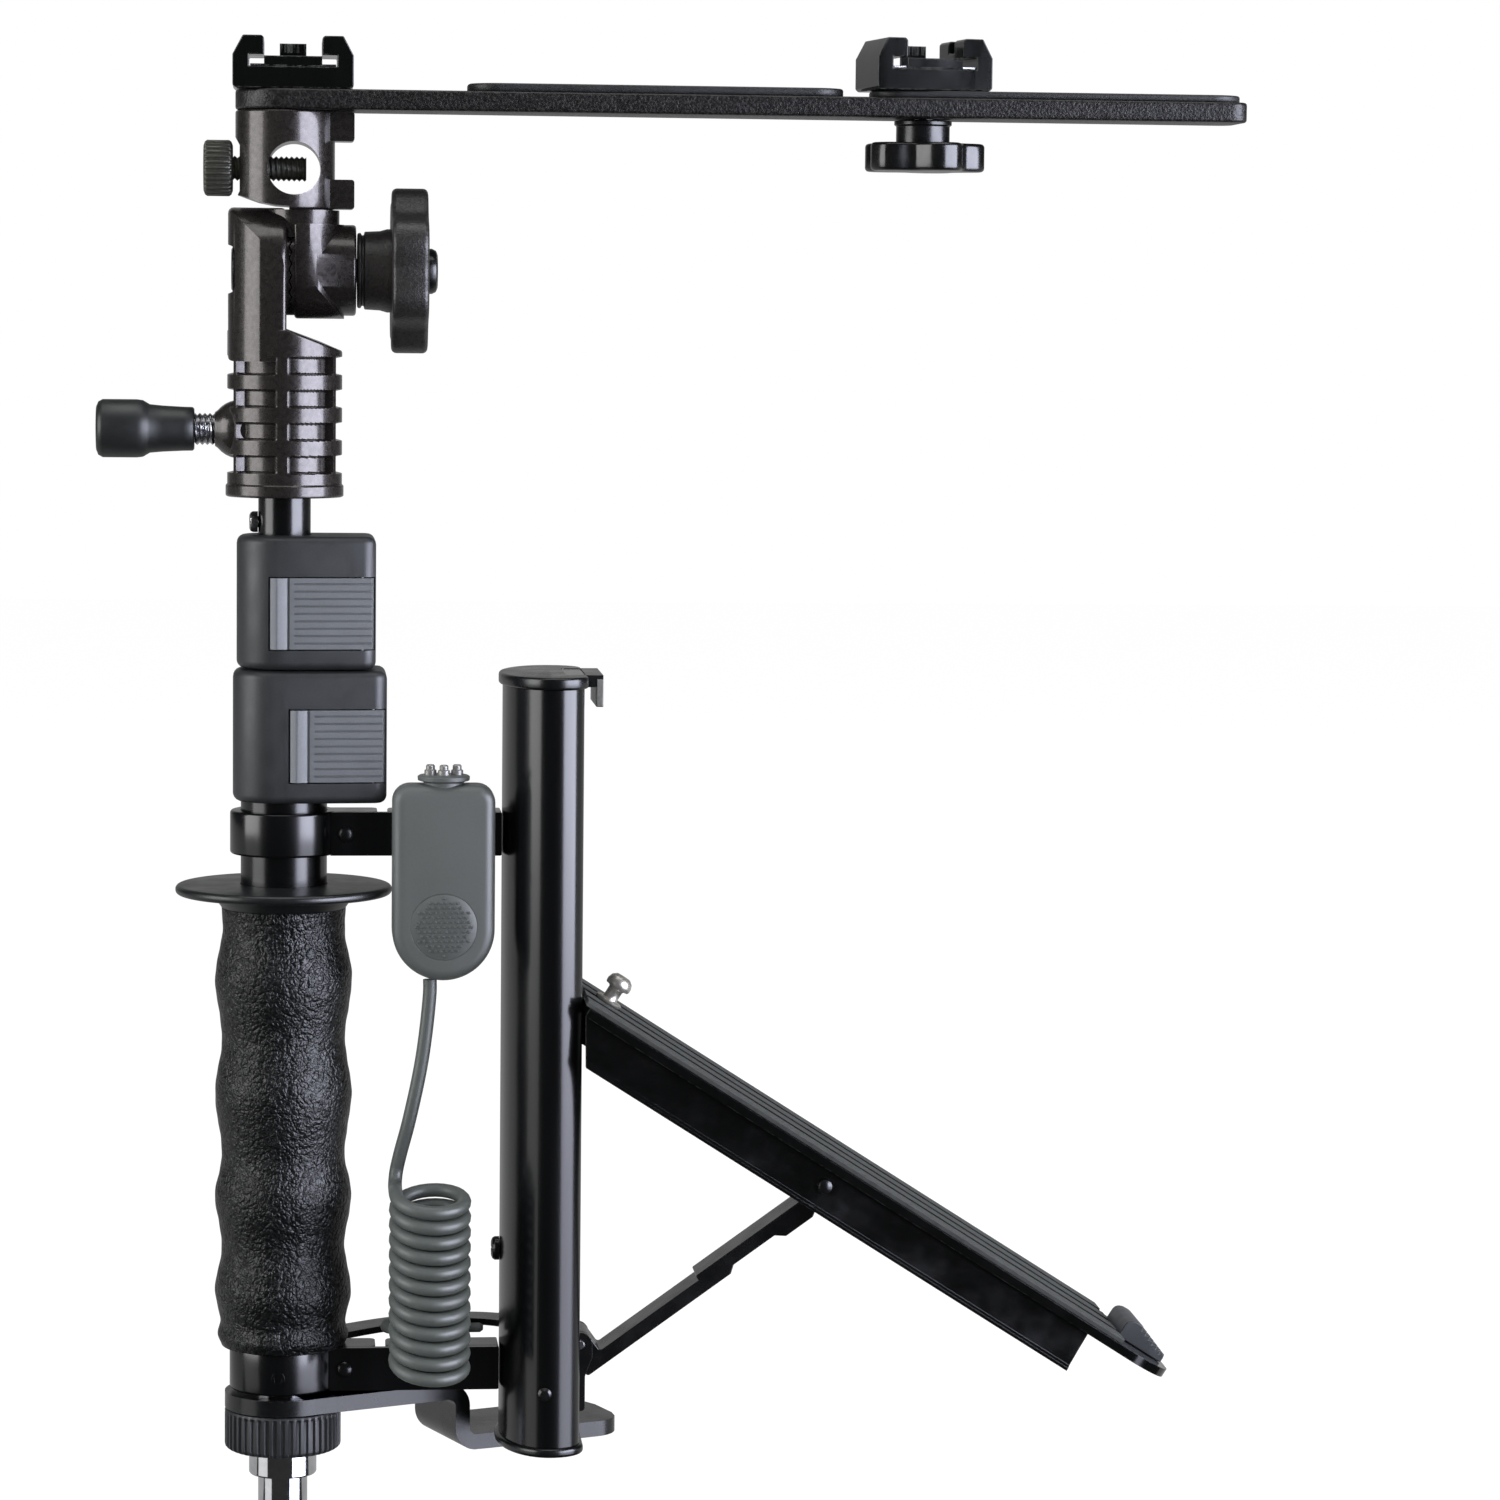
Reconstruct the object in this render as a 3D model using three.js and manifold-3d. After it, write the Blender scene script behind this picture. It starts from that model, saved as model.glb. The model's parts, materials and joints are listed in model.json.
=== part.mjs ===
// Camera flash bracket: telescopic hand grip, tilting umbrella head, bar with two shoes,
// side post with a folding tray, and a wired remote release. Millimetres, +Z up.
// The origin is the centre of the spigot's bottom face, on the axis of the hand grip.
// The bar runs along +X, the front of the object faces -Y.

import * as THREE from 'three';
import { mergeVertices } from 'three/addons/utils/BufferGeometryUtils.js';
import Module from 'manifold-3d';

const wasm = await Module();
wasm.setup();

// Fits that every sub-part shares
const clearance = 0.3;
const seat = 0.1;
const overrun = 2;
const weld = 0.00001;

// Smoothness of round forms
const fine = 32;
const medium = 24;
const coarse = 12;
const tiny = 10;
const bend = 8;

// Telescopic column, from the spigot up
const spigot = {
  radius: 6.2, chamfer: 1, height: 20, shoulderRadius: 8.5, shoulderHeight: 6.3, plugHeight: 18,
};
const collar = { radius: 14.6, height: 10.4, edge: 0.8, flutes: 36, fluteDepth: 0.7 };
const strap = {
  thickness: 4, width: 26, eyeRadius: 14.6, bendRadius: 2, dropX: 46, reach: 90, tipRadius: 7, play: 0.9,
};
const strapSwing = THREE.MathUtils.degToRad(22);
const ring = { radius: 13.4, height: 10.9, lugHalf: 5, lugReach: 23.2, lugCorner: 2 };
const innerTube = { radius: 6.5, wall: 1.2, above: 10 };
const middleTube = { wall: 1.5, lockDepth: 4.7 };
const outerTube = { wall: 2.15, lockDepth: 4.7 };
const grip = { height: 110.8, rings: 18, waistRadius: 15.4, bulgeRadius: 17.1 };
const guard = { radius: 27, rim: 3, hubRadius: 17, hubHeight: 3, ringGap: 7.6 };

// Grip outline: share of its height and share of the swell from waist to bulge
const gripShares = [
  [0, 0.06], [0.0226, 0.59], [0.0523, 0.18], [0.1227, 1], [0.2265, 0], [0.3439, 1], [0.4341, 0],
  [0.5785, 1], [0.7004, 0], [0.8421, 1], [0.9422, -0.06], [1, 0.06],
];

// Flip locks: the lever lies along the front and turns on an upright pin at the right
const lock = {
  front: 13.6, back: 12, leftCorner: 9.5, rightCorner: 3.5, edge: 1, leverThickness: 3.6,
  barrelRadius: 3.3, pinInset: 0.6, pinRadius: 1.3, pinDepth: 3, grooves: 9, groovePitch: 1.7,
  grooveDepth: 0.45, ridgeWidth: 4.2, ridgeRise: 1.1,
};
const lowerLock = {
  left: 12.7, right: 25.4, height: 32.9, leverLow: 5.4, leverHeight: 17.9, leverLeft: 1.5, above: 2.6,
};
const upperLock = {
  left: 11.8, right: 22.6, height: 33, leverLow: 5.2, leverHeight: 17.6, leverLeft: -3.5,
};
const neckShown = 9.4;

// Ribbed clamp socket and tilt joint
const clamp = {
  radius: 14.2, height: 41.5, shoulderDrop: 5, ringHeight: 3, ringStep: 0.4, socketDepth: 34,
  pockets: 4, pocketFirst: 6.2, pocketPitch: 8.1, pocketHeight: 4, pocketDepth: 2.2, ribHalf: 2,
};
const ear = {
  radius: 15.5, thickness: 14.4, recess: 1.6, recessHalf: 6.4, inner: 0.4, edge: 1.2, footHalf: 13,
  footDepth: 6,
};
const tilt = {
  rise: 14.6, boltRadius: 3, boltHeadRadius: 5.6, boltHeadHeight: 2.2, capRadius: 5.6, capHeight: 2.2,
  capEdge: 1.2, rosetteRadius: 11, rosetteHeight: 0.8, teeth: 24, toothDepth: 0.5,
};
const tiltHead = {
  radius: 12.4, thickness: 11, edge: 1, bossRadius: 8.6, bossHeight: 4.2, neckHalf: 6.4, neckCorner: 2,
  neckInset: 2.6, neckRise: 14.7,
};
const tiltKnob = {
  spacerRadius: 8.6, spacerFlare: 9.8, spacerLength: 8.4, radius: 20.6, thickness: 9, lobes: 7,
  scallop: 2.2, edge: 1.2, rimSteps: 8,
};
const socketScrew = {
  height: 16.6, bossRadius: 6.9, bossEdge: 1.4, bossReach: 18.2, radius: 4, coreRadius: 3, bare: 4,
  sleeveRadius: 5.4, sleeveFlare: 6.5, sleeveLength: 11.6, capRadius: 7.2, capLength: 12.6, capEdge: 1.6,
};
const stopScrew = { radius: 2.6, shank: 1.4, length: 2, below: 6.3 };

// Umbrella head, bar and shoes
const umbrella = {
  radius: 12.25, height: 24.2, gapUnder: 1, chamferRise: 3, holeRadius: 6.5, holeShift: 2.2,
  holeRise: 10, lugReach: 17, lugHalf: 5.5, lugHeight: 7.2, lugBite: 4,
};
const thumb = {
  radius: 6.9, length: 7.2, shank: 3.1, tip: 5.2, flutes: 28, fluteDepth: 0.5, standOff: 0.6,
};
const bar = { length: 251.4, thickness: 5, width: 24.5, corner: 5, edge: 0.8 };
const pad = { width: 21, corner: 8, edge: 0.5 };
const cameraPad = { startX: 44.9, endX: 138.2, thickness: 2 };
const shoePad = { startX: 145.4, endX: 238.2, thickness: 1.7 };
const shoe = {
  width: 29.6, depth: 21, height: 12.8, floor: 5.3, slotHeight: 2.8, slotWidth: 21.6, mouth: 14.2,
  hookEdge: 0.6, hookInset: 2.5, screwDepth: 4,
};
const shoeSpring = { thickness: 0.8, lip: 2.6, tabHalf: 3.3, tabHeight: 6.4 };
const leftShoeX = 1.9;
const rightShoeX = 158.7;
const rightShoeTurn = THREE.MathUtils.degToRad(9);
const shoeKnob = {
  radius: 15.5, height: 7, lobes: 5, valley: 3.4, edge: 0.8, rimSteps: 8, neckRadius: 6.7,
  neckHeight: 4.4, washerRadius: 7.2, washerHeight: 1.2, stemRadius: 3.2,
};

// Side frame: post, arms and caps
const post = {
  left: 54.5, width: 19.6, halfDepth: 22, cornerX: 7.4, cornerY: 6.5, wall: 1.6, bottom: 30.4,
  top: 220.3, slotHalf: 8, slotLow: 35, slotHigh: 214,
};
const cap = {
  lip: 1, topThickness: 3, bottomThickness: 2.3, windowWidth: 5, windowHalf: 11, windowInside: 4.4,
  hookReach: 4.9, hookHalf: 12, hookDrop: 7.9, hookWall: 1.7,
};
const armBlock = {
  start: 25.8, half: 5, corner: 2, edge: 0.8, plate: 1.9, plateStart: 12.9, rivetX: 15.4,
};
const rivet = { radius: 1.3, headRadius: 2, headHeight: 1, tail: 0.8 };
const brace = {
  thickness: 1.7, width: 8.4, startX: 7, startY: 9, bowX: 48, bowY: 50, endX: 66, endY: 19, steps: 14,
};
const postRivet = { radius: 1.7, headHeight: 0.8, at: 10.5, height: 13.7 };
const postScrew = { radius: 3, headHeight: 2, edge: 0.7, height: 46.6, shank: 1.6, length: 6 };

// Folding tray: strut and tray make an isosceles linkage against the post
const fold = { pivotX: 74.6, strutPivotZ: 53.4, hingeX: 134.6, hingeZ: 96.6 };
const traySlope = THREE.MathUtils.degToRad(32.5);
const tray = {
  halfWidth: 24.6, sheet: 1.5, plate: 2.3, top: 7.6, bottom: -6.8, flangeEnd: 77.4, end: 102,
  endCorner: 14, postGap: 0.5, startPast: 3,
};
const tongue = {
  half: 3, radius: 2.2, tipAlong: 2.4, tipDrop: 3.1, run: 15, pinRadius: 1.3, pinHalf: 10.5,
};
const trayPad = {
  thickness: 1.3, margin: 1.4, stripes: 4, groove: 1.1, grooveDepth: 0.6, start: -75, end: 86,
};
const trayStud = {
  along: -68, shank: 1.5, headRadius: 3.3, headHeight: 3.4, headEdge: 1.2, stemRadius: 1.9,
  stemHeight: 3.4, baseRadius: 3.6, baseHeight: 1,
};
const trayLatch = {
  start: 87.4, end: 100.5, crown: 2.4, halfWidth: 10, height: 5.6, noseHeight: 2.3, teeth: 4,
  toothDepth: 0.6,
};
const strut = {
  half: 6, rootRadius: 3.2, headRadius: 3.4, lowStart: -3.8, lowTop: 4.6, lowBottom: 8.1, jogTop: 33.8,
  jogBottom: 41.4, jogRun: 1.9, highTop: 3.25, highBottom: 6.65, heelStart: 56, heelRun: 2.3,
  heelBottom: 8.5, heelEnd: 66.7, hubReach: 4,
};
const bracket = {
  wall: 1.5, back: 66, low: 36.5, waistX: 76, waistZ: 45.5, noseRadius: 3.2, tail: 4, tailTop: 3.4,
};
const strutPin = { radius: 1.4, half: 7.9 };
const hingePin = { radius: 1.7, headHeight: 0.6 };

// Wired remote release and its cord
const remote = {
  centreX: 39.4, halfWidth: 12.7, height: 48.7, rise: 7.9, thickness: 12, edge: 2, shoulder: 3.5,
  buttonRadius: 8.4, buttonRise: 13.6, buttonThickness: 1.6, buttonTravel: 1, buttonProud: 0.2,
};
const connector = { radius: 5.4, height: 2.2, pinRadius: 1.2, pinHeight: 2.6, pins: 3, pinPitch: 3.2 };
const clip = { thickness: 0.8, width: 12, drop: 8, backDrop: 7 };
const cord = { radius: 1.6, sides: 8, meetGap: 0.3 };
const coil = {
  centreX: 36.3, centreY: -21.4, meanRadius: 8.5, turns: 11.75, pitch: 3.8, bottom: 50.2, steps: 8,
  sides: 5,
};
const plug = {
  radius: 3.4, length: 9, sleeveRadius: 2.4, sleeveLength: 3, tipRadius: 1.2, tipLength: 5, start: 33.5,
};

// Route of the free lead, from under the remote to the coil's top end
const leadRoute = [
  [36.2, -14.2, 147.6], [36.2, -14.2, 144.4], [34.4, -14.2, 128], [31.2, -13.4, 112], [29, -11.4, 103],
  [28.1, -10.6, 98.6], [27.8, -12, 95.9],
];
const leadSteps = 16;

// Route of the tail, from the coil's bottom end up over the lower arm to the plug
const tailRoute = [
  [30.2, -12.6, 50.6], [29.2, -11.3, 53.2], [28.4, -9.6, 57], [26.6, -5.4, 58.6], [26.4, -1.6, 57.4],
];
const tailSteps = 12;

// Looks of the materials
const looks = {
  blackMetal: { color: 0x17181a, roughness: 0.35, metalness: 0.7 },
  satinMetal: { color: 0x1f2022, roughness: 0.55, metalness: 0.5 },
  sandMetal: { color: 0x3a3532, roughness: 0.6, metalness: 0.4 },
  bronzePaint: { color: 0x4a403a, roughness: 0.35, metalness: 0.6 },
  plastic: { color: 0x2a2b2d, roughness: 0.65, metalness: 0 },
  rubber: { color: 0x151515, roughness: 0.9, metalness: 0 },
  chrome: { color: 0xc8c8c8, roughness: 0.12, metalness: 1 },
  steel: { color: 0x8c8c8c, roughness: 0.35, metalness: 1 },
  greyPlastic: { color: 0x77797a, roughness: 0.5, metalness: 0 },
};

const object = new THREE.Group();

// Adds one named sub-part to a group
function addPart(group, name, geometry, look) {
  const mesh = new THREE.Mesh(geometry, new THREE.MeshStandardMaterial(looks[look]));
  mesh.name = name;
  group.add(mesh);
  return mesh;
}

// Turns a closed geometry into a solid, with its faces pointing out
function toSolid(geometry) {
  const bare = geometry.clone();
  bare.deleteAttribute('normal');
  bare.deleteAttribute('uv');
  const welded = mergeVertices(bare, weld);
  const index = Array.from(welded.index.array);
  const triangles = [];
  for (let i = 0; i < index.length; i += 3) {
    const [a, b, c] = index.slice(i, i + 3);
    if (a !== b && b !== c && c !== a) triangles.push(a, b, c);
  }
  const points = welded.attributes.position.array;
  if (signedVolume(points, triangles) < 0) triangles.reverse();
  return new wasm.Manifold(new wasm.Mesh({
    numProp: 3,
    vertProperties: Float32Array.from(points),
    triVerts: Uint32Array.from(triangles),
  }));
}

function signedVolume(points, triangles) {
  const corners = [new THREE.Vector3(), new THREE.Vector3(), new THREE.Vector3()];
  let volume = 0;
  for (let i = 0; i < triangles.length; i += 3) {
    corners.forEach((corner, k) => corner.fromArray(points, triangles[i + k] * 3));
    volume += corners[0].dot(corners[1].clone().cross(corners[2]));
  }
  return volume;
}

function toGeometry(solid) {
  const mesh = solid.getMesh();
  const geometry = new THREE.BufferGeometry();
  const position = new Float32Array(mesh.numVert * 3);
  for (let i = 0; i < mesh.numVert; i += 1) {
    for (let k = 0; k < 3; k += 1) position[i * 3 + k] = mesh.vertProperties[i * mesh.numProp + k];
  }
  geometry.setAttribute('position', new THREE.BufferAttribute(position, 3));
  geometry.setIndex(new THREE.BufferAttribute(Uint32Array.from(mesh.triVerts), 1));
  return geometry;
}

// Joins and cuts geometries
function build(added, cutters = []) {
  let solid = toSolid(added[0]);
  for (const extra of added.slice(1)) solid = solid.add(toSolid(extra));
  for (const cutter of cutters) solid = solid.subtract(toSolid(cutter));
  return toGeometry(solid);
}

// Box between two corners
function box(x0, x1, y0, y1, z0, z1) {
  const geometry = new THREE.BoxGeometry(x1 - x0, y1 - y0, z1 - z0);
  return geometry.translate((x0 + x1) / 2, (y0 + y1) / 2, (z0 + z1) / 2);
}

// Cylinder along Z from z0 to z1, moved to x, y
function drum(radius, z0, z1, segments = medium, x = 0, y = 0) {
  const geometry = new THREE.CylinderGeometry(radius, radius, z1 - z0, segments);
  return geometry.rotateX(Math.PI / 2).translate(x, y, (z0 + z1) / 2);
}

// Cylinder along X from x0 to x1, centred on y, z
function drumX(radius, x0, x1, y, z, segments = medium) {
  const geometry = new THREE.CylinderGeometry(radius, radius, x1 - x0, segments);
  return geometry.rotateZ(Math.PI / 2).translate((x0 + x1) / 2, y, z);
}

// Cylinder along Y from y0 to y1, centred on x, z
function drumY(radius, y0, y1, x, z, segments = medium) {
  const geometry = new THREE.CylinderGeometry(radius, radius, y1 - y0, segments);
  return geometry.translate(x, (y0 + y1) / 2, z);
}

// Turned form about Z from pairs of radius and height that close on themselves or on the axis
function turned(pairs, segments = fine) {
  const profile = pairs.map(([radius, height]) => new THREE.Vector2(radius, height));
  return new THREE.LatheGeometry(profile, segments).rotateX(Math.PI / 2);
}

// Turned form about X, the heights running along +X
function turnedX(pairs, y, z, segments = fine) {
  return turned(pairs, segments).rotateY(Math.PI / 2).translate(0, y, z);
}

// Closed outline from corner points
function outline(pairs) {
  return new THREE.Shape(pairs.map(([x, y]) => new THREE.Vector2(x, y)));
}

// Rectangle with round corners, one radius for each end
function roundRect(x0, x1, y0, y1, leftRadius, rightRadius = leftRadius) {
  const shape = new THREE.Shape();
  shape.moveTo(x0 + leftRadius, y0);
  shape.lineTo(x1 - rightRadius, y0);
  shape.absarc(x1 - rightRadius, y0 + rightRadius, rightRadius, -Math.PI / 2, 0);
  shape.absarc(x1 - rightRadius, y1 - rightRadius, rightRadius, 0, Math.PI / 2);
  shape.absarc(x0 + leftRadius, y1 - leftRadius, leftRadius, Math.PI / 2, Math.PI);
  shape.absarc(x0 + leftRadius, y0 + leftRadius, leftRadius, Math.PI, Math.PI * 3 / 2);
  return shape;
}

// Plate from an outline in X and Y, between two heights
function slab(shape, z0, z1, curveSegments = bend) {
  const depth = z1 - z0;
  const geometry = new THREE.ExtrudeGeometry(shape, { depth, bevelEnabled: false, curveSegments });
  return geometry.translate(0, 0, z0);
}

// Plate from an outline in X and Z, between two places along Y
function slabY(shape, y0, y1, curveSegments = bend) {
  return slab(shape, -y1, -y0, curveSegments).rotateX(Math.PI / 2);
}

// Plate from an outline in Y and Z, between two places along X
function slabX(shape, x0, x1, curveSegments = bend) {
  return slab(shape, x0, x1, curveSegments).rotateZ(Math.PI / 2).rotateY(Math.PI / 2);
}

// Plate with chamfered top and bottom edges
function softSlab(shape, z0, z1, edge, curveSegments = bend) {
  const depth = z1 - z0 - edge * 2;
  const bevel = { bevelThickness: edge, bevelSize: edge, bevelOffset: -edge, bevelSegments: 1 };
  const geometry = new THREE.ExtrudeGeometry(shape, { depth, ...bevel, curveSegments });
  return geometry.translate(0, 0, z0 + edge);
}

// Outline of a round part with grooves round its rim
function flutedOutline(radius, count, depth) {
  const shape = new THREE.Shape();
  const corners = count * 2;
  for (let i = 0; i < corners; i += 1) {
    const angle = (i / corners) * Math.PI * 2;
    const reach = i % 2 ? radius - depth : radius;
    if (i) shape.lineTo(reach * Math.cos(angle), reach * Math.sin(angle));
    else shape.moveTo(reach, 0);
  }
  return shape;
}

// Outline of a hand knob whose rim swells into lobes
function lobedOutline(radius, lobes, depth, lobeSteps) {
  const points = [];
  const steps = lobes * lobeSteps;
  for (let i = 0; i < steps; i += 1) {
    const angle = (i / steps) * Math.PI * 2;
    const reach = radius - depth * (1 - Math.cos(angle * lobes)) / 2;
    points.push([reach * Math.cos(angle), reach * Math.sin(angle)]);
  }
  return outline(points);
}

function intersect(first, second) {
  return toGeometry(toSolid(first).intersect(toSolid(second)));
}

// Heights and radii that follow from the driving dimensions
const shoulderTop = spigot.height + spigot.shoulderHeight;
const middleBore = innerTube.radius + clearance;
const middleRadius = middleBore + middleTube.wall;
const outerBore = middleRadius + clearance;
const outerRadius = outerBore + outerTube.wall;
const collarBottom = shoulderTop + clearance;
const collarTop = collarBottom + collar.height;
const strapBottom = collarTop + clearance;
const strapTop = strapBottom + strap.thickness;
const lowerRingBottom = strapTop + strap.play;
const lowerRingTop = lowerRingBottom + ring.height;
const plugTop = lowerRingBottom + spigot.plugHeight;
const middleBottom = plugTop + clearance;
const gripBottom = lowerRingTop + seat;
const gripTop = gripBottom + grip.height;
const guardBottom = gripTop + seat;
const guardRim = guardBottom + guard.hubHeight;
const guardTop = guardRim + guard.rim;
const upperRingBottom = guardTop + guard.ringGap;
const upperRingTop = upperRingBottom + ring.height;
const remoteTop = upperRingTop + remote.rise;
const remoteBottom = remoteTop - remote.height;
const lowerLockBottom = upperRingTop + lowerLock.above;
const upperLockBottom = lowerLockBottom + lowerLock.height + clearance;
const clampBottom = upperLockBottom + upperLock.height + neckShown;
const clampTop = clampBottom + clamp.height;
const tiltHeight = clampTop + tilt.rise;
const earLeft = ear.inner - ear.thickness;
const headLeft = ear.inner + tilt.rosetteHeight * 2 + clearance;
const headRight = headLeft + tiltHead.thickness + tiltHead.bossHeight;
const neckTop = tiltHeight + tiltHead.neckRise;
const umbrellaBottom = neckTop + seat;
const umbrellaTop = umbrellaBottom + umbrella.height;
const barBottom = umbrellaTop + seat;
const barTop = barBottom + bar.thickness;
const barLeft = -umbrella.radius;
const shoePadTop = barTop + seat + shoePad.thickness;
const socketScrewHeight = clampBottom + socketScrew.height;
const postRight = post.left + post.width;
const postPeak = postRight - post.cornerX;
const postRivetX = post.left + postRivet.at;
const postRivetZ = post.bottom + postRivet.height;
const plateFront = armBlock.half + seat + armBlock.plate;
const remoteBack = -plateFront - clearance - clip.thickness - seat;

// Chrome spigot with the plug that fills the foot of the outer tube
function makeSpigot() {
  addPart(object, 'spigot_stud', turned([
    [0, 0], [spigot.radius - spigot.chamfer, 0], [spigot.radius, spigot.chamfer],
    [spigot.radius, spigot.height], [spigot.shoulderRadius, spigot.height],
    [spigot.shoulderRadius, shoulderTop], [middleRadius, shoulderTop], [middleRadius, plugTop], [0, plugTop],
  ]), 'chrome');
}

// Knurled collar that locks the foot strap and the spigot
function makeCollar() {
  const flutes = flutedOutline(collar.radius, collar.flutes, collar.fluteDepth);
  const wide = collar.radius + seat;
  const blank = turned([
    [0, collarBottom], [wide - collar.edge, collarBottom], [wide, collarBottom + collar.edge],
    [wide, collarTop - collar.edge], [wide - collar.edge, collarTop], [0, collarTop],
  ]);
  const bore = drum(middleRadius + clearance, collarBottom - overrun, collarTop + overrun, fine);
  const knurled = intersect(slab(flutes, collarBottom, collarTop), blank);
  addPart(object, 'knurled_collar', build([knurled], [bore]), 'satinMetal');
}

// Strap bent down from an eye on the column to a foot plate under the post
function makeFootStrap() {
  const footTop = post.bottom - cap.bottomThickness - seat - clearance;
  const footLow = footTop - strap.thickness;
  const outer = strap.bendRadius + strap.thickness;
  const topX = strap.dropX - outer;
  const topZ = strapTop - outer;
  const footX = strap.dropX + strap.bendRadius;
  const footZ = footTop + strap.bendRadius;
  const side = new THREE.Shape();
  side.moveTo(0, strapTop);
  side.lineTo(topX, strapTop);
  side.absarc(topX, topZ, outer, Math.PI / 2, 0, true);
  side.absarc(footX, footZ, strap.bendRadius, Math.PI, Math.PI * 3 / 2);
  side.lineTo(strap.reach, footTop);
  side.lineTo(strap.reach, footLow);
  side.absarc(footX, footZ, outer, Math.PI * 3 / 2, Math.PI, true);
  side.absarc(topX, topZ, strap.bendRadius, 0, Math.PI / 2);
  side.lineTo(0, strapBottom);
  const half = strap.width / 2;
  const plan = roundRect(-overrun, strap.reach, -half, half, seat, strap.tipRadius);
  const arm = intersect(slabY(side, -half, half, 5), slab(plan, footLow - overrun, strapTop + overrun));
  const eye = drum(strap.eyeRadius, strapBottom, strapTop, fine);
  const bore = drum(middleRadius + clearance, strapBottom - overrun, strapTop + overrun, fine);
  const mesh = addPart(object, 'foot_strap', build([arm, eye], [bore]), 'blackMetal');
  mesh.rotation.z = strapSwing;
}

// Radius of the grip for a share of its swell
function gripRadius(share) {
  return grip.waistRadius + (grip.bulgeRadius - grip.waistRadius) * share;
}

// Grip sleeve with its finger swells
function makeGrip() {
  const places = gripShares.map(([up, out]) => {
    return new THREE.Vector2(gripRadius(out), gripBottom + grip.height * up);
  });
  const side = new THREE.SplineCurve(places).getPoints(grip.rings).map((point) => [point.x, point.y]);
  const bore = outerRadius + seat;
  const pairs = [[bore, gripBottom], ...side, [bore, gripTop], [bore, gripBottom]];
  addPart(object, 'grip_sleeve', turned(pairs, medium), 'rubber');
}

// Hand guard: a disc with a hub that flares out of the grip
function makeGuard() {
  const edge = guard.rim / 2;
  const bore = outerRadius + seat;
  const neck = gripRadius(gripShares[gripShares.length - 1][1]);
  const face = guard.radius - edge;
  addPart(object, 'hand_guard', turned([
    [bore, guardBottom], [neck, guardBottom], [guard.hubRadius, guardRim], [face, guardRim],
    [guard.radius, guardRim + edge], [face, guardTop], [bore, guardTop], [bore, guardBottom],
  ]), 'rubber');
}

// Telescopic tubes, each open at both ends, and the stop screw in the innermost one
function makeTube(name, radius, bore, bottom, top, cutters) {
  const wall = turned([[bore, bottom], [radius, bottom], [radius, top], [bore, top], [bore, bottom]]);
  addPart(object, name, build([wall], cutters), 'blackMetal');
}

function makeTubes() {
  const outerTop = lowerLockBottom + outerTube.lockDepth;
  const middleTop = upperLockBottom + middleTube.lockDepth;
  makeTube('outer_tube', outerRadius, outerBore, lowerRingBottom, outerTop, []);
  makeTube('middle_tube', middleRadius, middleBore, middleBottom, middleTop, []);
  const screwZ = clampBottom - stopScrew.below;
  const inside = innerTube.radius - innerTube.wall;
  const hole = drumX(stopScrew.shank + seat, -innerTube.radius - overrun, 0, 0, screwZ, tiny);
  const innerTop = clampBottom + clamp.socketDepth - clearance;
  makeTube('inner_tube', innerTube.radius, inside, middleBottom + innerTube.above, innerTop, [hole]);
  const under = -innerTube.radius - seat;
  addPart(object, 'stop_screw', turnedX([
    [0, under - stopScrew.length], [stopScrew.radius, under - stopScrew.length], [stopScrew.radius, under],
    [stopScrew.shank, under], [stopScrew.shank, -inside], [0, -inside],
  ], 0, screwZ, coarse), 'satinMetal');
}

// Ring round the column with the lug that carries an arm
function armRivetBore(bottom) {
  const front = -plateFront - overrun;
  const back = armBlock.half + overrun;
  return drumY(rivet.radius + seat, front, back, armBlock.rivetX, bottom + ring.height / 2, coarse);
}

function makeRing(name, bottom) {
  const top = bottom + ring.height;
  const lug = roundRect(0, ring.lugReach, -ring.lugHalf, ring.lugHalf, ring.lugCorner);
  const bore = drum(outerRadius + seat, bottom - overrun, top + overrun, fine);
  const added = [drum(ring.radius, bottom, top, fine), slab(lug, bottom, top, 3)];
  addPart(object, name, build(added, [bore, armRivetBore(bottom)]), 'blackMetal');
}

// Arm: a block from the ring's lug to the post, with a cover plate riveted on its front
function makeArm(prefix, bottom) {
  const top = bottom + ring.height;
  const end = post.left - clearance;
  const block = roundRect(armBlock.start, end, -armBlock.half, armBlock.half, armBlock.corner);
  addPart(object, `${prefix}_arm`, softSlab(block, bottom, top, armBlock.edge, 2), 'blackMetal');
  const face = roundRect(armBlock.plateStart, end, bottom, top, armBlock.corner);
  const plate = slabY(face, -plateFront, -armBlock.half - seat, 3);
  addPart(object, `${prefix}_arm_plate`, build([plate], [armRivetBore(bottom)]), 'blackMetal');
  const z = bottom + ring.height / 2;
  const front = -plateFront - seat;
  const x = armBlock.rivetX;
  addPart(object, `${prefix}_arm_rivet`, build([
    drumY(rivet.radius, front - rivet.headHeight / 2, armBlock.half + rivet.tail, x, z, coarse),
    drumY(rivet.headRadius, front - rivet.headHeight, front, x, z, coarse),
  ]), 'satinMetal');
}

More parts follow.
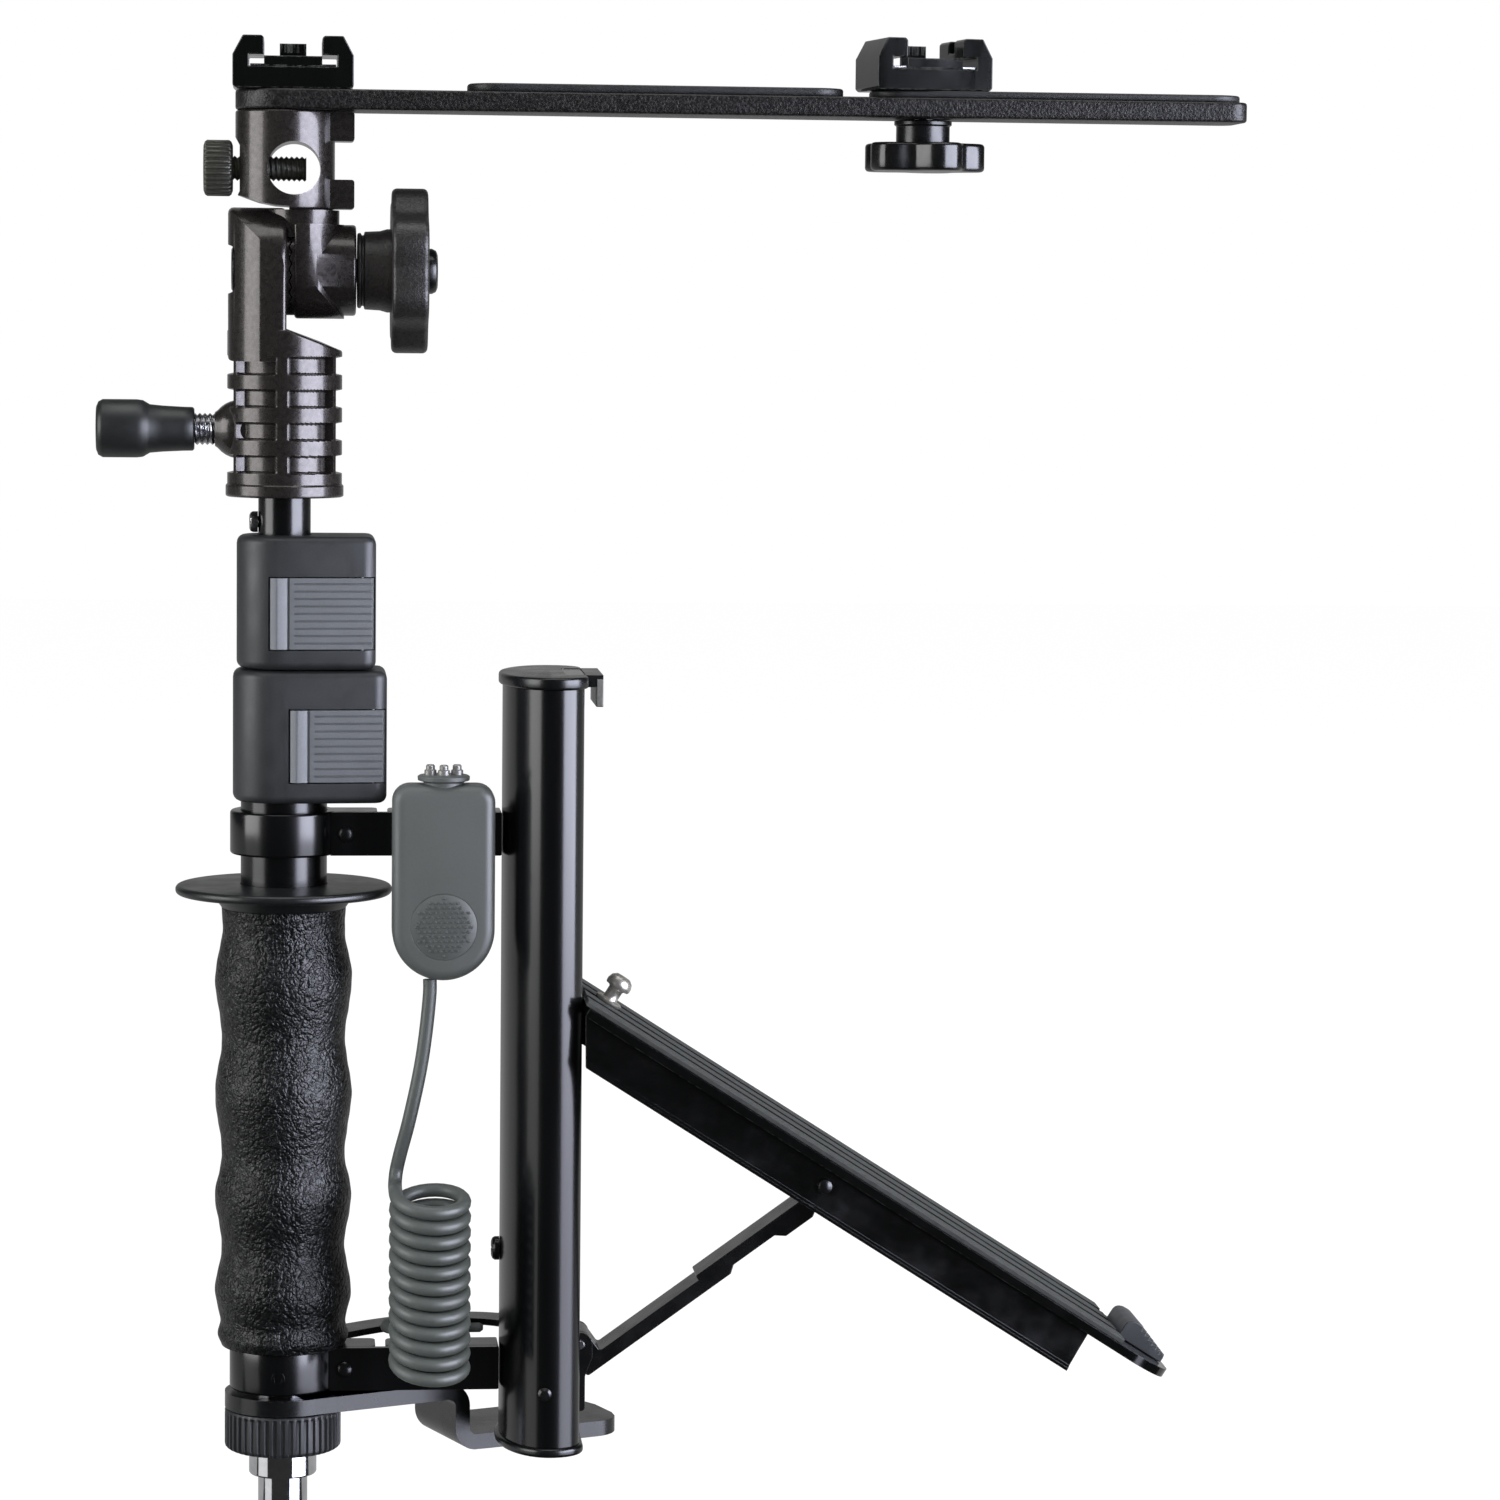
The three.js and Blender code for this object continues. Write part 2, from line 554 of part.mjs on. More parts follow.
// Bowed strap from the back of the lower ring to the back of the post
function makeBrace() {
  const start = new THREE.Vector2(brace.startX, brace.startY);
  const bow = new THREE.Vector2(brace.bowX, brace.bowY);
  const end = new THREE.Vector2(brace.endX, brace.endY);
  const line = new THREE.QuadraticBezierCurve(start, bow, end);
  const sides = [[], []];
  for (let i = 0; i <= brace.steps; i += 1) {
    const point = line.getPoint(i / brace.steps);
    const run = line.getTangent(i / brace.steps).multiplyScalar(brace.width / 2);
    sides[0].push([point.x - run.y, point.y + run.x]);
    sides[1].unshift([point.x + run.y, point.y - run.x]);
  }
  const low = lowerRingTop - brace.thickness;
  addPart(object, 'lower_arm_brace', build([slab(outline(sides.flat()), low, lowerRingTop)], [
    drum(ring.radius + seat, low - overrun, lowerRingTop + overrun, fine),
    slab(postOutline(-clearance), low - overrun, lowerRingTop + overrun),
  ]), 'blackMetal');
}

// D-shaped outline of the post, drawn in by an inset
function postOutline(inset) {
  const shape = new THREE.Shape();
  const half = post.halfDepth - post.cornerY;
  const rx = post.cornerX - inset;
  const ry = post.cornerY - inset;
  const noseX = postPeak - post.left - inset;
  const noseY = post.halfDepth - inset;
  shape.moveTo(postPeak, -half - ry);
  shape.absellipse(postPeak, -half, rx, ry, -Math.PI / 2, 0, false, 0);
  shape.absellipse(postPeak, half, rx, ry, 0, Math.PI / 2, false, 0);
  shape.absellipse(postPeak, 0, noseX, noseY, Math.PI / 2, Math.PI * 3 / 2, false, 0);
  return shape;
}

// Post: hollow extrusion with a long slot in its flat side
function makePost() {
  const reach = post.halfDepth + postRivet.headHeight;
  const screwZ = post.bottom + postScrew.height;
  const tall = [post.bottom - overrun, post.top + overrun];
  addPart(object, 'side_post', build([slab(postOutline(0), post.bottom, post.top)], [
    slab(postOutline(post.wall), ...tall),
    box(postPeak, postRight + overrun, -post.slotHalf, post.slotHalf, post.slotLow, post.slotHigh),
    drumY(postRivet.radius + seat, -reach, reach, postRivetX, postRivetZ, coarse),
    drumX(postScrew.shank + seat, post.left - overrun, post.left + post.wall + overrun, 0, screwZ, tiny),
  ]), 'blackMetal');
  const pin = drumY(postRivet.radius, -reach, reach, postRivetX, postRivetZ, coarse);
  addPart(object, 'post_rivet', pin, 'satinMetal');
  const under = post.left - seat;
  const face = under - postScrew.headHeight;
  addPart(object, 'post_screw', turnedX([
    [0, face], [postScrew.radius - postScrew.edge, face], [postScrew.radius, face + postScrew.edge],
    [postScrew.radius, under], [postScrew.shank, under], [postScrew.shank, under + postScrew.length],
    [0, under + postScrew.length],
  ], 0, screwZ, coarse), 'satinMetal');
}

// Caps on the post's ends, the top one with a window and a hook over the slot
function makeCaps() {
  const low = post.top + seat;
  const top = low + cap.topThickness;
  const hookRight = postRight + cap.hookReach;
  const window = postRight - cap.windowInside;
  addPart(object, 'post_top_cap', build([
    slab(postOutline(-cap.lip), low, top, 6),
    box(postPeak, hookRight, -cap.hookHalf, cap.hookHalf, low, top),
    box(hookRight - cap.hookWall, hookRight, -cap.hookHalf, cap.hookHalf, top - cap.hookDrop, top),
  ], [
    box(window, window + cap.windowWidth, -cap.windowHalf, cap.windowHalf, low - overrun, top + overrun),
  ]), 'plastic');
  const footTop = post.bottom - seat;
  const foot = slab(postOutline(-cap.lip), footTop - cap.bottomThickness, footTop, 6);
  addPart(object, 'post_bottom_cap', foot, 'plastic');
}

// Bracket in the post's slot: two ears for the strut and a tail on the post's rivet
function makeBracket() {
  const inside = strut.half + clearance;
  const outside = post.slotHalf - clearance;
  const nose = fold.pivotX + bracket.noseRadius;
  const top = fold.strutPivotZ + bracket.noseRadius;
  const side = new THREE.Shape();
  side.moveTo(bracket.back, bracket.low);
  side.lineTo(bracket.waistX, bracket.low);
  side.lineTo(bracket.waistX, bracket.waistZ);
  side.lineTo(nose, fold.strutPivotZ - bracket.noseRadius);
  side.absarc(fold.pivotX, fold.strutPivotZ, bracket.noseRadius, 0, Math.PI / 2);
  side.lineTo(bracket.back, top);
  const web = bracket.back + bracket.wall;
  const mouth = box(web, nose + overrun, -inside, inside, bracket.low - overrun, top + overrun);
  const ears = build([slabY(side, -outside, outside, 5)], [mouth]);
  const tail = box(postRivetX - bracket.tail, web, -outside, outside, postRivetZ - bracket.tail,
    postRivetZ + bracket.tailTop);
  const far = outside + overrun;
  addPart(object, 'strut_bracket', build([ears, tail], [
    drumY(strutPin.radius + seat, -far, far, fold.pivotX, fold.strutPivotZ, coarse),
    drumY(postRivet.radius + seat, -far, far, postRivetX, postRivetZ, coarse),
  ]), 'blackMetal');
  const pin = drumY(strutPin.radius, -strutPin.half, strutPin.half, fold.pivotX, fold.strutPivotZ, coarse);
  addPart(object, 'strut_pin', pin, 'steel');
}

// Strut: cranked bar that hangs below the line from its foot pivot to the tray's hinge.
// Its own frame has the foot pivot as origin and that line as X.
function makeStrut() {
  const rise = fold.hingeZ - fold.strutPivotZ;
  const run = fold.hingeX - fold.pivotX;
  const length = Math.hypot(rise, run);
  const shape = new THREE.Shape();
  shape.moveTo(-strut.rootRadius, 0);
  shape.absarc(0, 0, strut.rootRadius, Math.PI, 0, true);
  shape.lineTo(strut.rootRadius, -strut.lowTop);
  shape.lineTo(strut.jogTop, -strut.lowTop);
  shape.lineTo(strut.jogTop, -strut.highTop);
  shape.lineTo(length - strut.headRadius - strut.hubReach, -strut.highTop);
  shape.lineTo(length - strut.headRadius, 0);
  shape.absarc(length, 0, strut.headRadius, Math.PI, 0, true);
  shape.lineTo(length, -strut.headRadius);
  shape.lineTo(strut.heelEnd, -strut.heelBottom);
  shape.lineTo(strut.heelStart + strut.heelRun, -strut.heelBottom);
  shape.lineTo(strut.heelStart, -strut.highBottom);
  shape.lineTo(strut.jogBottom + strut.jogRun, -strut.highBottom);
  shape.lineTo(strut.jogBottom, -strut.lowBottom);
  shape.lineTo(strut.lowStart, -strut.lowBottom);
  shape.lineTo(strut.lowStart, -strut.lowTop);
  const group = new THREE.Group();
  group.position.set(fold.pivotX, 0, fold.strutPivotZ);
  group.rotation.y = -Math.atan2(rise, run);
  object.add(group);
  addPart(group, 'strut', build([slabY(shape, -strut.half, strut.half, 5)], [
    drumY(strutPin.radius + seat, -strut.half - overrun, strut.half + overrun, 0, 0, coarse),
    drumY(hingePin.radius + seat, -strut.half - overrun, strut.half + overrun, length, 0, coarse),
  ]), 'blackMetal');
}

// Tray: channel with a grooved pad, hinged on the strut, its tongue hooked into the post's slot.
// Its own frame has the hinge as origin, the long way down the slope as X and the face as Z.
function makeTray() {
  const group = new THREE.Group();
  group.position.set(fold.hingeX, 0, fold.hingeZ);
  group.rotation.y = traySlope;
  object.add(group);
  const run = fold.hingeX - fold.pivotX;
  const rise = fold.hingeZ - fold.strutPivotZ;
  const slotAlong = -run * Math.cos(traySlope) - rise * Math.sin(traySlope);
  const slotUp = -run * Math.sin(traySlope) + rise * Math.cos(traySlope);
  const plateTop = tray.top - trayPad.thickness - seat;
  const plateLow = plateTop - tray.plate;
  const half = tray.halfWidth;
  const start = slotAlong - tray.startPast;
  const plan = roundRect(start, tray.end, -half, half, seat, tray.endCorner);
  const inner = half - tray.sheet;
  const flangeTop = plateTop - seat;
  const post0 = postRight + tray.postGap - fold.hingeX;
  const behind = box(-fold.hingeX, post0, -half * 2, half * 2, -fold.hingeZ, fold.hingeZ * 2);
  behind.rotateY(-traySlope);
  const body = build([
    slab(plan, plateLow, plateTop, 5),
    box(start, tray.flangeEnd, -half, -inner, tray.bottom, flangeTop),
    box(start, tray.flangeEnd, inner, half, tray.bottom, flangeTop),
  ], [behind]);
  const tipAlong = slotAlong - tongue.tipAlong;
  const tipUp = slotUp - tongue.tipDrop;
  const tip = drumY(tongue.radius, -tongue.half, tongue.half, tipAlong, tipUp, coarse);
  const armLow = tipUp - tongue.radius;
  const arm = box(tipAlong, tipAlong + tongue.run, -tongue.half, tongue.half, armLow, plateLow + seat);
  const pin = drumY(tongue.pinRadius, -tongue.pinHalf, tongue.pinHalf, tipAlong, tipUp, coarse);
  addPart(group, 'tray_channel', build([body, arm, tip, pin], [
    drum(trayStud.shank + seat, plateLow - overrun, plateTop + overrun, tiny, trayStud.along, 0),
    drumY(hingePin.radius + seat, -half - overrun, half + overrun, 0, 0, coarse),
  ]), 'blackMetal');
  const pinReach = half + hingePin.headHeight;
  addPart(group, 'tray_hinge_pin', drumY(hingePin.radius, -pinReach, pinReach, 0, 0, coarse), 'steel');
  makeTrayPad(group, plateTop + seat);
  makeTrayStud(group, plateLow, plateTop + seat + trayPad.thickness + seat);
  makeTrayLatch(group, plateTop + seat);
}

function makeTrayPad(group, low) {
  const half = tray.halfWidth - trayPad.margin;
  const high = low + trayPad.thickness;
  const pitch = half * 2 / trayPad.stripes;
  const floor = high - trayPad.grooveDepth;
  const pairs = [[-half, low], [half, low], [half, high]];
  for (let i = trayPad.stripes - 1; i > 0; i -= 1) {
    const right = -half + pitch * i + trayPad.groove / 2;
    const left = right - trayPad.groove;
    pairs.push([right, high], [right, floor], [left, floor], [left, high]);
  }
  pairs.push([-half, high]);
  const hole = drum(trayStud.shank + seat, low - overrun, high + overrun, tiny, trayStud.along, 0);
  addPart(group, 'tray_pad', build([slabX(outline(pairs), trayPad.start, trayPad.end)], [hole]), 'rubber');
}

function makeTrayStud(group, low, face) {
  const baseTop = face + trayStud.baseHeight;
  const stemTop = baseTop + trayStud.stemHeight;
  const middle = stemTop + trayStud.headHeight / 2;
  const top = stemTop + trayStud.headHeight;
  const stud = turned([
    [0, low], [trayStud.shank, low], [trayStud.shank, face], [trayStud.baseRadius, face],
    [trayStud.baseRadius, baseTop], [trayStud.stemRadius, baseTop], [trayStud.stemRadius, stemTop],
    [trayStud.headRadius, stemTop], [trayStud.headRadius, middle],
    [trayStud.headRadius - trayStud.headEdge, top], [0, top],
  ], coarse);
  addPart(group, 'tray_stud', stud.translate(trayStud.along, 0, 0), 'chrome');
}

// Thumb slide with teeth down its sloping back
function makeTrayLatch(group, low) {
  const high = low + trayLatch.height;
  const slopeStart = trayLatch.start + trayLatch.crown;
  const run = trayLatch.end - slopeStart;
  const drop = trayLatch.height - trayLatch.noseHeight;
  const noseTop = low + trayLatch.noseHeight;
  const pairs = [[trayLatch.start, low], [trayLatch.end, low], [trayLatch.end, noseTop]];
  for (let i = 1; i <= trayLatch.teeth; i += 1) {
    const share = i / (trayLatch.teeth + 1);
    const x = trayLatch.end - run * share;
    const z = noseTop + drop * share;
    pairs.push([x, z], [x, z + trayLatch.toothDepth]);
  }
  pairs.push([slopeStart, high], [trayLatch.start, high]);
  addPart(group, 'tray_latch', slabY(outline(pairs), -trayLatch.halfWidth, trayLatch.halfWidth), 'plastic');
}

// Flip lock: collar with a recess for the lever, the lever and its upright pin
function makeLock(prefix, spec, bottom, lowerRadius, lowerDepth, upperRadius) {
  const top = bottom + spec.height;
  const leverLow = bottom + spec.leverLow;
  const leverTop = leverLow + spec.leverHeight;
  const low = leverLow - clearance;
  const high = leverTop + clearance;
  const pinX = spec.right - lock.barrelRadius - lock.pinInset;
  const pinY = -lock.front + lock.barrelRadius;
  const plateBack = -lock.front + lock.leverThickness;
  const leverStart = spec.leverLeft - clearance;
  const front = -lock.front - overrun;
  const plan = roundRect(-spec.left, spec.right, -lock.front, lock.back, lock.leftCorner, lock.rightCorner);
  addPart(object, `${prefix}_lock_collar`, build([softSlab(plan, bottom, top, lock.edge, 3)], [
    drum(lowerRadius + seat, bottom - overrun, bottom + lowerDepth + seat, fine),
    drum(upperRadius + clearance, bottom, top + overrun, fine),
    box(leverStart, spec.right + overrun, front, plateBack + clearance, low, high),
    drum(lock.barrelRadius + clearance, low, high, medium, pinX, pinY),
    drum(lock.pinRadius + seat, low - lock.pinDepth, high + lock.pinDepth, coarse, pinX, pinY),
  ]), 'plastic');
  const pairs = [[plateBack, leverLow], [-lock.front, leverLow]];
  const first = (leverLow + leverTop - lock.groovePitch * (lock.grooves - 1)) / 2;
  const floor = -lock.front + lock.grooveDepth;
  for (let i = 0; i < lock.grooves; i += 1) {
    const z0 = first + lock.groovePitch * i - lock.grooveDepth / 2;
    const z1 = z0 + lock.grooveDepth;
    pairs.push([-lock.front, z0], [floor, z0], [floor, z1], [-lock.front, z1]);
  }
  pairs.push([-lock.front, leverTop], [plateBack, leverTop]);
  const ridgeEnd = spec.leverLeft + lock.ridgeWidth;
  addPart(object, `${prefix}_lock_lever`, build([
    slabX(outline(pairs), ridgeEnd - seat, pinX),
    box(spec.leverLeft, ridgeEnd, -lock.front - lock.ridgeRise, plateBack, leverLow, leverTop),
    drum(lock.barrelRadius, leverLow, leverTop, medium, pinX, pinY),
  ], [drum(lock.pinRadius + seat, low, high, coarse, pinX, pinY)]), 'plastic');
  const pin = drum(lock.pinRadius, leverLow - lock.pinDepth, leverTop + lock.pinDepth, coarse, pinX, pinY);
  addPart(object, `${prefix}_lock_pin`, pin, 'steel');
}

// Clamp body: ribbed socket below, ear of the tilt joint above, boss for the lock screw
function makeRibbedSocket() {
  const r = clamp.radius;
  const wide = r + clamp.ringStep;
  const pockets = [];
  for (let i = 0; i < clamp.pockets; i += 1) {
    const z0 = clampBottom + clamp.pocketFirst + clamp.pocketPitch * i;
    const z1 = z0 + clamp.pocketHeight;
    const inner = r - clamp.pocketDepth;
    const band = turned([[inner, z0], [wide, z0], [wide, z1], [inner, z1], [inner, z0]]);
    const rib = box(-clamp.ribHalf, clamp.ribHalf, -r - overrun, r + overrun, z0 - overrun, z1 + overrun);
    pockets.push(build([band], [rib]));
  }
  const ringTop = clampBottom + clamp.ringHeight;
  const socket = turned([
    [0, clampBottom], [wide, clampBottom], [wide, ringTop], [r, ringTop], [r, clampTop], [0, clampTop],
  ]);
  const low = clampTop - clamp.shoulderDrop;
  const far = r + overrun;
  const above = clampTop + overrun;
  const slopeSide = outline([[ear.inner, above], [ear.inner, clampTop], [far, low], [far, above]]);
  const slope = slabY(slopeSide, -far, far);
  return build([socket], [...pockets, slope]);
}

function rosette(x0, x1) {
  const teeth = flutedOutline(tilt.rosetteRadius, tilt.teeth, tilt.toothDepth);
  return slabX(teeth, x0, x1).translate(0, 0, tiltHeight);
}

function makeClamp() {
  const web = new THREE.Shape();
  const foot = clampTop - ear.footDepth;
  web.moveTo(-ear.footHalf, foot);
  web.lineTo(ear.footHalf, foot);
  web.lineTo(ear.radius, tiltHeight);
  web.absarc(0, tiltHeight, ear.radius, 0, Math.PI);
  const disc = softSlab(web, 0, ear.thickness, ear.edge, 12).rotateZ(Math.PI / 2).rotateY(Math.PI / 2);
  const bossStart = -socketScrew.bossReach;
  const boss = turnedX([
    [0, bossStart], [socketScrew.bossRadius - socketScrew.bossEdge, bossStart],
    [socketScrew.bossRadius, bossStart + socketScrew.bossEdge], [socketScrew.bossRadius, -innerTube.radius],
    [0, -innerTube.radius],
  ], 0, socketScrewHeight, medium);
  const teeth = rosette(ear.inner - seat, ear.inner + tilt.rosetteHeight);
  const right = ear.inner + tilt.rosetteHeight + overrun;
  const low = tiltHeight - ear.recessHalf;
  const high = tiltHeight + ear.recessHalf;
  const depth = ear.radius + overrun;
  const boreStart = bossStart - overrun;
  addPart(object, 'clamp_body', build([makeRibbedSocket(), disc.translate(earLeft, 0, 0), boss, teeth], [
    drum(innerTube.radius + clearance, clampBottom - overrun, clampBottom + clamp.socketDepth, fine),
    drumX(tilt.boltRadius + clearance, earLeft - overrun, right, 0, tiltHeight, coarse),
    box(earLeft - overrun, earLeft + ear.recess, -depth, depth, low, high),
    drumX(socketScrew.radius + clearance, boreStart, -innerTube.radius, 0, socketScrewHeight, coarse),
  ]), 'bronzePaint');
}

// Lock screw of the socket with its rubber handle
function makeSocketScrew() {
  const tip = -innerTube.radius - clearance;
  const bare = -socketScrew.bossReach - socketScrew.bare;
  const sleeveEnd = bare - socketScrew.sleeveLength;
  const core = socketScrew.coreRadius;
  addPart(object, 'socket_screw', turnedX([
    [0, sleeveEnd], [core, sleeveEnd], [core, bare], [socketScrew.radius, bare], [socketScrew.radius, tip],
    [0, tip],
  ], 0, socketScrewHeight, medium), 'steel');
  const capEnd = sleeveEnd - socketScrew.capLength;
  const wide = socketScrew.capRadius;
  const edge = socketScrew.capEdge;
  const bore = core + seat;
  addPart(object, 'socket_screw_cap', turnedX([
    [0, capEnd], [wide - edge, capEnd], [wide, capEnd + edge], [wide, sleeveEnd],
    [socketScrew.sleeveFlare, sleeveEnd], [socketScrew.sleeveRadius, bare - seat], [bore, bare - seat],
    [bore, sleeveEnd - seat], [0, sleeveEnd - seat],
  ], 0, socketScrewHeight, medium), 'rubber');
}

// Tilting half of the joint, with the neck that carries the umbrella head
function makeTiltHead() {
  const discRight = headLeft + tiltHead.thickness;
  const round = new THREE.Shape();
  round.absarc(0, 0, tiltHead.radius, 0, Math.PI * 2);
  const disc = softSlab(round, 0, tiltHead.thickness, tiltHead.edge, 14).rotateY(Math.PI / 2);
  const neckRight = headRight - tiltHead.neckInset;
  const neck = roundRect(headLeft, neckRight, -tiltHead.neckHalf, tiltHead.neckHalf, tiltHead.neckCorner);
  addPart(object, 'tilt_head', build([
    disc.translate(headLeft, 0, tiltHeight),
    drumX(tiltHead.bossRadius, discRight - seat, headRight, 0, tiltHeight, medium),
    slab(neck, tiltHeight, neckTop, 3),
    rosette(headLeft - tilt.rosetteHeight, headLeft + seat),
  ], [
    drumX(tilt.boltRadius + clearance, ear.inner, headRight + overrun, 0, tiltHeight, coarse),
  ]), 'bronzePaint');
}

// Bolt through the tilt joint and the hand-wheel on it
function makeTiltKnob() {
  const floor = earLeft + ear.recess;
  const hubLeft = headRight + clearance;
  const wheelLeft = hubLeft + tiltKnob.spacerLength;
  const wheelRight = wheelLeft + tiltKnob.thickness;
  const capLeft = wheelRight + clearance;
  const capRight = capLeft + tilt.capHeight;
  addPart(object, 'tilt_bolt', turnedX([
    [0, floor - tilt.boltHeadHeight], [tilt.boltHeadRadius, floor - tilt.boltHeadHeight],
    [tilt.boltHeadRadius, floor - seat], [tilt.boltRadius, floor - seat], [tilt.boltRadius, capLeft],
    [tilt.capRadius, capLeft], [tilt.capRadius, capRight - tilt.capEdge],
    [tilt.capRadius - tilt.capEdge, capRight], [0, capRight],
  ], 0, tiltHeight, medium), 'satinMetal');
  const flare = wheelLeft - tiltKnob.edge;
  const spacer = turnedX([
    [0, hubLeft], [tiltKnob.spacerRadius, hubLeft], [tiltKnob.spacerRadius, flare - tiltKnob.edge],
    [tiltKnob.spacerFlare, flare], [tiltKnob.spacerFlare, wheelLeft + seat], [0, wheelLeft + seat],
  ], 0, tiltHeight, medium);
  const rim = lobedOutline(tiltKnob.radius, tiltKnob.lobes, tiltKnob.scallop, tiltKnob.rimSteps);
  const wheel = softSlab(rim, 0, tiltKnob.thickness, tiltKnob.edge).rotateY(Math.PI / 2);
  const boreRadius = tilt.boltRadius + clearance;
  const bore = drumX(boreRadius, hubLeft - overrun, wheelRight + overrun, 0, tiltHeight, coarse);
  const knob = build([spacer, wheel.translate(wheelLeft, 0, tiltHeight)], [bore]);
  addPart(object, 'tilt_knob', knob, 'plastic');
}

// Umbrella head: cylinder with the umbrella's cross hole and two lugs on its right
function makeUmbrellaHead() {
  const r = umbrella.radius;
  const far = r + overrun;
  const holeZ = umbrellaBottom + umbrella.holeRise;
  const lug = (low) => box(r - umbrella.lugBite, umbrella.lugReach, -umbrella.lugHalf, umbrella.lugHalf, low,
    low + umbrella.lugHeight);
  const gapTop = tiltHeight + ear.radius + umbrella.gapUnder;
  const under = slabY(outline([
    [-far, umbrellaBottom - overrun], [headLeft, umbrellaBottom - overrun], [headLeft, gapTop],
    [-far, gapTop + umbrella.chamferRise],
  ]), -far, far);
  addPart(object, 'umbrella_head', build([
    drum(r, umbrellaBottom, umbrellaTop, fine), lug(umbrellaBottom), lug(umbrellaTop - umbrella.lugHeight),
  ], [
    under,
    drumY(umbrella.holeRadius, -far, far, umbrella.holeShift, holeZ, medium),
    drumX(thumb.shank + clearance, -far, umbrella.holeShift, 0, holeZ, coarse),
  ]), 'bronzePaint');
  const headEnd = -r - thumb.standOff;
  const flutes = flutedOutline(thumb.radius, thumb.flutes, thumb.fluteDepth);
  const knurl = slabX(flutes, headEnd - thumb.length, headEnd);
  const shank = drumX(thumb.shank, headEnd - seat, thumb.tip, 0, holeZ, coarse);
  addPart(object, 'umbrella_screw', build([knurl.translate(0, 0, holeZ), shank]), 'satinMetal');
}

// Bar over the umbrella head, with two pads on it
function makePad(name, spec, cutters) {
  const half = pad.width / 2;
  const low = barTop + seat;
  const shape = roundRect(spec.startX, spec.endX, -half, half, pad.corner);
  addPart(object, name, build([softSlab(shape, low, low + spec.thickness, pad.edge, 4)], cutters), 'rubber');
}

function makeBar() {
  const half = bar.width / 2;
  const shape = roundRect(barLeft, barLeft + bar.length, -half, half, half - seat, bar.corner);
  const above = barTop + shoePad.thickness + overrun;
  const boreRadius = shoeKnob.stemRadius + clearance;
  const bore = drum(boreRadius, barBottom - overrun, above, coarse, rightShoeX, 0);
  addPart(object, 'bar', build([softSlab(shape, barBottom, barTop, bar.edge, 6)], [bore]), 'sandMetal');
  makePad('camera_pad', cameraPad, []);
  makePad('shoe_pad', shoePad, [bore]);
}

// Accessory shoe: a block with a slot between two hooked walls, and a leaf spring on its floor
function makeShoe(prefix, centre, bottom, turn, screwRadius) {
  const group = new THREE.Group();
  group.position.set(centre, 0, bottom);
  group.rotation.z = turn;
  object.add(group);
  const half = shoe.width / 2;
  const slot = shoe.slotWidth / 2;
  const mouth = shoe.mouth / 2;
  const depth = shoe.depth / 2;
  const roof = shoe.floor + shoe.slotHeight;
  const right = [
    [half, 0], [half, roof], [half - shoe.hookInset, shoe.height], [mouth + shoe.hookEdge, shoe.height],
    [mouth, shoe.height - shoe.hookEdge], [mouth, roof], [slot, roof], [slot, shoe.floor],
  ];
  const left = right.map(([x, z]) => [-x, z]).reverse();
  const body = slabY(outline([...right, ...left]), -depth, depth);
  const bores = screwRadius ? [drum(screwRadius + clearance, -overrun, shoe.screwDepth, coarse)] : [];
  addPart(group, `${prefix}_shoe`, build([body], bores), 'satinMetal');
  const low = shoe.floor + seat;
  const wide = mouth - clearance;
  const front = depth - clearance;
  const thick = shoeSpring.thickness;
  addPart(group, `${prefix}_shoe_spring`, build([
    box(-wide, wide, -front, front, low, low + thick),
    box(-wide, wide, -front, -front + thick, low, low + shoeSpring.lip),
    box(-shoeSpring.tabHalf, shoeSpring.tabHalf, front - thick, front, low, low + shoeSpring.tabHeight),
  ]), 'steel');
}

// Star knob that clamps the right shoe from below the bar
function makeShoeKnob() {
  const washerTop = barBottom - clearance;
  const washerLow = washerTop - shoeKnob.washerHeight;
  const neckLow = washerLow - shoeKnob.neckHeight;
  const stemTop = shoePadTop + seat + shoe.screwDepth - clearance;
  const stack = turned([
    [0, neckLow - seat], [shoeKnob.neckRadius, neckLow - seat], [shoeKnob.neckRadius, washerLow],
    [shoeKnob.washerRadius, washerLow], [shoeKnob.washerRadius, washerTop], [shoeKnob.stemRadius, washerTop],
    [shoeKnob.stemRadius, stemTop], [0, stemTop],
  ], medium);
  const rim = lobedOutline(shoeKnob.radius, shoeKnob.lobes, shoeKnob.valley, shoeKnob.rimSteps);
  const star = softSlab(rim, neckLow - shoeKnob.height, neckLow, shoeKnob.edge);
  addPart(object, 'shoe_knob', build([stack, star]).translate(rightShoeX, 0, 0), 'plastic');
}

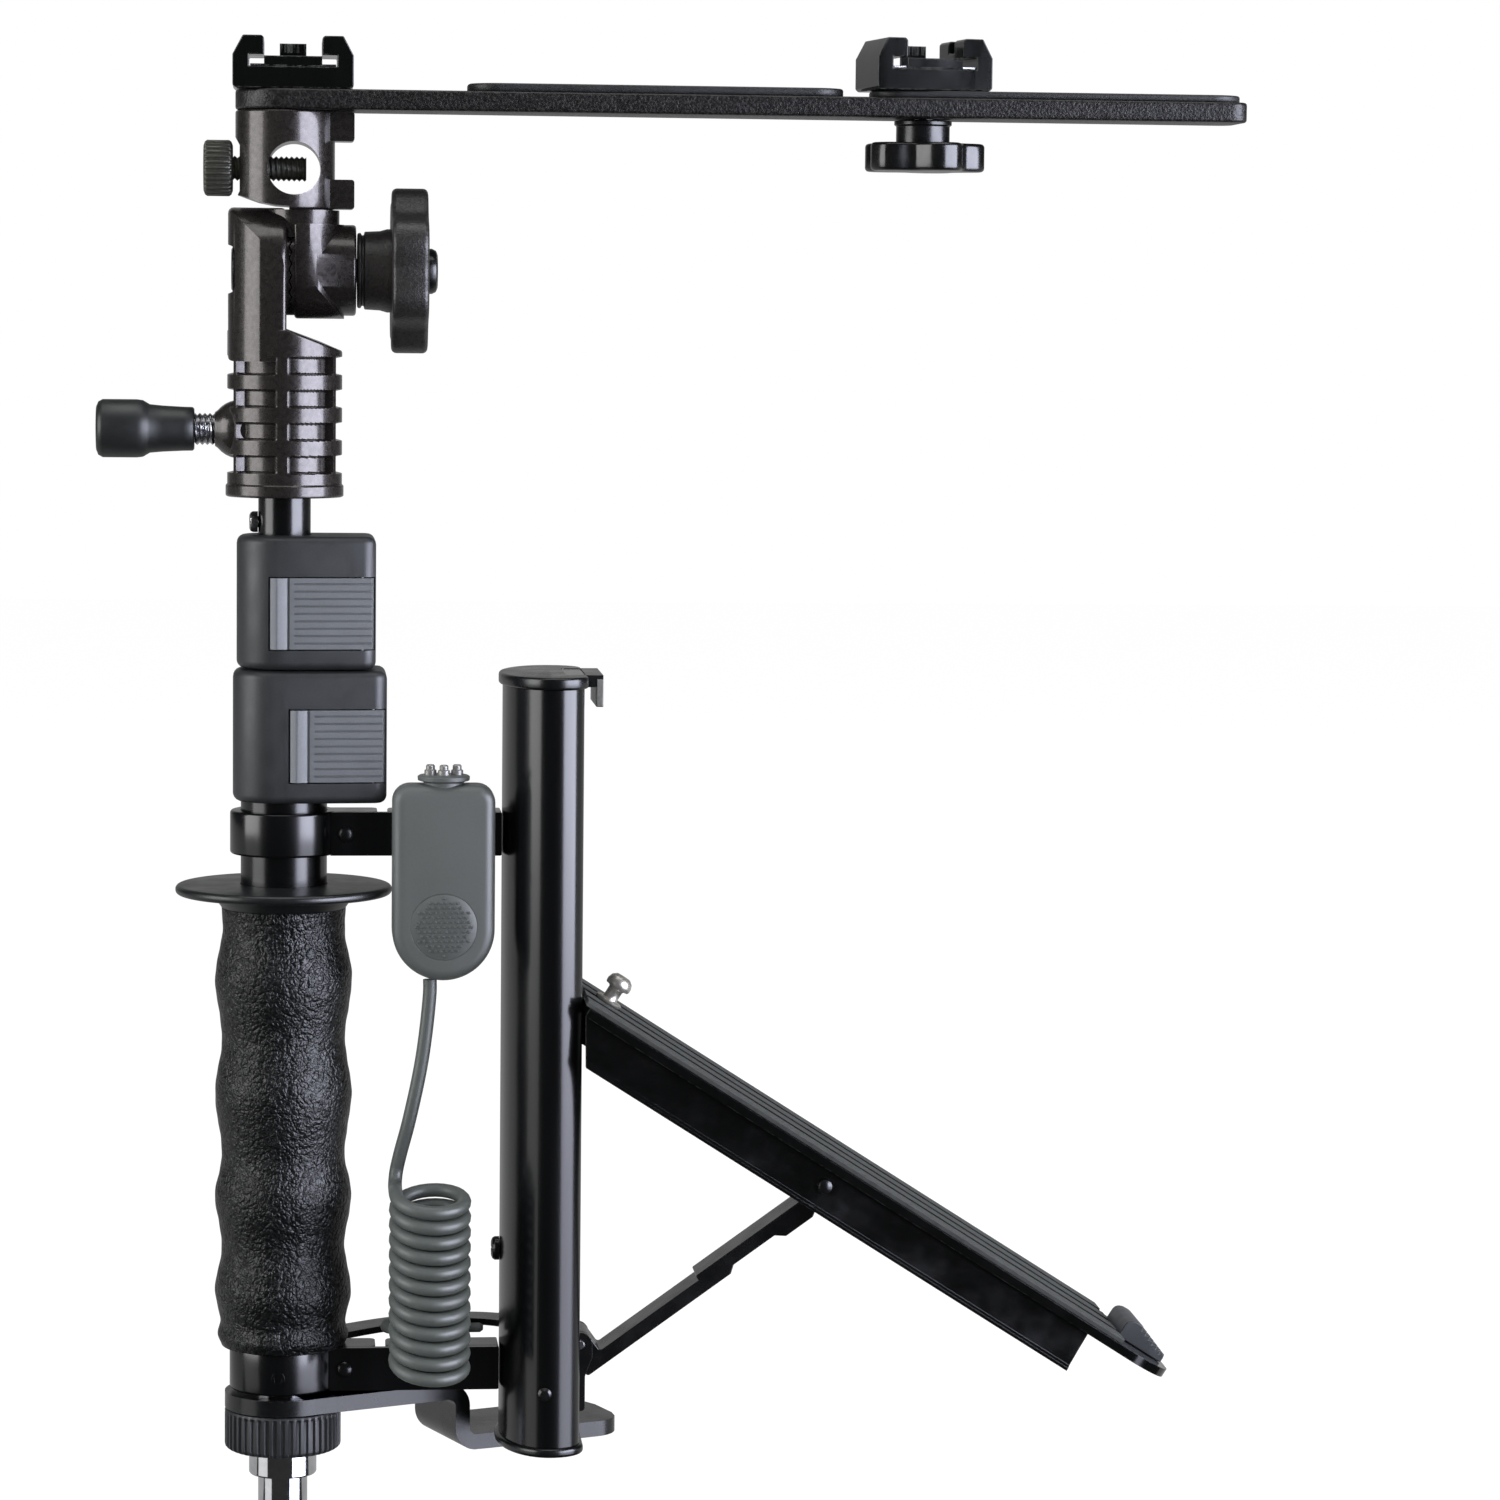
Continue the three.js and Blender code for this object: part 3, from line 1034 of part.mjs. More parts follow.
// Remote release: rounded shell with a press button, hung on the upper arm by a clip
function makeRemote() {
  const front = remoteBack - remote.thickness;
  const left = remote.centreX - remote.halfWidth;
  const right = remote.centreX + remote.halfWidth;
  const bowl = remoteBottom + remote.halfWidth;
  const shoulder = remoteTop - remote.shoulder;
  const shape = new THREE.Shape();
  shape.moveTo(left, bowl);
  shape.absarc(remote.centreX, bowl, remote.halfWidth, Math.PI, Math.PI * 2);
  shape.absarc(right - remote.shoulder, shoulder, remote.shoulder, 0, Math.PI / 2);
  shape.absarc(left + remote.shoulder, shoulder, remote.shoulder, Math.PI / 2, Math.PI);
  const shell = softSlab(shape, 0, remote.thickness, remote.edge, 7).rotateX(Math.PI / 2);
  const buttonZ = remoteBottom + remote.buttonRise;
  const buttonFront = front - remote.buttonProud;
  const buttonBack = buttonFront + remote.buttonThickness;
  const floor = buttonBack + remote.buttonTravel + clearance;
  const x = remote.centreX;
  addPart(object, 'remote_body', build([shell.translate(0, remoteBack, 0), ...connectorPosts()], [
    drumY(remote.buttonRadius + clearance, front - overrun, floor, x, buttonZ, medium),
  ]), 'greyPlastic');
  const button = drumY(remote.buttonRadius, buttonFront, buttonBack, x, buttonZ, medium);
  addPart(object, 'remote_button', button, 'greyPlastic');
}

// Round socket on the remote's top, with a row of short posts
function connectorPosts() {
  const y = remoteBack - remote.thickness / 2;
  const top = remoteTop + connector.height;
  const pieces = [drum(connector.radius, remoteTop - seat, top, medium, remote.centreX, y)];
  for (let i = 0; i < connector.pins; i += 1) {
    const x = remote.centreX + (i - (connector.pins - 1) / 2) * connector.pinPitch;
    pieces.push(drum(connector.pinRadius, top - seat, top + connector.pinHeight, tiny, x, y));
  }
  return pieces;
}

function makeClip() {
  const front = -plateFront - clearance;
  const back = armBlock.half + clearance;
  const low = upperRingTop + clearance;
  const t = clip.thickness;
  const x0 = remote.centreX - clip.width / 2;
  const x1 = remote.centreX + clip.width / 2;
  addPart(object, 'remote_clip', build([
    box(x0, x1, front - t, back + t, low, low + t),
    box(x0, x1, front - t, front, low - clip.drop, low + t),
    box(x0, x1, back, back + t, low - clip.backDrop, low + t),
  ]), 'steel');
}

// Curly cord as one helix with a straight end of one cord diameter at each end
class CoilCurve extends THREE.Curve {
  constructor() {
    super();
    this.turn = Math.hypot(Math.PI * 2 * coil.meanRadius, coil.pitch);
    this.wound = this.turn * coil.turns;
    this.straight = cord.radius * 2;
    this.total = this.wound + this.straight * 2;
    this.arcLengthDivisions = coil.steps * coil.turns * 4;
  }

  helix(share) {
    const angle = Math.PI / 2 - share * coil.turns * Math.PI * 2;
    const height = coil.bottom + share * coil.turns * coil.pitch;
    const x = coil.centreX + coil.meanRadius * Math.cos(angle);
    return new THREE.Vector3(x, coil.centreY + coil.meanRadius * Math.sin(angle), height);
  }

  heading(share) {
    const angle = Math.PI / 2 - share * coil.turns * Math.PI * 2;
    return new THREE.Vector3(Math.sin(angle), -Math.cos(angle), 0);
  }

  getPoint(t) {
    const along = t * this.total - this.straight;
    const share = THREE.MathUtils.clamp(along / this.wound, 0, 1);
    const past = along - share * this.wound;
    return this.helix(share).addScaledVector(this.heading(share), past);
  }
}

function cordTube(path, steps, sides) {
  const section = new THREE.Shape();
  for (let i = 0; i < sides; i += 1) {
    const angle = (i / sides) * Math.PI * 2;
    const corner = [cord.radius * Math.cos(angle), cord.radius * Math.sin(angle)];
    if (i) section.lineTo(...corner);
    else section.moveTo(...corner);
  }
  const tube = new THREE.ExtrudeGeometry(section, { steps, extrudePath: path, curveSegments: 1 });
  return toGeometry(toSolid(tube));
}

// Least gap between neighbouring curls, measured on the path's points
function leastGap(points, near) {
  let least = Infinity;
  for (let i = 0; i < points.length; i += 1) {
    for (let k = i + near; k < points.length; k += 1) {
      least = Math.min(least, points[i].distanceTo(points[k]));
    }
  }
  return least - cord.radius * 2;
}

function toPoints(route) {
  return route.map(([x, y, z]) => new THREE.Vector3(x, y, z));
}

function makeCord() {
  const curl = new CoilCurve();
  const steps = Math.round(curl.total / curl.turn * coil.steps);
  addPart(object, 'cord_coil', cordTube(curl, steps, coil.sides), 'greyPlastic');
  const gapAlong = cord.meetGap;
  const topEnd = curl.getPoint(1).addScaledVector(curl.heading(1), gapAlong);
  const topNear = topEnd.clone().addScaledVector(curl.heading(1), curl.straight);
  const lead = [...toPoints(leadRoute), topNear, topEnd];
  const leadCurve = new THREE.CatmullRomCurve3(lead, false, 'centripetal');
  addPart(object, 'cord_lead', cordTube(leadCurve, leadSteps, cord.sides), 'greyPlastic');
  const lowEnd = curl.getPoint(0).addScaledVector(curl.heading(0), -gapAlong);
  const lowNear = lowEnd.clone().addScaledVector(curl.heading(0), -curl.straight / 2);
  const plugZ = lowerRingTop + seat + plug.radius;
  const plugEnd = new THREE.Vector3(plug.start - gapAlong, 0, plugZ);
  const plugNear = new THREE.Vector3(plug.start - gapAlong - curl.straight, 0, plugZ);
  const tail = [lowEnd, lowNear, ...toPoints(tailRoute), plugNear, plugEnd];
  const tailCurve = new THREE.CatmullRomCurve3(tail, false, 'centripetal');
  addPart(object, 'cord_tail', cordTube(tailCurve, tailSteps, cord.sides), 'greyPlastic');
  const points = curl.getSpacedPoints(steps);
  console.log('coil least gap', leastGap(points, coil.steps / 2).toFixed(2));
  const lengths = [leadCurve, curl, tailCurve].map((curve) => curve.getLength().toFixed(0));
  console.log('cord lengths', lengths.join(' '));
}

// Plug on the cord's far end, resting on the lower arm
function makePlug() {
  const sleeveEnd = plug.start + plug.sleeveLength;
  const bodyEnd = sleeveEnd + plug.length;
  const tipEnd = bodyEnd + plug.tipLength;
  addPart(object, 'cord_plug', turnedX([
    [0, plug.start], [plug.sleeveRadius, plug.start], [plug.sleeveRadius, sleeveEnd],
    [plug.radius, sleeveEnd], [plug.radius, bodyEnd], [plug.tipRadius, bodyEnd], [plug.tipRadius, tipEnd],
    [0, tipEnd],
  ], 0, lowerRingTop + seat + plug.radius, coarse), 'greyPlastic');
}

makeSpigot();
makeCollar();
makeFootStrap();
makeTubes();
makeGrip();
makeGuard();
makeRing('lower_ring', lowerRingBottom);
makeRing('upper_ring', upperRingBottom);
makeArm('lower', lowerRingBottom);
makeArm('upper', upperRingBottom);
makeBrace();
makePost();
makeCaps();
makeBracket();
makeStrut();
makeTray();
makeLock('lower', lowerLock, lowerLockBottom, outerRadius, outerTube.lockDepth, middleRadius);
makeLock('upper', upperLock, upperLockBottom, middleRadius, middleTube.lockDepth, innerTube.radius);
makeClamp();
makeSocketScrew();
makeTiltHead();
makeTiltKnob();
makeUmbrellaHead();
makeBar();
makeShoe('left', leftShoeX, barTop + seat, 0, 0);
makeShoe('right', rightShoeX, shoePadTop + seat, rightShoeTurn, shoeKnob.stemRadius);
makeShoeKnob();
makeRemote();
makeClip();
makeCord();
makePlug();

export default object;
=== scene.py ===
import json
import logging
import math
from dataclasses import dataclass
from enum import Enum
from typing import Optional, Sequence

import bmesh
import bpy
import numpy as np
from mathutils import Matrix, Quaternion, Vector


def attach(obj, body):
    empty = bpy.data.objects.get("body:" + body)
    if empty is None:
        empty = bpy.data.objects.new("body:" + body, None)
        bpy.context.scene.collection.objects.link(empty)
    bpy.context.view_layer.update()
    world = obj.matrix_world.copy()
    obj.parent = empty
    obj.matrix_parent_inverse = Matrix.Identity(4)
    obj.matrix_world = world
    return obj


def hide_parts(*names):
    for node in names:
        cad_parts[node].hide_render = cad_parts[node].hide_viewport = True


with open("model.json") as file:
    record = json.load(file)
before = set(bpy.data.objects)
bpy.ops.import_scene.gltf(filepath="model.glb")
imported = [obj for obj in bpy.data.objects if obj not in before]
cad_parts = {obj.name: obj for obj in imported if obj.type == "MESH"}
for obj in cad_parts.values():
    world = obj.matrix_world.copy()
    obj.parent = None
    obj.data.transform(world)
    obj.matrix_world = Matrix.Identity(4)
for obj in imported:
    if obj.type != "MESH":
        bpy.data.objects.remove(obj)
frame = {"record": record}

Array = np.ndarray
Pairs = Sequence[Sequence[float]]
MM = 0.001
TURN = 2 * math.pi
# A finish is this much smoother and rougher in patches, but never a perfect mirror.
SMOOTHER, ROUGHER, SMOOTHEST = 0.05, 0.07, 0.03
COAT_ROUGHNESS = 0.12
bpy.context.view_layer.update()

logging.basicConfig(level=logging.INFO, format="%(message)s")
log = logging.getLogger("flash_bracket")


class Axis(Enum):
    """The axis that a form is turned about or drawn along."""

    X = 0
    Y = 1
    Z = 2


class Grain(Enum):
    """How the surface of a finish was made."""

    POLISHED = "polished"
    MOULDED = "moulded"
    SAND = "sand"
    LEATHER = "leather"
    DRAWN = "drawn"
    CAST = "cast"


def linear(code: str) -> tuple[float, float, float, float]:
    """Turns an sRGB hex colour into linear red, green, blue and alpha.

    Args:
        code: Six hex digits after a hash.

    Returns:
        The four values that a colour socket takes.
    """
    parts = [int(code[i:i + 2], 16) / 255 for i in (1, 3, 5)]
    bent = [v / 12.92 if v <= 0.04045 else ((v + 0.055) / 1.055) ** 2.4 for v in parts]
    return (bent[0], bent[1], bent[2], 1.0)


def add_node(tree: bpy.types.NodeTree, kind: str, values: Optional[dict[str | int, object]] = None,
             **settings: object) -> bpy.types.Node:
    """Adds one shader node with its settings, values and links.

    Args:
        tree: The node tree that takes the node.
        kind: The node's type name.
        values: Input name or index to a number, colour or another node's output socket.
        **settings: Properties of the node.

    Returns:
        The new node.
    """
    node = tree.nodes.new(kind)
    for key, value in settings.items():
        setattr(node, key, value)
    for key, value in (values or {}).items():
        if isinstance(value, bpy.types.NodeSocket):
            tree.links.new(value, node.inputs[key])
        else:
            node.inputs[key].default_value = value
    return node


@dataclass(frozen=True)
class Finish:
    """A real material and how its surface was made.

    Lengths are in millimetres. The grain's size is the real spacing of its relief, or as coarse as it needs
    to be to show where the real one is finer than a pixel.
    """

    name: str
    colour: str
    # second colour that random patches and the grain's low points take; where it is darker, the low points
    # carry painted shade
    shade: str
    roughness: float
    metallic: float = 0.0
    specular: float = 0.5
    coat: float = 0.0
    grain: Grain = Grain.MOULDED
    grain_mm: float = 0.5
    relief_mm: float = 0.02
    patch_mm: float = 9.0
    stretch: tuple[float, float, float] = (1.0, 1.0, 1.0)
    wear: float = 0.0
    wear_colour: str = "#8d8b88"

    def material(self) -> bpy.types.Material:
        """Builds the node material once and returns it."""
        known = bpy.data.materials.get(self.name)
        if known:
            return known
        made = bpy.data.materials.new(self.name)
        made.use_nodes = True
        tree = made.node_tree
        tree.nodes.clear()
        place = add_node(tree, "ShaderNodeTexCoord")
        spread = add_node(tree, "ShaderNodeMapping", {
            "Vector": place.outputs["Object"], "Scale": self.stretch})
        where = spread.outputs[0]
        patches = add_node(tree, "ShaderNodeTexNoise", {
            "Vector": where, "Scale": 1 / (self.patch_mm * MM), "Detail": 3.0, "Roughness": 0.6})
        height = self.relief(tree, where)
        tone = add_node(tree, "ShaderNodeMapRange", {
            "Value": patches.outputs["Fac"], "From Min": 0.35, "From Max": 0.65,
            "To Min": 0.0, "To Max": 0.6})
        # The grain's low points take the second colour. Where it is darker than the first, as in the grip's
        # leather creases, this is painted shade in the hollows; where it is lighter it is the material's own
        # tone.
        pits = add_node(tree, "ShaderNodeMapRange", {
            "Value": height, "From Min": 0.3, "From Max": 0.75, "To Min": 1.0, "To Max": 0.0})
        share = add_node(tree, "ShaderNodeMath", {0: tone.outputs[0], 1: pits.outputs[0]},
                         operation="MAXIMUM")
        colour = add_node(tree, "ShaderNodeMix", {
            0: share.outputs[0], 6: linear(self.colour), 7: linear(self.shade)}, data_type="RGBA").outputs[2]
        gloss = add_node(tree, "ShaderNodeMapRange", {
            "Value": patches.outputs["Fac"], "From Min": 0.3, "From Max": 0.7,
            "To Min": max(self.roughness - SMOOTHER, SMOOTHEST),
            "To Max": self.roughness + ROUGHER}).outputs[0]
        if self.wear:
            colour = self.worn(tree, where, colour)
        bump = add_node(tree, "ShaderNodeBump", {
            "Height": height, "Distance": self.relief_mm * MM, "Strength": 1.0})
        shader = add_node(tree, "ShaderNodeBsdfPrincipled", {
            "Base Color": colour, "Roughness": gloss, "Metallic": self.metallic, "Normal": bump.outputs[0],
            "Specular IOR Level": self.specular, "Coat Weight": self.coat,
            "Coat Roughness": COAT_ROUGHNESS})
        add_node(tree, "ShaderNodeOutputMaterial", {"Surface": shader.outputs[0]})
        return made

    def relief(self, tree: bpy.types.NodeTree, where: bpy.types.NodeSocket) -> bpy.types.NodeSocket:
        """Draws the height of the grain, from 0 in its pits to 1 on its tops.

        Args:
            tree: The material's node tree.
            where: The place that the pattern reads.

        Returns:
            The socket that gives the height.
        """
        scale = 1 / (self.grain_mm * MM)
        if self.grain is Grain.LEATHER:
            return self.leather(tree, where, scale)
        if self.grain is Grain.SAND:
            cells = add_node(tree, "ShaderNodeTexVoronoi", {"Vector": where, "Scale": scale},
                             feature="SMOOTH_F1")
            dust = add_node(tree, "ShaderNodeTexNoise", {
                "Vector": where, "Scale": scale * 1.9, "Detail": 2.0})
            both = add_node(tree, "ShaderNodeMath", {0: cells.outputs["Distance"], 1: dust.outputs["Fac"]},
                            operation="MULTIPLY")
            return add_node(tree, "ShaderNodeMapRange", {
                "Value": both.outputs[0], "From Min": 0.08, "From Max": 0.42}).outputs[0]
        detail = {Grain.POLISHED: 1.0, Grain.CAST: 2.0}.get(self.grain, 4.0)
        noise = add_node(tree, "ShaderNodeTexNoise", {
            "Vector": where, "Scale": scale, "Detail": detail, "Roughness": 0.55})
        return noise.outputs["Fac"]

    def leather(self, tree: bpy.types.NodeTree, where: bpy.types.NodeSocket,
                scale: float) -> bpy.types.NodeSocket:
        """Draws wrinkled leather grain: rounded cells of two sizes with creases between them.

        Args:
            tree: The material's node tree.
            where: The place that the pattern reads.
            scale: Cells to a metre.

        Returns:
            The socket that gives the height.
        """
        stir = add_node(tree, "ShaderNodeTexNoise", {"Vector": where, "Scale": scale * 0.6, "Detail": 2.0})
        push = add_node(tree, "ShaderNodeVectorMath", {0: stir.outputs["Color"], 1: (0.0012, 0.0012, 0.0012)},
                        operation="MULTIPLY")
        moved = add_node(tree, "ShaderNodeVectorMath", {0: where, 1: push.outputs[0]},
                         operation="ADD").outputs[0]
        cells = [
            add_node(tree, "ShaderNodeTexVoronoi", {"Vector": moved, "Scale": size},
                     feature="DISTANCE_TO_EDGE")
            for size in (scale, scale * 2.3)]
        domes = [
            add_node(tree, "ShaderNodeMapRange", {
                "Value": cell.outputs["Distance"], "From Min": 0.0, "From Max": reach},
                interpolation_type="SMOOTHSTEP").outputs[0]
            for cell, reach in zip(cells, (0.32, 0.3))]
        return add_node(tree, "ShaderNodeMix", {0: 0.36, 2: domes[0], 3: domes[1]},
                        data_type="FLOAT").outputs[0]

    def worn(self, tree: bpy.types.NodeTree, where: bpy.types.NodeSocket,
             colour: bpy.types.NodeSocket) -> bpy.types.NodeSocket:
        """Rubs the colour off along sharp edges, broken up by noise.

        Args:
            tree: The material's node tree.
            where: The place that the pattern reads.
            colour: The colour under the wear.

        Returns:
            The socket that gives the worn colour.
        """
        soft = add_node(tree, "ShaderNodeBevel", {"Radius": 0.5 * MM}, samples=4)
        flat = add_node(tree, "ShaderNodeNewGeometry")
        turn = add_node(tree, "ShaderNodeVectorMath", {0: soft.outputs[0], 1: flat.outputs["Normal"]},
                        operation="DOT_PRODUCT")
        edge = add_node(tree, "ShaderNodeMapRange", {
            "Value": turn.outputs["Value"], "From Min": 0.97, "From Max": 0.86, "To Min": 0.0, "To Max": 1.0})
        broken = add_node(tree, "ShaderNodeTexNoise", {"Vector": where, "Scale": 700.0, "Detail": 3.0})
        kept = add_node(tree, "ShaderNodeMapRange", {
            "Value": broken.outputs["Fac"], "From Min": 0.42, "From Max": 0.62,
            "To Min": 0.0, "To Max": self.wear})
        share = add_node(tree, "ShaderNodeMath", {0: edge.outputs[0], 1: kept.outputs[0]},
                         operation="MULTIPLY")
        return add_node(tree, "ShaderNodeMix", {
            0: share.outputs[0], 6: colour, 7: linear(self.wear_colour)}, data_type="RGBA").outputs[2]


# Chromium plate on turned steel: mirror bright, with faint haze from handling.
CHROME = Finish("chrome_plated_steel", "#dcdcde", "#c9cacd", 0.08, metallic=1.0, grain=Grain.POLISHED,
                grain_mm=3.0, relief_mm=0.004)
# Zinc-plated spring steel and screws: bright but drawn, so its shine is streaked.
STEEL = Finish("bright_drawn_steel", "#c3c3c4", "#97989b", 0.24, metallic=1.0, grain=Grain.DRAWN,
               grain_mm=0.5, relief_mm=0.008, stretch=(1.0, 1.0, 4.0))
# Tinned contacts of the release and plates of the top cap: grey metal gone dull.
TIN = Finish("dull_tinned_contacts", "#8f8f8c", "#747473", 0.35, metallic=0.35, grain=Grain.DRAWN,
             grain_mm=0.6, relief_mm=0.01)
# Blackened brass of the thumbscrew: brown-grey where the knurl is rubbed.
DULL_BRASS = Finish("blackened_brass_knurl", "#45463f", "#32332e", 0.4, metallic=0.3, grain=Grain.DRAWN,
                    grain_mm=0.7, relief_mm=0.012, wear=0.3, wear_colour="#8b857a")
# Black anodised drawn aluminium tube: deep black with a soft long highlight.
ANODISED = Finish("black_anodised_aluminium", "#060708", "#08090b", 0.2, grain=Grain.DRAWN,
                  grain_mm=0.6, relief_mm=0.002, stretch=(1.0, 1.0, 0.06))
# Black enamel on pressed steel: satin, with a slight orange peel.
OXIDE = Finish("black_enamelled_steel", "#08090a", "#0d0e10", 0.25, grain=Grain.CAST,
               grain_mm=1.6, relief_mm=0.006, wear=0.25, wear_colour="#4a4c4e")
# Stoved gloss enamel on the folded tray: near black, it mirrors the dark room.
GLOSS_ENAMEL = Finish("gloss_black_stoved_enamel", "#060707", "#0a0b0c", 0.13, specular=0.4, grain=Grain.CAST,
                      grain_mm=2.2, relief_mm=0.003, wear=0.3, wear_colour="#55585a")
# Nickel-plated brass of the tray's stud: pale and softly bright.
NICKEL = Finish("nickel_plated_brass", "#b9b6b1", "#9c9994", 0.28, metallic=0.65, grain=Grain.POLISHED,
                grain_mm=1.5, relief_mm=0.003)
# Black chromate on the milled accessory shoes: smooth deep black, bright metal where edges rub.
CHROMATE = Finish("black_chromated_shoe_alloy", "#070808", "#0c0d0d", 0.13, specular=0.34, grain=Grain.DRAWN,
                  grain_mm=0.35, relief_mm=0.002, stretch=(1.0, 1.0, 0.2), wear=0.7, wear_colour="#8d9091")
# Brown-black metallic enamel on the die-cast tilt head: glossy over the casting's soft waves.
CAST_ENAMEL = Finish("bronze_black_cast_enamel", "#3a3635", "#2b2827", 0.27, metallic=0.6,
                     coat=0.35, grain=Grain.CAST, grain_mm=1.3, relief_mm=0.006, patch_mm=1.2, wear=0.35,
                     wear_colour="#77706b")
# Sand-textured paint on the bar: fine dark grit with brown and grey specks.
SAND_PAINT = Finish("sand_textured_bar_paint", "#262524", "#0c0b0b", 0.36, specular=0.34, grain=Grain.SAND,
                    grain_mm=0.62, relief_mm=0.06, patch_mm=1.1)
# Leather-grained moulded rubber of the hand grip. Its near-black second colour fills the grain's creases as
# painted shade.
GRIP_RUBBER = Finish("leather_grained_grip_rubber", "#0f1213", "#020303", 0.36, specular=0.34,
                     grain=Grain.LEATHER, grain_mm=2.1, relief_mm=0.24, patch_mm=14.0)
# Smooth moulded rubber of the hand guard. It also colours the thin black sheets in the tray pad's grooves,
# which are painted shade.
SMOOTH_RUBBER = Finish("smooth_moulded_rubber", "#0d0f10", "#141718", 0.34,
                       grain_mm=0.7, relief_mm=0.01)
# Matt sheet rubber of the pads on the bar.
PAD_RUBBER = Finish("sheet_rubber_pad", "#0d0e0f", "#161718", 0.5, specular=0.45, grain=Grain.SAND,
                    grain_mm=0.5, relief_mm=0.025)
# Grooved rubber of the tray: dark grey bands. The black lines between them are painted shade, thin sheets set
# in the grooves.
TRAY_RUBBER = Finish("grooved_tray_rubber", "#484b4a", "#383a3a", 0.7, specular=0.2,
                     grain_mm=0.35, relief_mm=0.01, stretch=(0.15, 1.0, 0.15))
# Fibre-filled nylon of the flip locks: dark grey, satin and faintly cloudy.
LOCK_NYLON = Finish("glass_filled_nylon", "#1e2022", "#25282b", 0.46,
                    grain_mm=0.45, relief_mm=0.012, patch_mm=6.0)
# The levers are moulded in a lighter grey nylon.
LEVER_NYLON = Finish("grey_lever_nylon", "#5d6168", "#676b72", 0.46,
                     grain_mm=0.4, relief_mm=0.01, patch_mm=5.0)
# Nylon of the tray's latch: blue-grey, smooth and rather dark.
LATCH_NYLON = Finish("blue_grey_latch_nylon", "#34373c", "#3d4046", 0.36,
                     grain_mm=0.4, relief_mm=0.008, patch_mm=5.0)
# Compression-moulded phenolic of the star knob: deep black with a clear gloss.
PHENOLIC = Finish("gloss_black_phenolic", "#0b0b0c", "#111213", 0.2,
                  grain_mm=0.8, relief_mm=0.004, patch_mm=3.0)
# Pebbled thermoplastic of the hand wheel: black and matt with a fine spark-eroded grain.
KNOB_PLASTIC = Finish("spark_textured_knob_plastic", "#161514", "#232120", 0.4,
                      grain=Grain.SAND, grain_mm=0.6, relief_mm=0.045, patch_mm=1.0)
# Soft vinyl cap on the lock screw: smooth black with a broad shine.
VINYL = Finish("dipped_vinyl", "#121616", "#181c1c", 0.45, grain=Grain.CAST, grain_mm=2.5,
               relief_mm=0.015)
# Moulded ABS of the remote release: mid grey, silky.
ABS_GREY = Finish("moulded_grey_abs", "#575b5b", "#525656", 0.42, specular=0.42,
                  grain_mm=0.4, relief_mm=0.006, patch_mm=20.0)
# Soft PVC jacket of the curly cord: a little lighter grey than the remote.
PVC_GREY = Finish("extruded_grey_pvc", "#545958", "#4e5352", 0.4, specular=0.4,
                  grain_mm=0.8, relief_mm=0.006, patch_mm=12.0)


@dataclass
class Form:
    """Points in millimetres and the faces that index them."""

    points: Array
    faces: list[tuple[int, ...]]

    def __add__(self, other: "Form") -> "Form":
        """Lays two forms side by side in one mesh."""
        shift = len(self.points)
        moved = [tuple(i + shift for i in face) for face in other.faces]
        return Form(np.vstack([self.points, other.points]), list(self.faces) + moved)

    def moved(self, x: float = 0.0, y: float = 0.0, z: float = 0.0) -> "Form":
        """Gives the form moved along the three axes."""
        return Form(self.points + np.array([x, y, z]), self.faces)

    def turned(self, axis: Axis, degrees: float) -> "Form":
        """Gives the form turned about an axis, right-handed."""
        angle = math.radians(degrees)
        first, second = [(1, 2), (2, 0), (0, 1)][axis.value]
        out = self.points.copy()
        a, b = out[:, first].copy(), out[:, second].copy()
        out[:, first] = a * math.cos(angle) - b * math.sin(angle)
        out[:, second] = a * math.sin(angle) + b * math.cos(angle)
        return Form(out, self.faces)


def spread(plane: Array, along: Array, axis: Axis) -> Array:
    """Puts two plane coordinates and one along an axis into 3-D points.

    Args:
        plane: Points in the plane across the axis, the last index holding two values: Y and Z for axis X,
            X and Z for axis Y, X and Y for axis Z.
        along: Places along the axis, of the same shape without the last index.
        axis: The axis.

    Returns:
        The points, with three values in the last index.
    """
    first, second = plane[..., 0], plane[..., 1]
    order = {Axis.X: (along, first, second), Axis.Y: (first, along, second), Axis.Z: (first, second, along)}
    return np.stack(order[axis], axis=-1)


def grid_form(points: Array, closed: bool = False, caps: bool = True, wrap: bool = True) -> Form:
    """Covers a grid of points with quads.

    Args:
        points: Rows by columns by three.
        closed: Joins the last row to the first.
        caps: Closes the first and last row with one face each.
        wrap: Joins the last column to the first.

    Returns:
        The surface.
    """
    rows, columns = points.shape[:2]
    index = np.arange(rows * columns).reshape(rows, columns)
    here = index if wrap else index[:, :-1]
    beside = np.roll(index, -1, axis=1) if wrap else index[:, 1:]
    if closed:
        quads = np.stack([here, beside, np.roll(beside, -1, axis=0), np.roll(here, -1, axis=0)], axis=-1)
    else:
        quads = np.stack([here[:-1], beside[:-1], beside[1:], here[1:]], axis=-1)
    faces = [tuple(face) for face in quads.reshape(-1, 4).tolist()]
    if caps and not closed:
        faces += [tuple(index[0, ::-1].tolist()), tuple(index[-1].tolist())]
    return Form(points.reshape(-1, 3), faces)


def polar(reach: Array | float, angle: Array) -> Array:
    """Gives points in a plane from their distances to its middle and their angles."""
    return np.stack([reach * np.cos(angle), reach * np.sin(angle)], axis=-1)


def all_round(count: int) -> Array:
    """Gives the angles of points evenly round a circle, as one row."""
    return (np.arange(count) / count * TURN)[None]


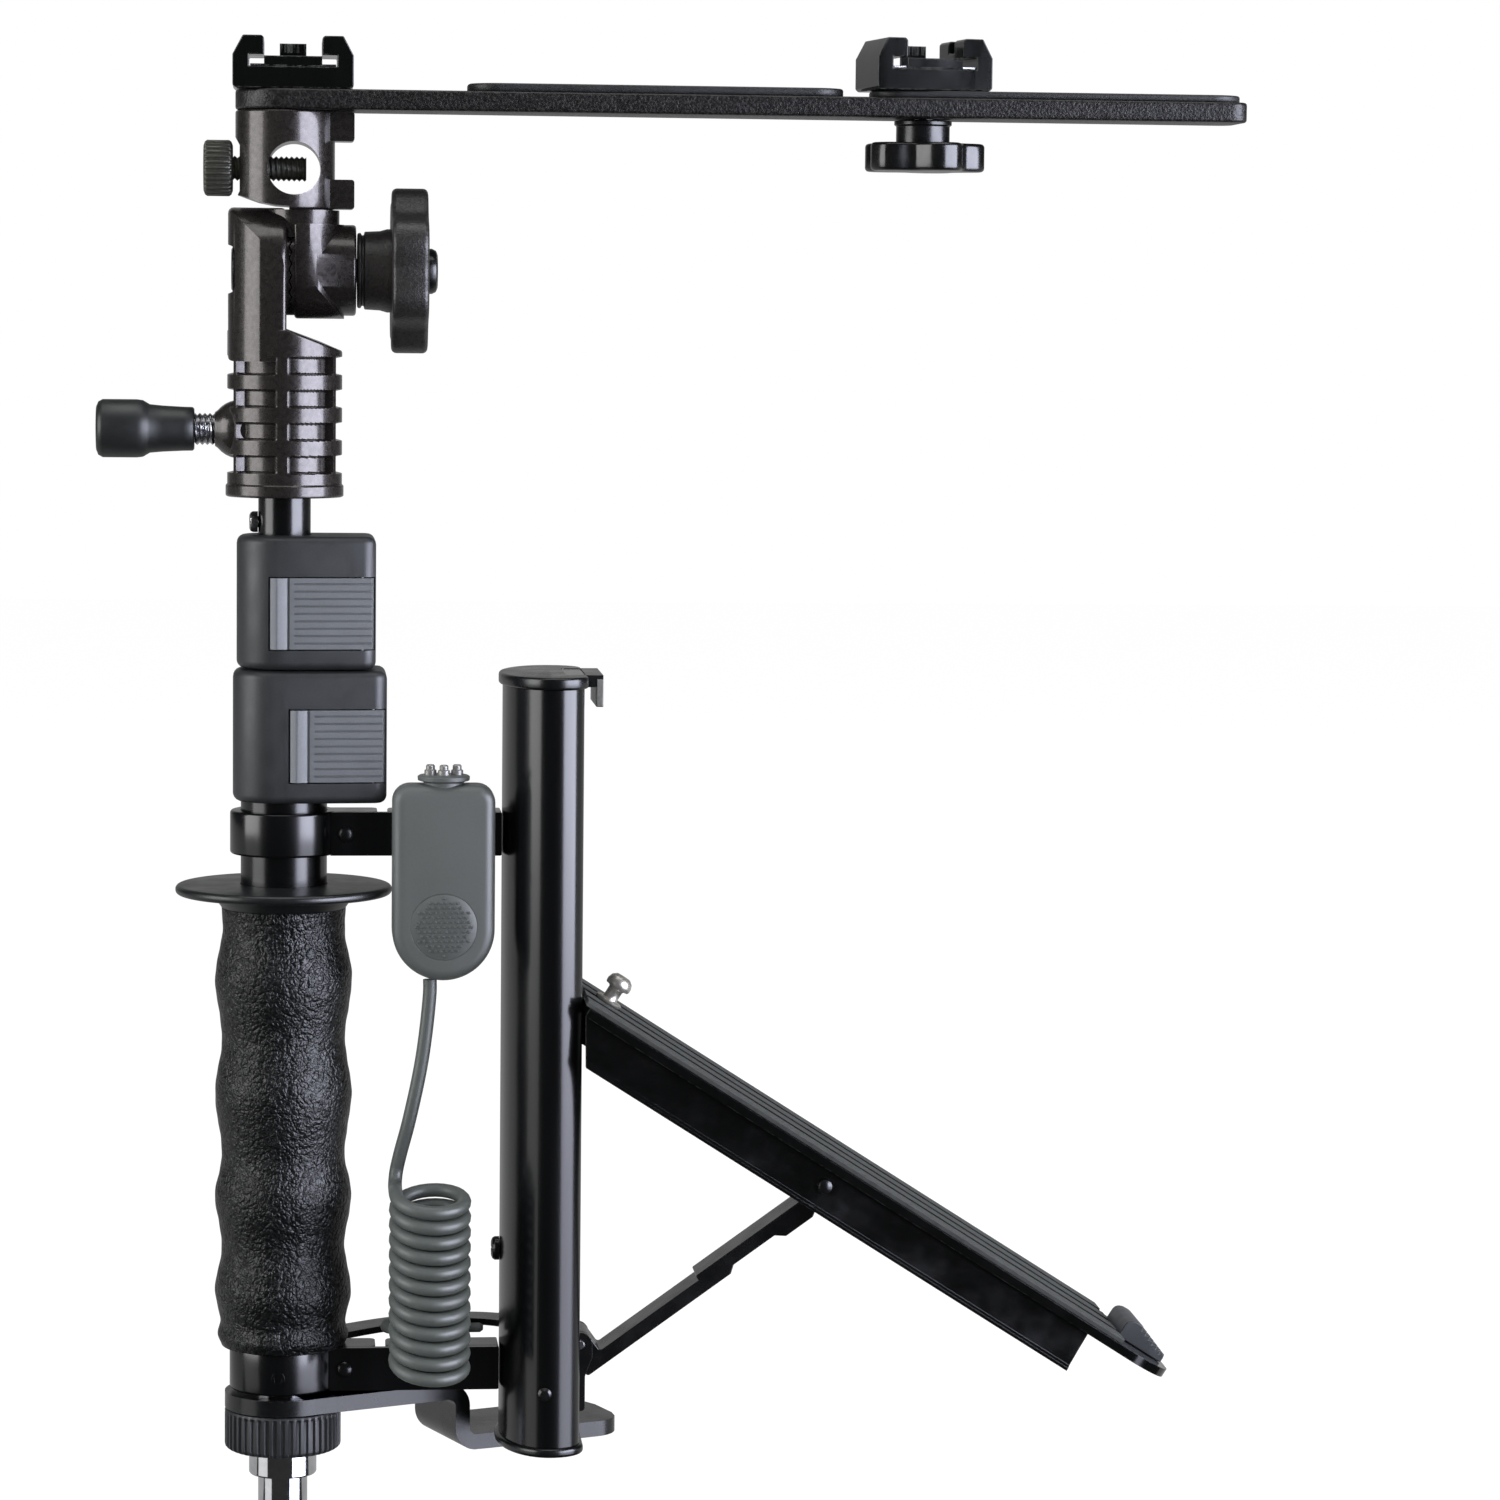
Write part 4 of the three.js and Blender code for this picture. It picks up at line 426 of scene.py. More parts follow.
def rounded(corners: Pairs, radius: float | Sequence[float], steps: int = 5) -> Array:
    """Rounds an outline: each corner becomes an arc that is tangent to its two sides.

    Args:
        corners: The outline's corners, two values each.
        radius: One radius, or one for each corner.
        steps: Spans of each arc.

    Returns:
        The rounded outline.
    """
    at = np.asarray(corners, dtype=float)
    r = np.broadcast_to(np.asarray(radius, dtype=float), (len(at),))[:, None]
    back, on = np.roll(at, 1, axis=0) - at, np.roll(at, -1, axis=0) - at
    back /= np.linalg.norm(back, axis=1, keepdims=True)
    on /= np.linalg.norm(on, axis=1, keepdims=True)
    half = np.arccos(np.clip(np.sum(back * on, axis=1, keepdims=True), -1, 1)) / 2
    half = np.clip(half, 1e-3, math.pi / 2 - 1e-4)
    cut = r / np.tan(half)
    middle = back + on
    middle /= np.maximum(np.linalg.norm(middle, axis=1, keepdims=True), 1e-9)
    centre = at + middle * r / np.sin(half)
    start, end = at + back * cut - centre, at + on * cut - centre
    sweep = math.pi - 2 * half
    share = np.linspace(0, 1, steps + 1)[None, :, None]
    sweep3 = sweep[:, :, None]
    arc = (np.sin((1 - share) * sweep3) * start[:, None]
           + np.sin(share * sweep3) * end[:, None]) / np.sin(sweep3)
    return (centre[:, None] + arc).reshape(-1, 2)


def rectangle(x: Sequence[float], y: Sequence[float], radius: float | Sequence[float], steps: int) -> Array:
    """Gives the rectangle between two places on each axis, with rounded corners."""
    return rounded([(x[0], y[0]), (x[1], y[0]), (x[1], y[1]), (x[0], y[1])], radius, steps)


def prism(outline: Pairs, low: float, high: float, axis: Axis = Axis.Z) -> Form:
    """Carries an outline along a straight path from low to high on an axis."""
    flat = np.asarray(outline, dtype=float)
    along = np.array([[low], [high]]) * np.ones((1, len(flat)))
    return grid_form(spread(np.stack([flat, flat]), along, axis))


def block(x: Sequence[float], y: Sequence[float], z: Sequence[float]) -> Form:
    """Gives the box between two places on each axis."""
    return prism(np.array([(x[0], y[0]), (x[1], y[0]), (x[1], y[1]), (x[0], y[1])]), z[0], z[1])


def pillow(outline: Pairs, stations: Pairs, axis: Axis = Axis.Z) -> Form:
    """Carries an outline along an axis while it is drawn in.

    At a station the outline moves inward along its own normals by the station's inset.

    Args:
        outline: The outline, two values a point.
        stations: Pairs of a place on the axis and an inset.
        axis: The axis.

    Returns:
        The closed form.
    """
    flat = np.asarray(outline, dtype=float)
    run = np.roll(flat, -1, axis=0) - np.roll(flat, 1, axis=0)
    normal = np.stack([run[:, 1], -run[:, 0]], axis=1)
    normal /= np.linalg.norm(normal, axis=1, keepdims=True)
    area = np.sum(flat[:, 0] * np.roll(flat[:, 1], -1) - flat[:, 1] * np.roll(flat[:, 0], -1))
    table = np.asarray(stations, dtype=float)
    plane = flat[None] - np.sign(area) * normal[None] * table[:, 1][:, None, None]
    return grid_form(spread(plane, table[:, 0][:, None] * np.ones((1, len(flat))), axis))


def soft_edges(low: float, high: float, radius: float, steps: int = 5) -> Array:
    """Gives the stations of a pillow whose two rims are quarter rounds.

    Args:
        low: Where it starts.
        high: Where it ends.
        radius: Radius of both rims.
        steps: Spans of each round.

    Returns:
        Pairs of place and inset.
    """
    angle = np.linspace(0, math.pi / 2, steps + 1)
    lower = np.stack([low + radius * (1 - np.sin(angle)), radius * (1 - np.cos(angle))], axis=1)[::-1]
    upper = np.stack([high - radius * (1 - np.sin(angle)), radius * (1 - np.cos(angle))], axis=1)
    return np.vstack([lower, upper])


def lathe(profile: Pairs, segments: int = 96, axis: Axis = Axis.Z, centre: Sequence[float] = (0.0, 0.0),
          ring: bool = False) -> Form:
    """Turns a profile about an axis: radius and height become a circle at each point.

    Args:
        profile: Pairs of radius and place on the axis. It starts and ends on the axis, or is the section
            of a ring.
        segments: Points round the circle.
        axis: The axis.
        centre: Where the axis passes the plane across it.
        ring: Closes the profile on itself.

    Returns:
        The closed form.
    """
    table = np.asarray(profile, dtype=float)
    plane = polar(table[:, :1], all_round(segments)) + np.asarray(centre)
    along = table[:, 1:] * np.ones((1, segments))
    return grid_form(spread(plane, along, axis), closed=ring, caps=False)


def rod(radius: float, low: float, high: float, axis: Axis = Axis.Z, centre: Sequence[float] = (0.0, 0.0),
        segments: int = 64) -> Form:
    """Gives a plain round bar along an axis."""
    return lathe([(0, low), (radius, low), (radius, high), (0, high)], segments, axis, centre)


def threaded(radius: float, low: float, high: float, pitch: float, depth: float, axis: Axis,
             centre: Sequence[float]) -> Form:
    """Cuts a V thread: the radius falls and rises once for each pitch along and each turn round.

    Args:
        radius: Radius over the crests.
        low: Where the thread starts.
        high: Where it ends.
        pitch: Distance from crest to crest.
        depth: Depth of the groove.
        axis: The screw's axis.
        centre: Where the axis passes the plane across it.

    Returns:
        The closed form.
    """
    segments, rows = 40, max(int((high - low) / pitch * 8), 8)
    place = np.linspace(low, high, rows)[:, None]
    angle = all_round(segments)
    phase = np.mod(place / pitch - angle / TURN, 1.0)
    plane = polar(radius - depth * (1 - np.abs(2 * phase - 1)), angle) + np.asarray(centre)
    return grid_form(spread(plane, place * np.ones((1, segments)), axis))


def ribbon(path: Array, across: Array, half: Array, thickness: float) -> Form:
    """Carries a flat rectangular section along a path.

    The section's long side lies along the across vectors and its short side along across times the tangent.

    Args:
        path: Points of the middle line.
        across: One unit vector, or one for each point.
        half: Half widths at the points.
        thickness: Thickness of the strap.

    Returns:
        The closed form.
    """
    tangent = np.gradient(path, axis=0)
    tangent /= np.linalg.norm(tangent, axis=1, keepdims=True)
    side = np.broadcast_to(across, path.shape)
    up = np.cross(side, tangent)
    wide = side * np.asarray(half)[:, None]
    tall = up * thickness / 2
    rows = np.stack([path - wide - tall, path + wide - tall, path + wide + tall, path - wide + tall], axis=1)
    return grid_form(rows)


def smooth_path(knots: Pairs, spans: int) -> Array:
    """Draws the centripetal Catmull-Rom curve through knots: between two knots a cubic whose end tangents
    weigh the neighbouring chords by the square root of their length.

    Args:
        knots: The points that the curve passes.
        spans: Steps from knot to knot.

    Returns:
        The curve's points.
    """
    p = np.asarray(knots, dtype=float)
    p = np.vstack([2 * p[0] - p[1], p, 2 * p[-1] - p[-2]])
    gap = np.linalg.norm(np.diff(p, axis=0), axis=1)[:, None] ** 0.5
    p0, p1, p2, p3 = p[:-3], p[1:-2], p[2:-1], p[3:]
    d0, d1, d2 = gap[:-2], gap[1:-1], gap[2:]
    t1 = ((p1 - p0) / d0 - (p2 - p0) / (d0 + d1) + (p2 - p1) / d1) * d1
    t2 = ((p2 - p1) / d1 - (p3 - p1) / (d1 + d2) + (p3 - p2) / d2) * d1
    s = (np.arange(spans) / spans)[None, :, None]
    a, b = (-3 * p1 + 3 * p2 - 2 * t1 - t2)[:, None], (2 * p1 - 2 * p2 + t1 + t2)[:, None]
    curve = p1[:, None] + t1[:, None] * s + a * s ** 2 + b * s ** 3
    return np.vstack([curve.reshape(-1, 3), p[-2][None]])


def lobed(radius: float, lobes: int, valley: float, sharp: float = 1.0, points: int = 280) -> Array:
    """Outline of a hand knob: the radius sinks between lobes by a power of a raised cosine.

    Args:
        radius: Radius over the lobes.
        lobes: How many lobes.
        valley: How deep the valleys are.
        sharp: Above 1 the valleys are narrower than the lobes.
        points: Points of the outline.

    Returns:
        The outline.
    """
    angle = all_round(points)[0]
    return polar(radius - valley * ((1 - np.cos(angle * lobes)) / 2) ** sharp, angle)


def to_mesh(form: Form, name: str) -> bpy.types.Mesh:
    """Makes a mesh of a form, in metres, with doubles merged and faces turned outwards.

    Args:
        form: The form, in millimetres.
        name: Name of the mesh.

    Returns:
        The mesh.
    """
    mesh = bpy.data.meshes.new(name)
    mesh.from_pydata((form.points * MM).tolist(), [], form.faces)
    work = bmesh.new()
    work.from_mesh(mesh)
    bmesh.ops.remove_doubles(work, verts=work.verts, dist=2e-6)
    bmesh.ops.dissolve_degenerate(work, edges=work.edges, dist=1e-6)
    bmesh.ops.recalc_face_normals(work, faces=work.faces)
    work.to_mesh(mesh)
    work.free()
    return mesh


def carve(base: Form, added: Sequence[Form] = (), cut: Sequence[Form] = (),
          kept: Sequence[Form] = ()) -> Form:
    """Joins, cuts and trims closed forms.

    Args:
        base: The form to start from.
        added: Forms joined to it.
        cut: Forms taken away from it.
        kept: Forms that bound what is kept.

    Returns:
        The carved form, in millimetres.
    """
    steps = [("INTERSECT", form) for form in kept] + [("UNION", form) for form in added]
    steps += [("DIFFERENCE", form) for form in cut]
    body = bpy.data.objects.new("carving", to_mesh(base, "carving"))
    bpy.context.scene.collection.objects.link(body)
    tools = []
    for number, (operation, form) in enumerate(steps):
        tool = bpy.data.objects.new(f"tool_{number}", to_mesh(form, "tool"))
        bpy.context.scene.collection.objects.link(tool)
        modifier = body.modifiers.new(f"step_{number}", "BOOLEAN")
        modifier.operation, modifier.solver, modifier.object = operation, "EXACT", tool
        tools.append(tool)
    view = bpy.context.evaluated_depsgraph_get()
    mesh = bpy.data.meshes.new_from_object(body.evaluated_get(view))
    points = np.empty(len(mesh.vertices) * 3)
    mesh.vertices.foreach_get("co", points)
    faces = [tuple(face.vertices) for face in mesh.polygons]
    for item in [body, *tools]:
        old = item.data
        bpy.data.objects.remove(item)
        bpy.data.meshes.remove(old)
    bpy.data.meshes.remove(mesh)
    return Form(points.reshape(-1, 3) / MM, faces)


class Bench:
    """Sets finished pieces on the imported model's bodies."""

    def __init__(self) -> None:
        """Reads which body and slot each node of the record has."""
        record = frame["record"]
        self.body_of = {node: body for body, nodes in record["behaviour"]["bodies"].items() for node in nodes}
        self.slot_of = {part["node"]: part["material_slot"] for part in record["subparts"]}

    def fit(self, name: str, form: Form, finish: Finish, node: str, edge: float = 0.0, steps: int = 2,
            sharp: float = 32.0, stands: bool = True) -> bpy.types.Object:
        """Makes a piece of a form and puts it in a node's place.

        Args:
            name: Name of the piece.
            form: Its form.
            finish: Its finish.
            node: The node whose body it takes.
            edge: Width of the rounding of its sharp edges, 0 for none.
            steps: Spans of that rounding.
            sharp: Angle in degrees past which an edge counts as sharp.
            stands: Hides the node, which this piece stands for.

        Returns:
            The piece.
        """
        mesh = to_mesh(form, name)
        mesh.shade_smooth()
        mesh.set_sharp_from_angle(angle=math.radians(sharp))
        piece = bpy.data.objects.new(name, mesh)
        bpy.context.scene.collection.objects.link(piece)
        if edge:
            round_off = piece.modifiers.new("edges", "BEVEL")
            round_off.width, round_off.segments = edge * MM, steps
            round_off.limit_method, round_off.angle_limit = "ANGLE", math.radians(sharp)
            round_off.harden_normals = True
        mesh.materials.append(finish.material())
        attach(piece, self.body_of[node])
        if stands:
            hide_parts(node)
        log.info("%-26s %7d faces on %s", name, len(mesh.polygons), self.body_of[node])
        return piece


@dataclass
class PhotoCamera:
    """The camera at the photograph's angle. Millimetres and degrees."""

    place: tuple[float, float, float] = (0.4, -1209.0, 314.0)
    right_px: float = 466.0
    down_px: float = 441.0
    distance_px: float = 4835.0
    picture_px: float = 1500.0
    zoom: float = 1.0005
    roll: float = 0.61

    def build(self) -> None:
        """Aims a long lens at the middle of the picture."""
        data = bpy.data.cameras.new("photo_camera")
        data.sensor_width = 36.0
        data.lens = 36.0 * self.distance_px * self.zoom / self.picture_px
        camera = bpy.data.objects.new("photo_camera", data)
        bpy.context.scene.collection.objects.link(camera)
        camera.location = Vector(self.place) * MM
        aim = Vector((self.right_px, self.distance_px, -self.down_px))
        turn = aim.to_track_quat("-Z", "Y") @ Quaternion((0, 0, 1), math.radians(self.roll))
        camera.rotation_euler = turn.to_euler()
        bpy.context.scene.camera = camera


class Job(Enum):
    """What a lamp is for: the plain light on the object, the shape of its highlights, or both."""

    LIGHTS = "lights"
    SHINES = "shines"
    BOTH = "both"


@dataclass(frozen=True)
class Lamp:
    """A rectangular soft box. Metres; its level is its brightness, where 1 is white."""

    name: str
    place: tuple[float, float, float]
    wide: float
    tall: float
    level: float
    job: Job = Job.BOTH
    tint: str = "#ffffff"
    upright: bool = True


@dataclass
class Studio:
    """White backdrop and floor behind, a dark room in front, soft boxes at the sides. Metres and watts."""

    floor_half: float = 4.0
    floor_front: float = 0.01
    lamps: tuple[Lamp, ...] = (
        Lamp("left_box", (-1.55, -0.5, 0.66), 1.1, 1.3, 5.6),
        Lamp("left_low", (-1.55, -0.5, -0.34), 1.1, 0.7, 0.9, Job.SHINES),
        Lamp("right_high", (1.61, -0.98, 0.55), 1.75, 1.3, 15.0, Job.SHINES, "#e9ecff"),
        Lamp("right_low", (1.61, -0.98, -0.5), 1.75, 0.8, 5.0, Job.SHINES, "#e9ecff"),
        Lamp("right_plain", (1.75, -0.1, 0.3), 1.3, 1.9, 5.0, Job.LIGHTS, upright=False),
        Lamp("top_box", (0.1, -0.1, 1.7), 1.6, 1.0, 2.8, upright=False),
        Lamp("front_fill", (-0.3, -1.9, 0.7), 1.4, 1.0, 2.7, Job.LIGHTS, upright=False),
    )
    aim: tuple[float, float, float] = (0.1, 0.0, 0.2)
    floor_drop: float = 0.0006
    floor_colour: str = "#f4f4f4"
    floor_glow: float = 1.06
    floor_share: float = 0.9
    fill: float = 0.4
    dark: float = 0.035
    mirrored: float = 0.4

    def build(self) -> None:
        """Lays the floor, lights the world and hangs the lamps."""
        self.lay_floor()
        self.light_world()
        self.hang_lamps()
        bpy.context.scene.view_settings.view_transform = "Standard"

    def seen(self, tree: bpy.types.NodeTree) -> tuple[bpy.types.NodeSocket, bpy.types.NodeSocket]:
        """Finds the rays that show the backdrop.

        Args:
            tree: The node tree that takes the nodes.

        Returns:
            1 for camera, glossy and transmission rays, and 1 for glossy rays alone.
        """
        ray = add_node(tree, "ShaderNodeLightPath")
        two = add_node(tree, "ShaderNodeMath", {
            0: ray.outputs["Is Camera Ray"], 1: ray.outputs["Is Glossy Ray"]}, operation="MAXIMUM")
        every = add_node(tree, "ShaderNodeMath", {0: two.outputs[0], 1: ray.outputs["Is Transmission Ray"]},
                         operation="MAXIMUM")
        return every.outputs[0], ray.outputs["Is Glossy Ray"]

    def lay_floor(self) -> None:
        """Lays a pale floor that shows white to the camera and keeps the shadow."""
        half = self.floor_half
        mesh = bpy.data.meshes.new("floor")
        corners = [(-half, self.floor_front), (half, self.floor_front), (half, half), (-half, half)]
        mesh.from_pydata([(x, y, -self.floor_drop) for x, y in corners], [], [(0, 1, 2, 3)])
        floor = bpy.data.objects.new("floor", mesh)
        bpy.context.scene.collection.objects.link(floor)
        paper = bpy.data.materials.new("white_paper_sweep")
        paper.use_nodes = True
        tree = paper.node_tree
        tree.nodes.clear()
        diffuse = add_node(tree, "ShaderNodeBsdfDiffuse", {"Color": linear(self.floor_colour)})
        every, glossy = self.seen(tree)
        level = add_node(tree, "ShaderNodeMix", {0: glossy, 2: self.floor_glow, 3: self.mirrored},
                         data_type="FLOAT")
        glow = add_node(tree, "ShaderNodeEmission", {"Color": (1, 1, 1, 1), "Strength": level.outputs[0]})
        share = add_node(tree, "ShaderNodeMath", {0: every, 1: self.floor_share}, operation="MULTIPLY")
        mixed = add_node(tree, "ShaderNodeMixShader", {
            0: share.outputs[0], 1: diffuse.outputs[0], 2: glow.outputs[0]})
        add_node(tree, "ShaderNodeOutputMaterial", {"Surface": mixed.outputs[0]})
        mesh.materials.append(paper)

    def light_world(self) -> None:
        """Makes the backdrop white to the camera and in reflections, and a soft fill elsewhere.

        Reflections of the room in front of the object are dark, as in a studio.
        """
        world = bpy.data.worlds.new("white_studio")
        world.use_nodes = True
        bpy.context.scene.world = world
        tree = world.node_tree
        tree.nodes.clear()
        every, glossy = self.seen(tree)
        where = add_node(tree, "ShaderNodeTexCoord")
        axes = add_node(tree, "ShaderNodeSeparateXYZ", {0: where.outputs["Generated"]})
        behind = add_node(tree, "ShaderNodeMapRange", {
            "Value": axes.outputs["Y"], "From Min": 0.7, "From Max": 1.0,
            "To Min": self.dark, "To Max": self.mirrored}, interpolation_type="SMOOTHSTEP")
        mirrored = add_node(tree, "ShaderNodeMix", {0: glossy, 2: 1.0, 3: behind.outputs[0]},
                            data_type="FLOAT")
        strength = add_node(tree, "ShaderNodeMix", {
            0: every, 2: self.fill, 3: mirrored.outputs[0]}, data_type="FLOAT")
        back = add_node(tree, "ShaderNodeBackground", {
            "Color": (1, 1, 1, 1), "Strength": strength.outputs[0]})
        add_node(tree, "ShaderNodeOutputWorld", {"Surface": back.outputs[0]})

    def hang_lamps(self) -> None:
        """Hangs the lamps and turns each one to the object's middle."""
        middle = Vector(self.aim)
        for lamp in self.lamps:
            data = bpy.data.lights.new(lamp.name, "AREA")
            data.shape, data.size, data.size_y = "RECTANGLE", lamp.wide, lamp.tall
            data.energy = lamp.level * math.pi * lamp.wide * lamp.tall
            data.color = linear(lamp.tint)[:3]
            hung = bpy.data.objects.new(lamp.name, data)
            bpy.context.scene.collection.objects.link(hung)
            hung.location = lamp.place
            level = Vector((middle.x, middle.y, lamp.place[2])) if lamp.upright else middle
            hung.rotation_euler = (level - Vector(lamp.place)).to_track_quat("-Z", "Y").to_euler()
            hung.visible_glossy, hung.visible_diffuse = lamp.job is not Job.LIGHTS, lamp.job is not Job.SHINES


@dataclass
class WiredRelease:
    """Remote release on the upper arm, with its curly cord and plug. Millimetres."""

    centre_x: float = 39.4
    half_width: float = 12.7
    bottom: float = 147.8
    top: float = 196.5
    back: float = -8.2
    front: float = -20.2
    rim: float = 2.8
    shoulder: float = 4.4
    button_z: float = 161.4
    button_radius: float = 8.2
    dot_pitch: float = 1.38
    dot_radius: float = 0.42
    cord_radius: float = 1.75
    lean: float = 0.27
    coil_x: float = 36.3
    coil_y: float = -21.4
    coil_radius: float = 8.5
    coil_turns: float = 11.75
    coil_pitch: float = 3.8
    coil_bottom: float = 50.2
    turn_points: int = 28
    meet_gap: float = 0.3
    plug_start: float = 33.5
    plug_z: float = 56.6
    straight: float = 3.2
    well_play: float = 0.05
    well_depth: float = 3.7
    seam_inset: float = 5.2
    clip_half: float = 6.0
    lead: tuple[tuple[float, float, float], ...] = (
        (36.2, -14.2, 147.6), (36.2, -14.2, 144.4), (34.4, -14.2, 128), (31.2, -13.4, 112), (29, -11.4, 103),
        (28.1, -10.6, 98.6), (27.8, -12, 95.9))
    tail: tuple[tuple[float, float, float], ...] = (
        (30.2, -12.4, 52.9), (29.2, -11.2, 54.6), (28.4, -9.4, 57.4), (26.6, -5.4, 58.7), (26.4, -1.6, 57.4))

    def build(self, bench: Bench) -> None:
        """Makes the cord first, then the plug, the shell, the button and the clip."""
        plug = self.make_plug(bench)
        self.make_cord(bench)
        self.make_shell(bench)
        self.make_button(bench)
        self.make_clip(bench)

    def coil_point(self, share: Array) -> Array:
        """Gives points of the helix, which winds backwards, rises a pitch each turn and leans to the front."""
        angle = math.pi / 2 - share * self.coil_turns * TURN
        rise = self.coil_bottom + share * self.coil_turns * self.coil_pitch
        back = self.coil_radius * np.sin(angle)
        return np.stack([self.coil_x + self.coil_radius * np.cos(angle), self.coil_y + back,
                         rise + self.lean * back], axis=-1)

    def heading(self, share: float) -> Array:
        """Gives the level direction of the coil at one end."""
        angle = math.pi / 2 - share * self.coil_turns * TURN
        return np.array([math.sin(angle), -math.cos(angle), 0.0])

    def cord_path(self) -> Array:
        """Gives the cord's middle line, from the release down through the coil to the plug."""
        straight = self.straight
        high, low = self.coil_point(np.array([1.0]))[0], self.coil_point(np.array([0.0]))[0]
        lead = [*self.lead, high + self.heading(1) * (2 * straight), high + self.heading(1) * straight]
        tail = [low - self.heading(0) * straight, low - self.heading(0) * straight * 1.5, *self.tail,
                (self.plug_start - straight, 0, self.plug_z),
                (self.plug_start - self.meet_gap, 0, self.plug_z)]
        count = int(self.coil_turns * self.turn_points)
        coil = self.coil_point(np.linspace(1, 0, count))
        return np.vstack([smooth_path(lead, 6), coil, smooth_path(tail, 5)])

    def make_cord(self, bench: Bench) -> None:
        """Draws the cord as one round curve along its path.

        Args:
            bench: Where pieces are fitted.
        """
        path = self.cord_path() * MM
        data = bpy.data.curves.new("curly_cord", "CURVE")
        data.dimensions = "3D"
        data.bevel_depth, data.bevel_resolution = self.cord_radius * MM, 5
        data.use_fill_caps = True
        spline = data.splines.new("POLY")
        spline.points.add(len(path) - 1)
        spline.points.foreach_set("co", np.hstack([path, np.ones((len(path), 1))]).ravel())
        spline.use_smooth = True
        data.materials.append(PVC_GREY.material())
        cord = bpy.data.objects.new("curly_cord", data)
        bpy.context.scene.collection.objects.link(cord)
        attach(cord, bench.body_of["cord_coil"])
        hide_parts("cord_lead", "cord_coil", "cord_tail")

    def make_plug(self, bench: Bench) -> bpy.types.Object:
        """Turns the plug with its ribbed strain relief.

        Args:
            bench: Where pieces are fitted.

        Returns:
            The plug.
        """
        x = self.plug_start
        ribs = [(r, x + at) for at in (0.6, 1.4, 2.2) for r in (2.4, 2.0)]
        profile = [(0, x), (2.2, x), *[(r, at + (0.3 if r < 2.2 else 0)) for r, at in ribs], (2.4, x + 3),
                   (3.1, x + 3), (3.4, x + 3.5), (3.4, x + 11.2), (3.0, x + 12), (1.2, x + 12),
                   (1.2, x + 16.2), (0.6, x + 17), (0, x + 17)]
        plug = lathe(profile, 48, Axis.X, (0, self.plug_z))
        return bench.fit("cord_plug_body", plug, ABS_GREY, "cord_plug",
                         edge=0.12)

    def shell_outline(self) -> Array:
        """Gives the release's outline: straight sides that close in a half round at the foot."""
        left, right = self.centre_x - self.half_width, self.centre_x + self.half_width
        angle = np.linspace(math.pi, TURN, 41)
        bowl = self.bottom + self.half_width
        foot = polar(self.half_width, angle) + (self.centre_x, bowl)
        head = rounded([(left, bowl), (right, bowl), (right, self.top), (left, self.top)],
                       [0.01, 0.01, self.shoulder, self.shoulder], 8)[18:]
        return np.vstack([foot, head])

    def make_shell(self, bench: Bench) -> None:
        """Makes the two-part shell with its parting line, the button's well and the socket on top."""
        outline = self.shell_outline()
        seam = self.back - self.seam_inset
        stations = soft_edges(self.front, self.back, self.rim, 7)
        line = np.array([(seam - 0.35, 0), (seam - 0.2, 0.22), (seam + 0.2, 0.22), (seam + 0.35, 0)])
        table = np.vstack([stations[:8], line, stations[8:]])
        shell = pillow(outline, table, Axis.Y)
        well = rod(self.button_radius + self.well_play, self.front - 2, self.front + self.well_depth, Axis.Y,
                   (self.centre_x, self.button_z), 72)
        shell = carve(shell, cut=[well])
        y = (self.front + self.back) / 2
        collar = lathe([(0, self.top - 1), (5.0, self.top - 1), (5.0, self.top + 0.5), (6.4, self.top + 0.9),
                        (6.5, self.top + 1.9), (6.0, self.top + 2.2), (0, self.top + 2.2)],
                       64, Axis.Z, (self.centre_x, y))
        bench.fit("release_shell", shell + collar, ABS_GREY, "remote_body", edge=0.15, sharp=40)
        posts = [lathe([(0, self.top + 1), (1.5, self.top + 1), (1.5, self.top + 3.4), (1.1, self.top + 3.6),
                        (1.1, self.top + 4.5), (0.8, self.top + 4.8), (0, self.top + 4.8)], 28, Axis.Z,
                       (self.centre_x + at, y + off)) for at, off in ((-3.3, 0), (0, -1.5), (3.3, 0))]
        bench.fit("release_socket_pins", posts[0] + posts[1] + posts[2], TIN, "remote_body", stands=False)

    def make_button(self, bench: Bench) -> None:
        """Makes the press button: a shallow dome with a hexagonal field of raised dots."""
        r, front = self.button_radius, self.front
        dome = lathe([(0, front + 2.3), (r, front + 2.3), (r, front + 0.03), (r - 0.04, front),
                      (r * 0.6, front - 0.08), (0, front - 0.12)], 72, Axis.Y, (self.centre_x, self.button_z))
        span = np.arange(-7, 8)
        column, row = np.meshgrid(span, span)
        x = (column + (row % 2) / 2) * self.dot_pitch
        z = row * self.dot_pitch * math.sqrt(3) / 2
        inside = np.hypot(x, z) < r - 1.0
        centres = np.stack([x[inside], z[inside]], axis=1) + (self.centre_x, self.button_z)
        field = self.dots(centres, front)
        bench.fit("release_button", dome + field, ABS_GREY, "remote_button", sharp=50)

    def dots(self, centres: Array, front: float) -> Form:
        """Sets one small dome on each centre: rings that shrink as they rise.

        Args:
            centres: X and Z of the domes.
            front: Where the button's face lies along Y.

        Returns:
            All domes in one form.
        """
        sides = 10
        ring = polar(self.dot_radius, all_round(sides))[0]
        table = np.array([(1.0, 0.1), (0.8, -0.36), (0.35, -0.62)])
        plane = centres[:, None, None] + ring[None, None] * table[:, 0][None, :, None, None]
        along = (front + table[:, 1])[None, :, None] * np.ones((len(centres), 1, sides))
        points = spread(plane, along, Axis.Y)
        first = grid_form(points[0])
        shift = len(first.points)
        faces = [tuple(i + shift * n for i in face) for n in range(len(centres)) for face in first.faces]
        return Form(points.reshape(-1, 3), faces)

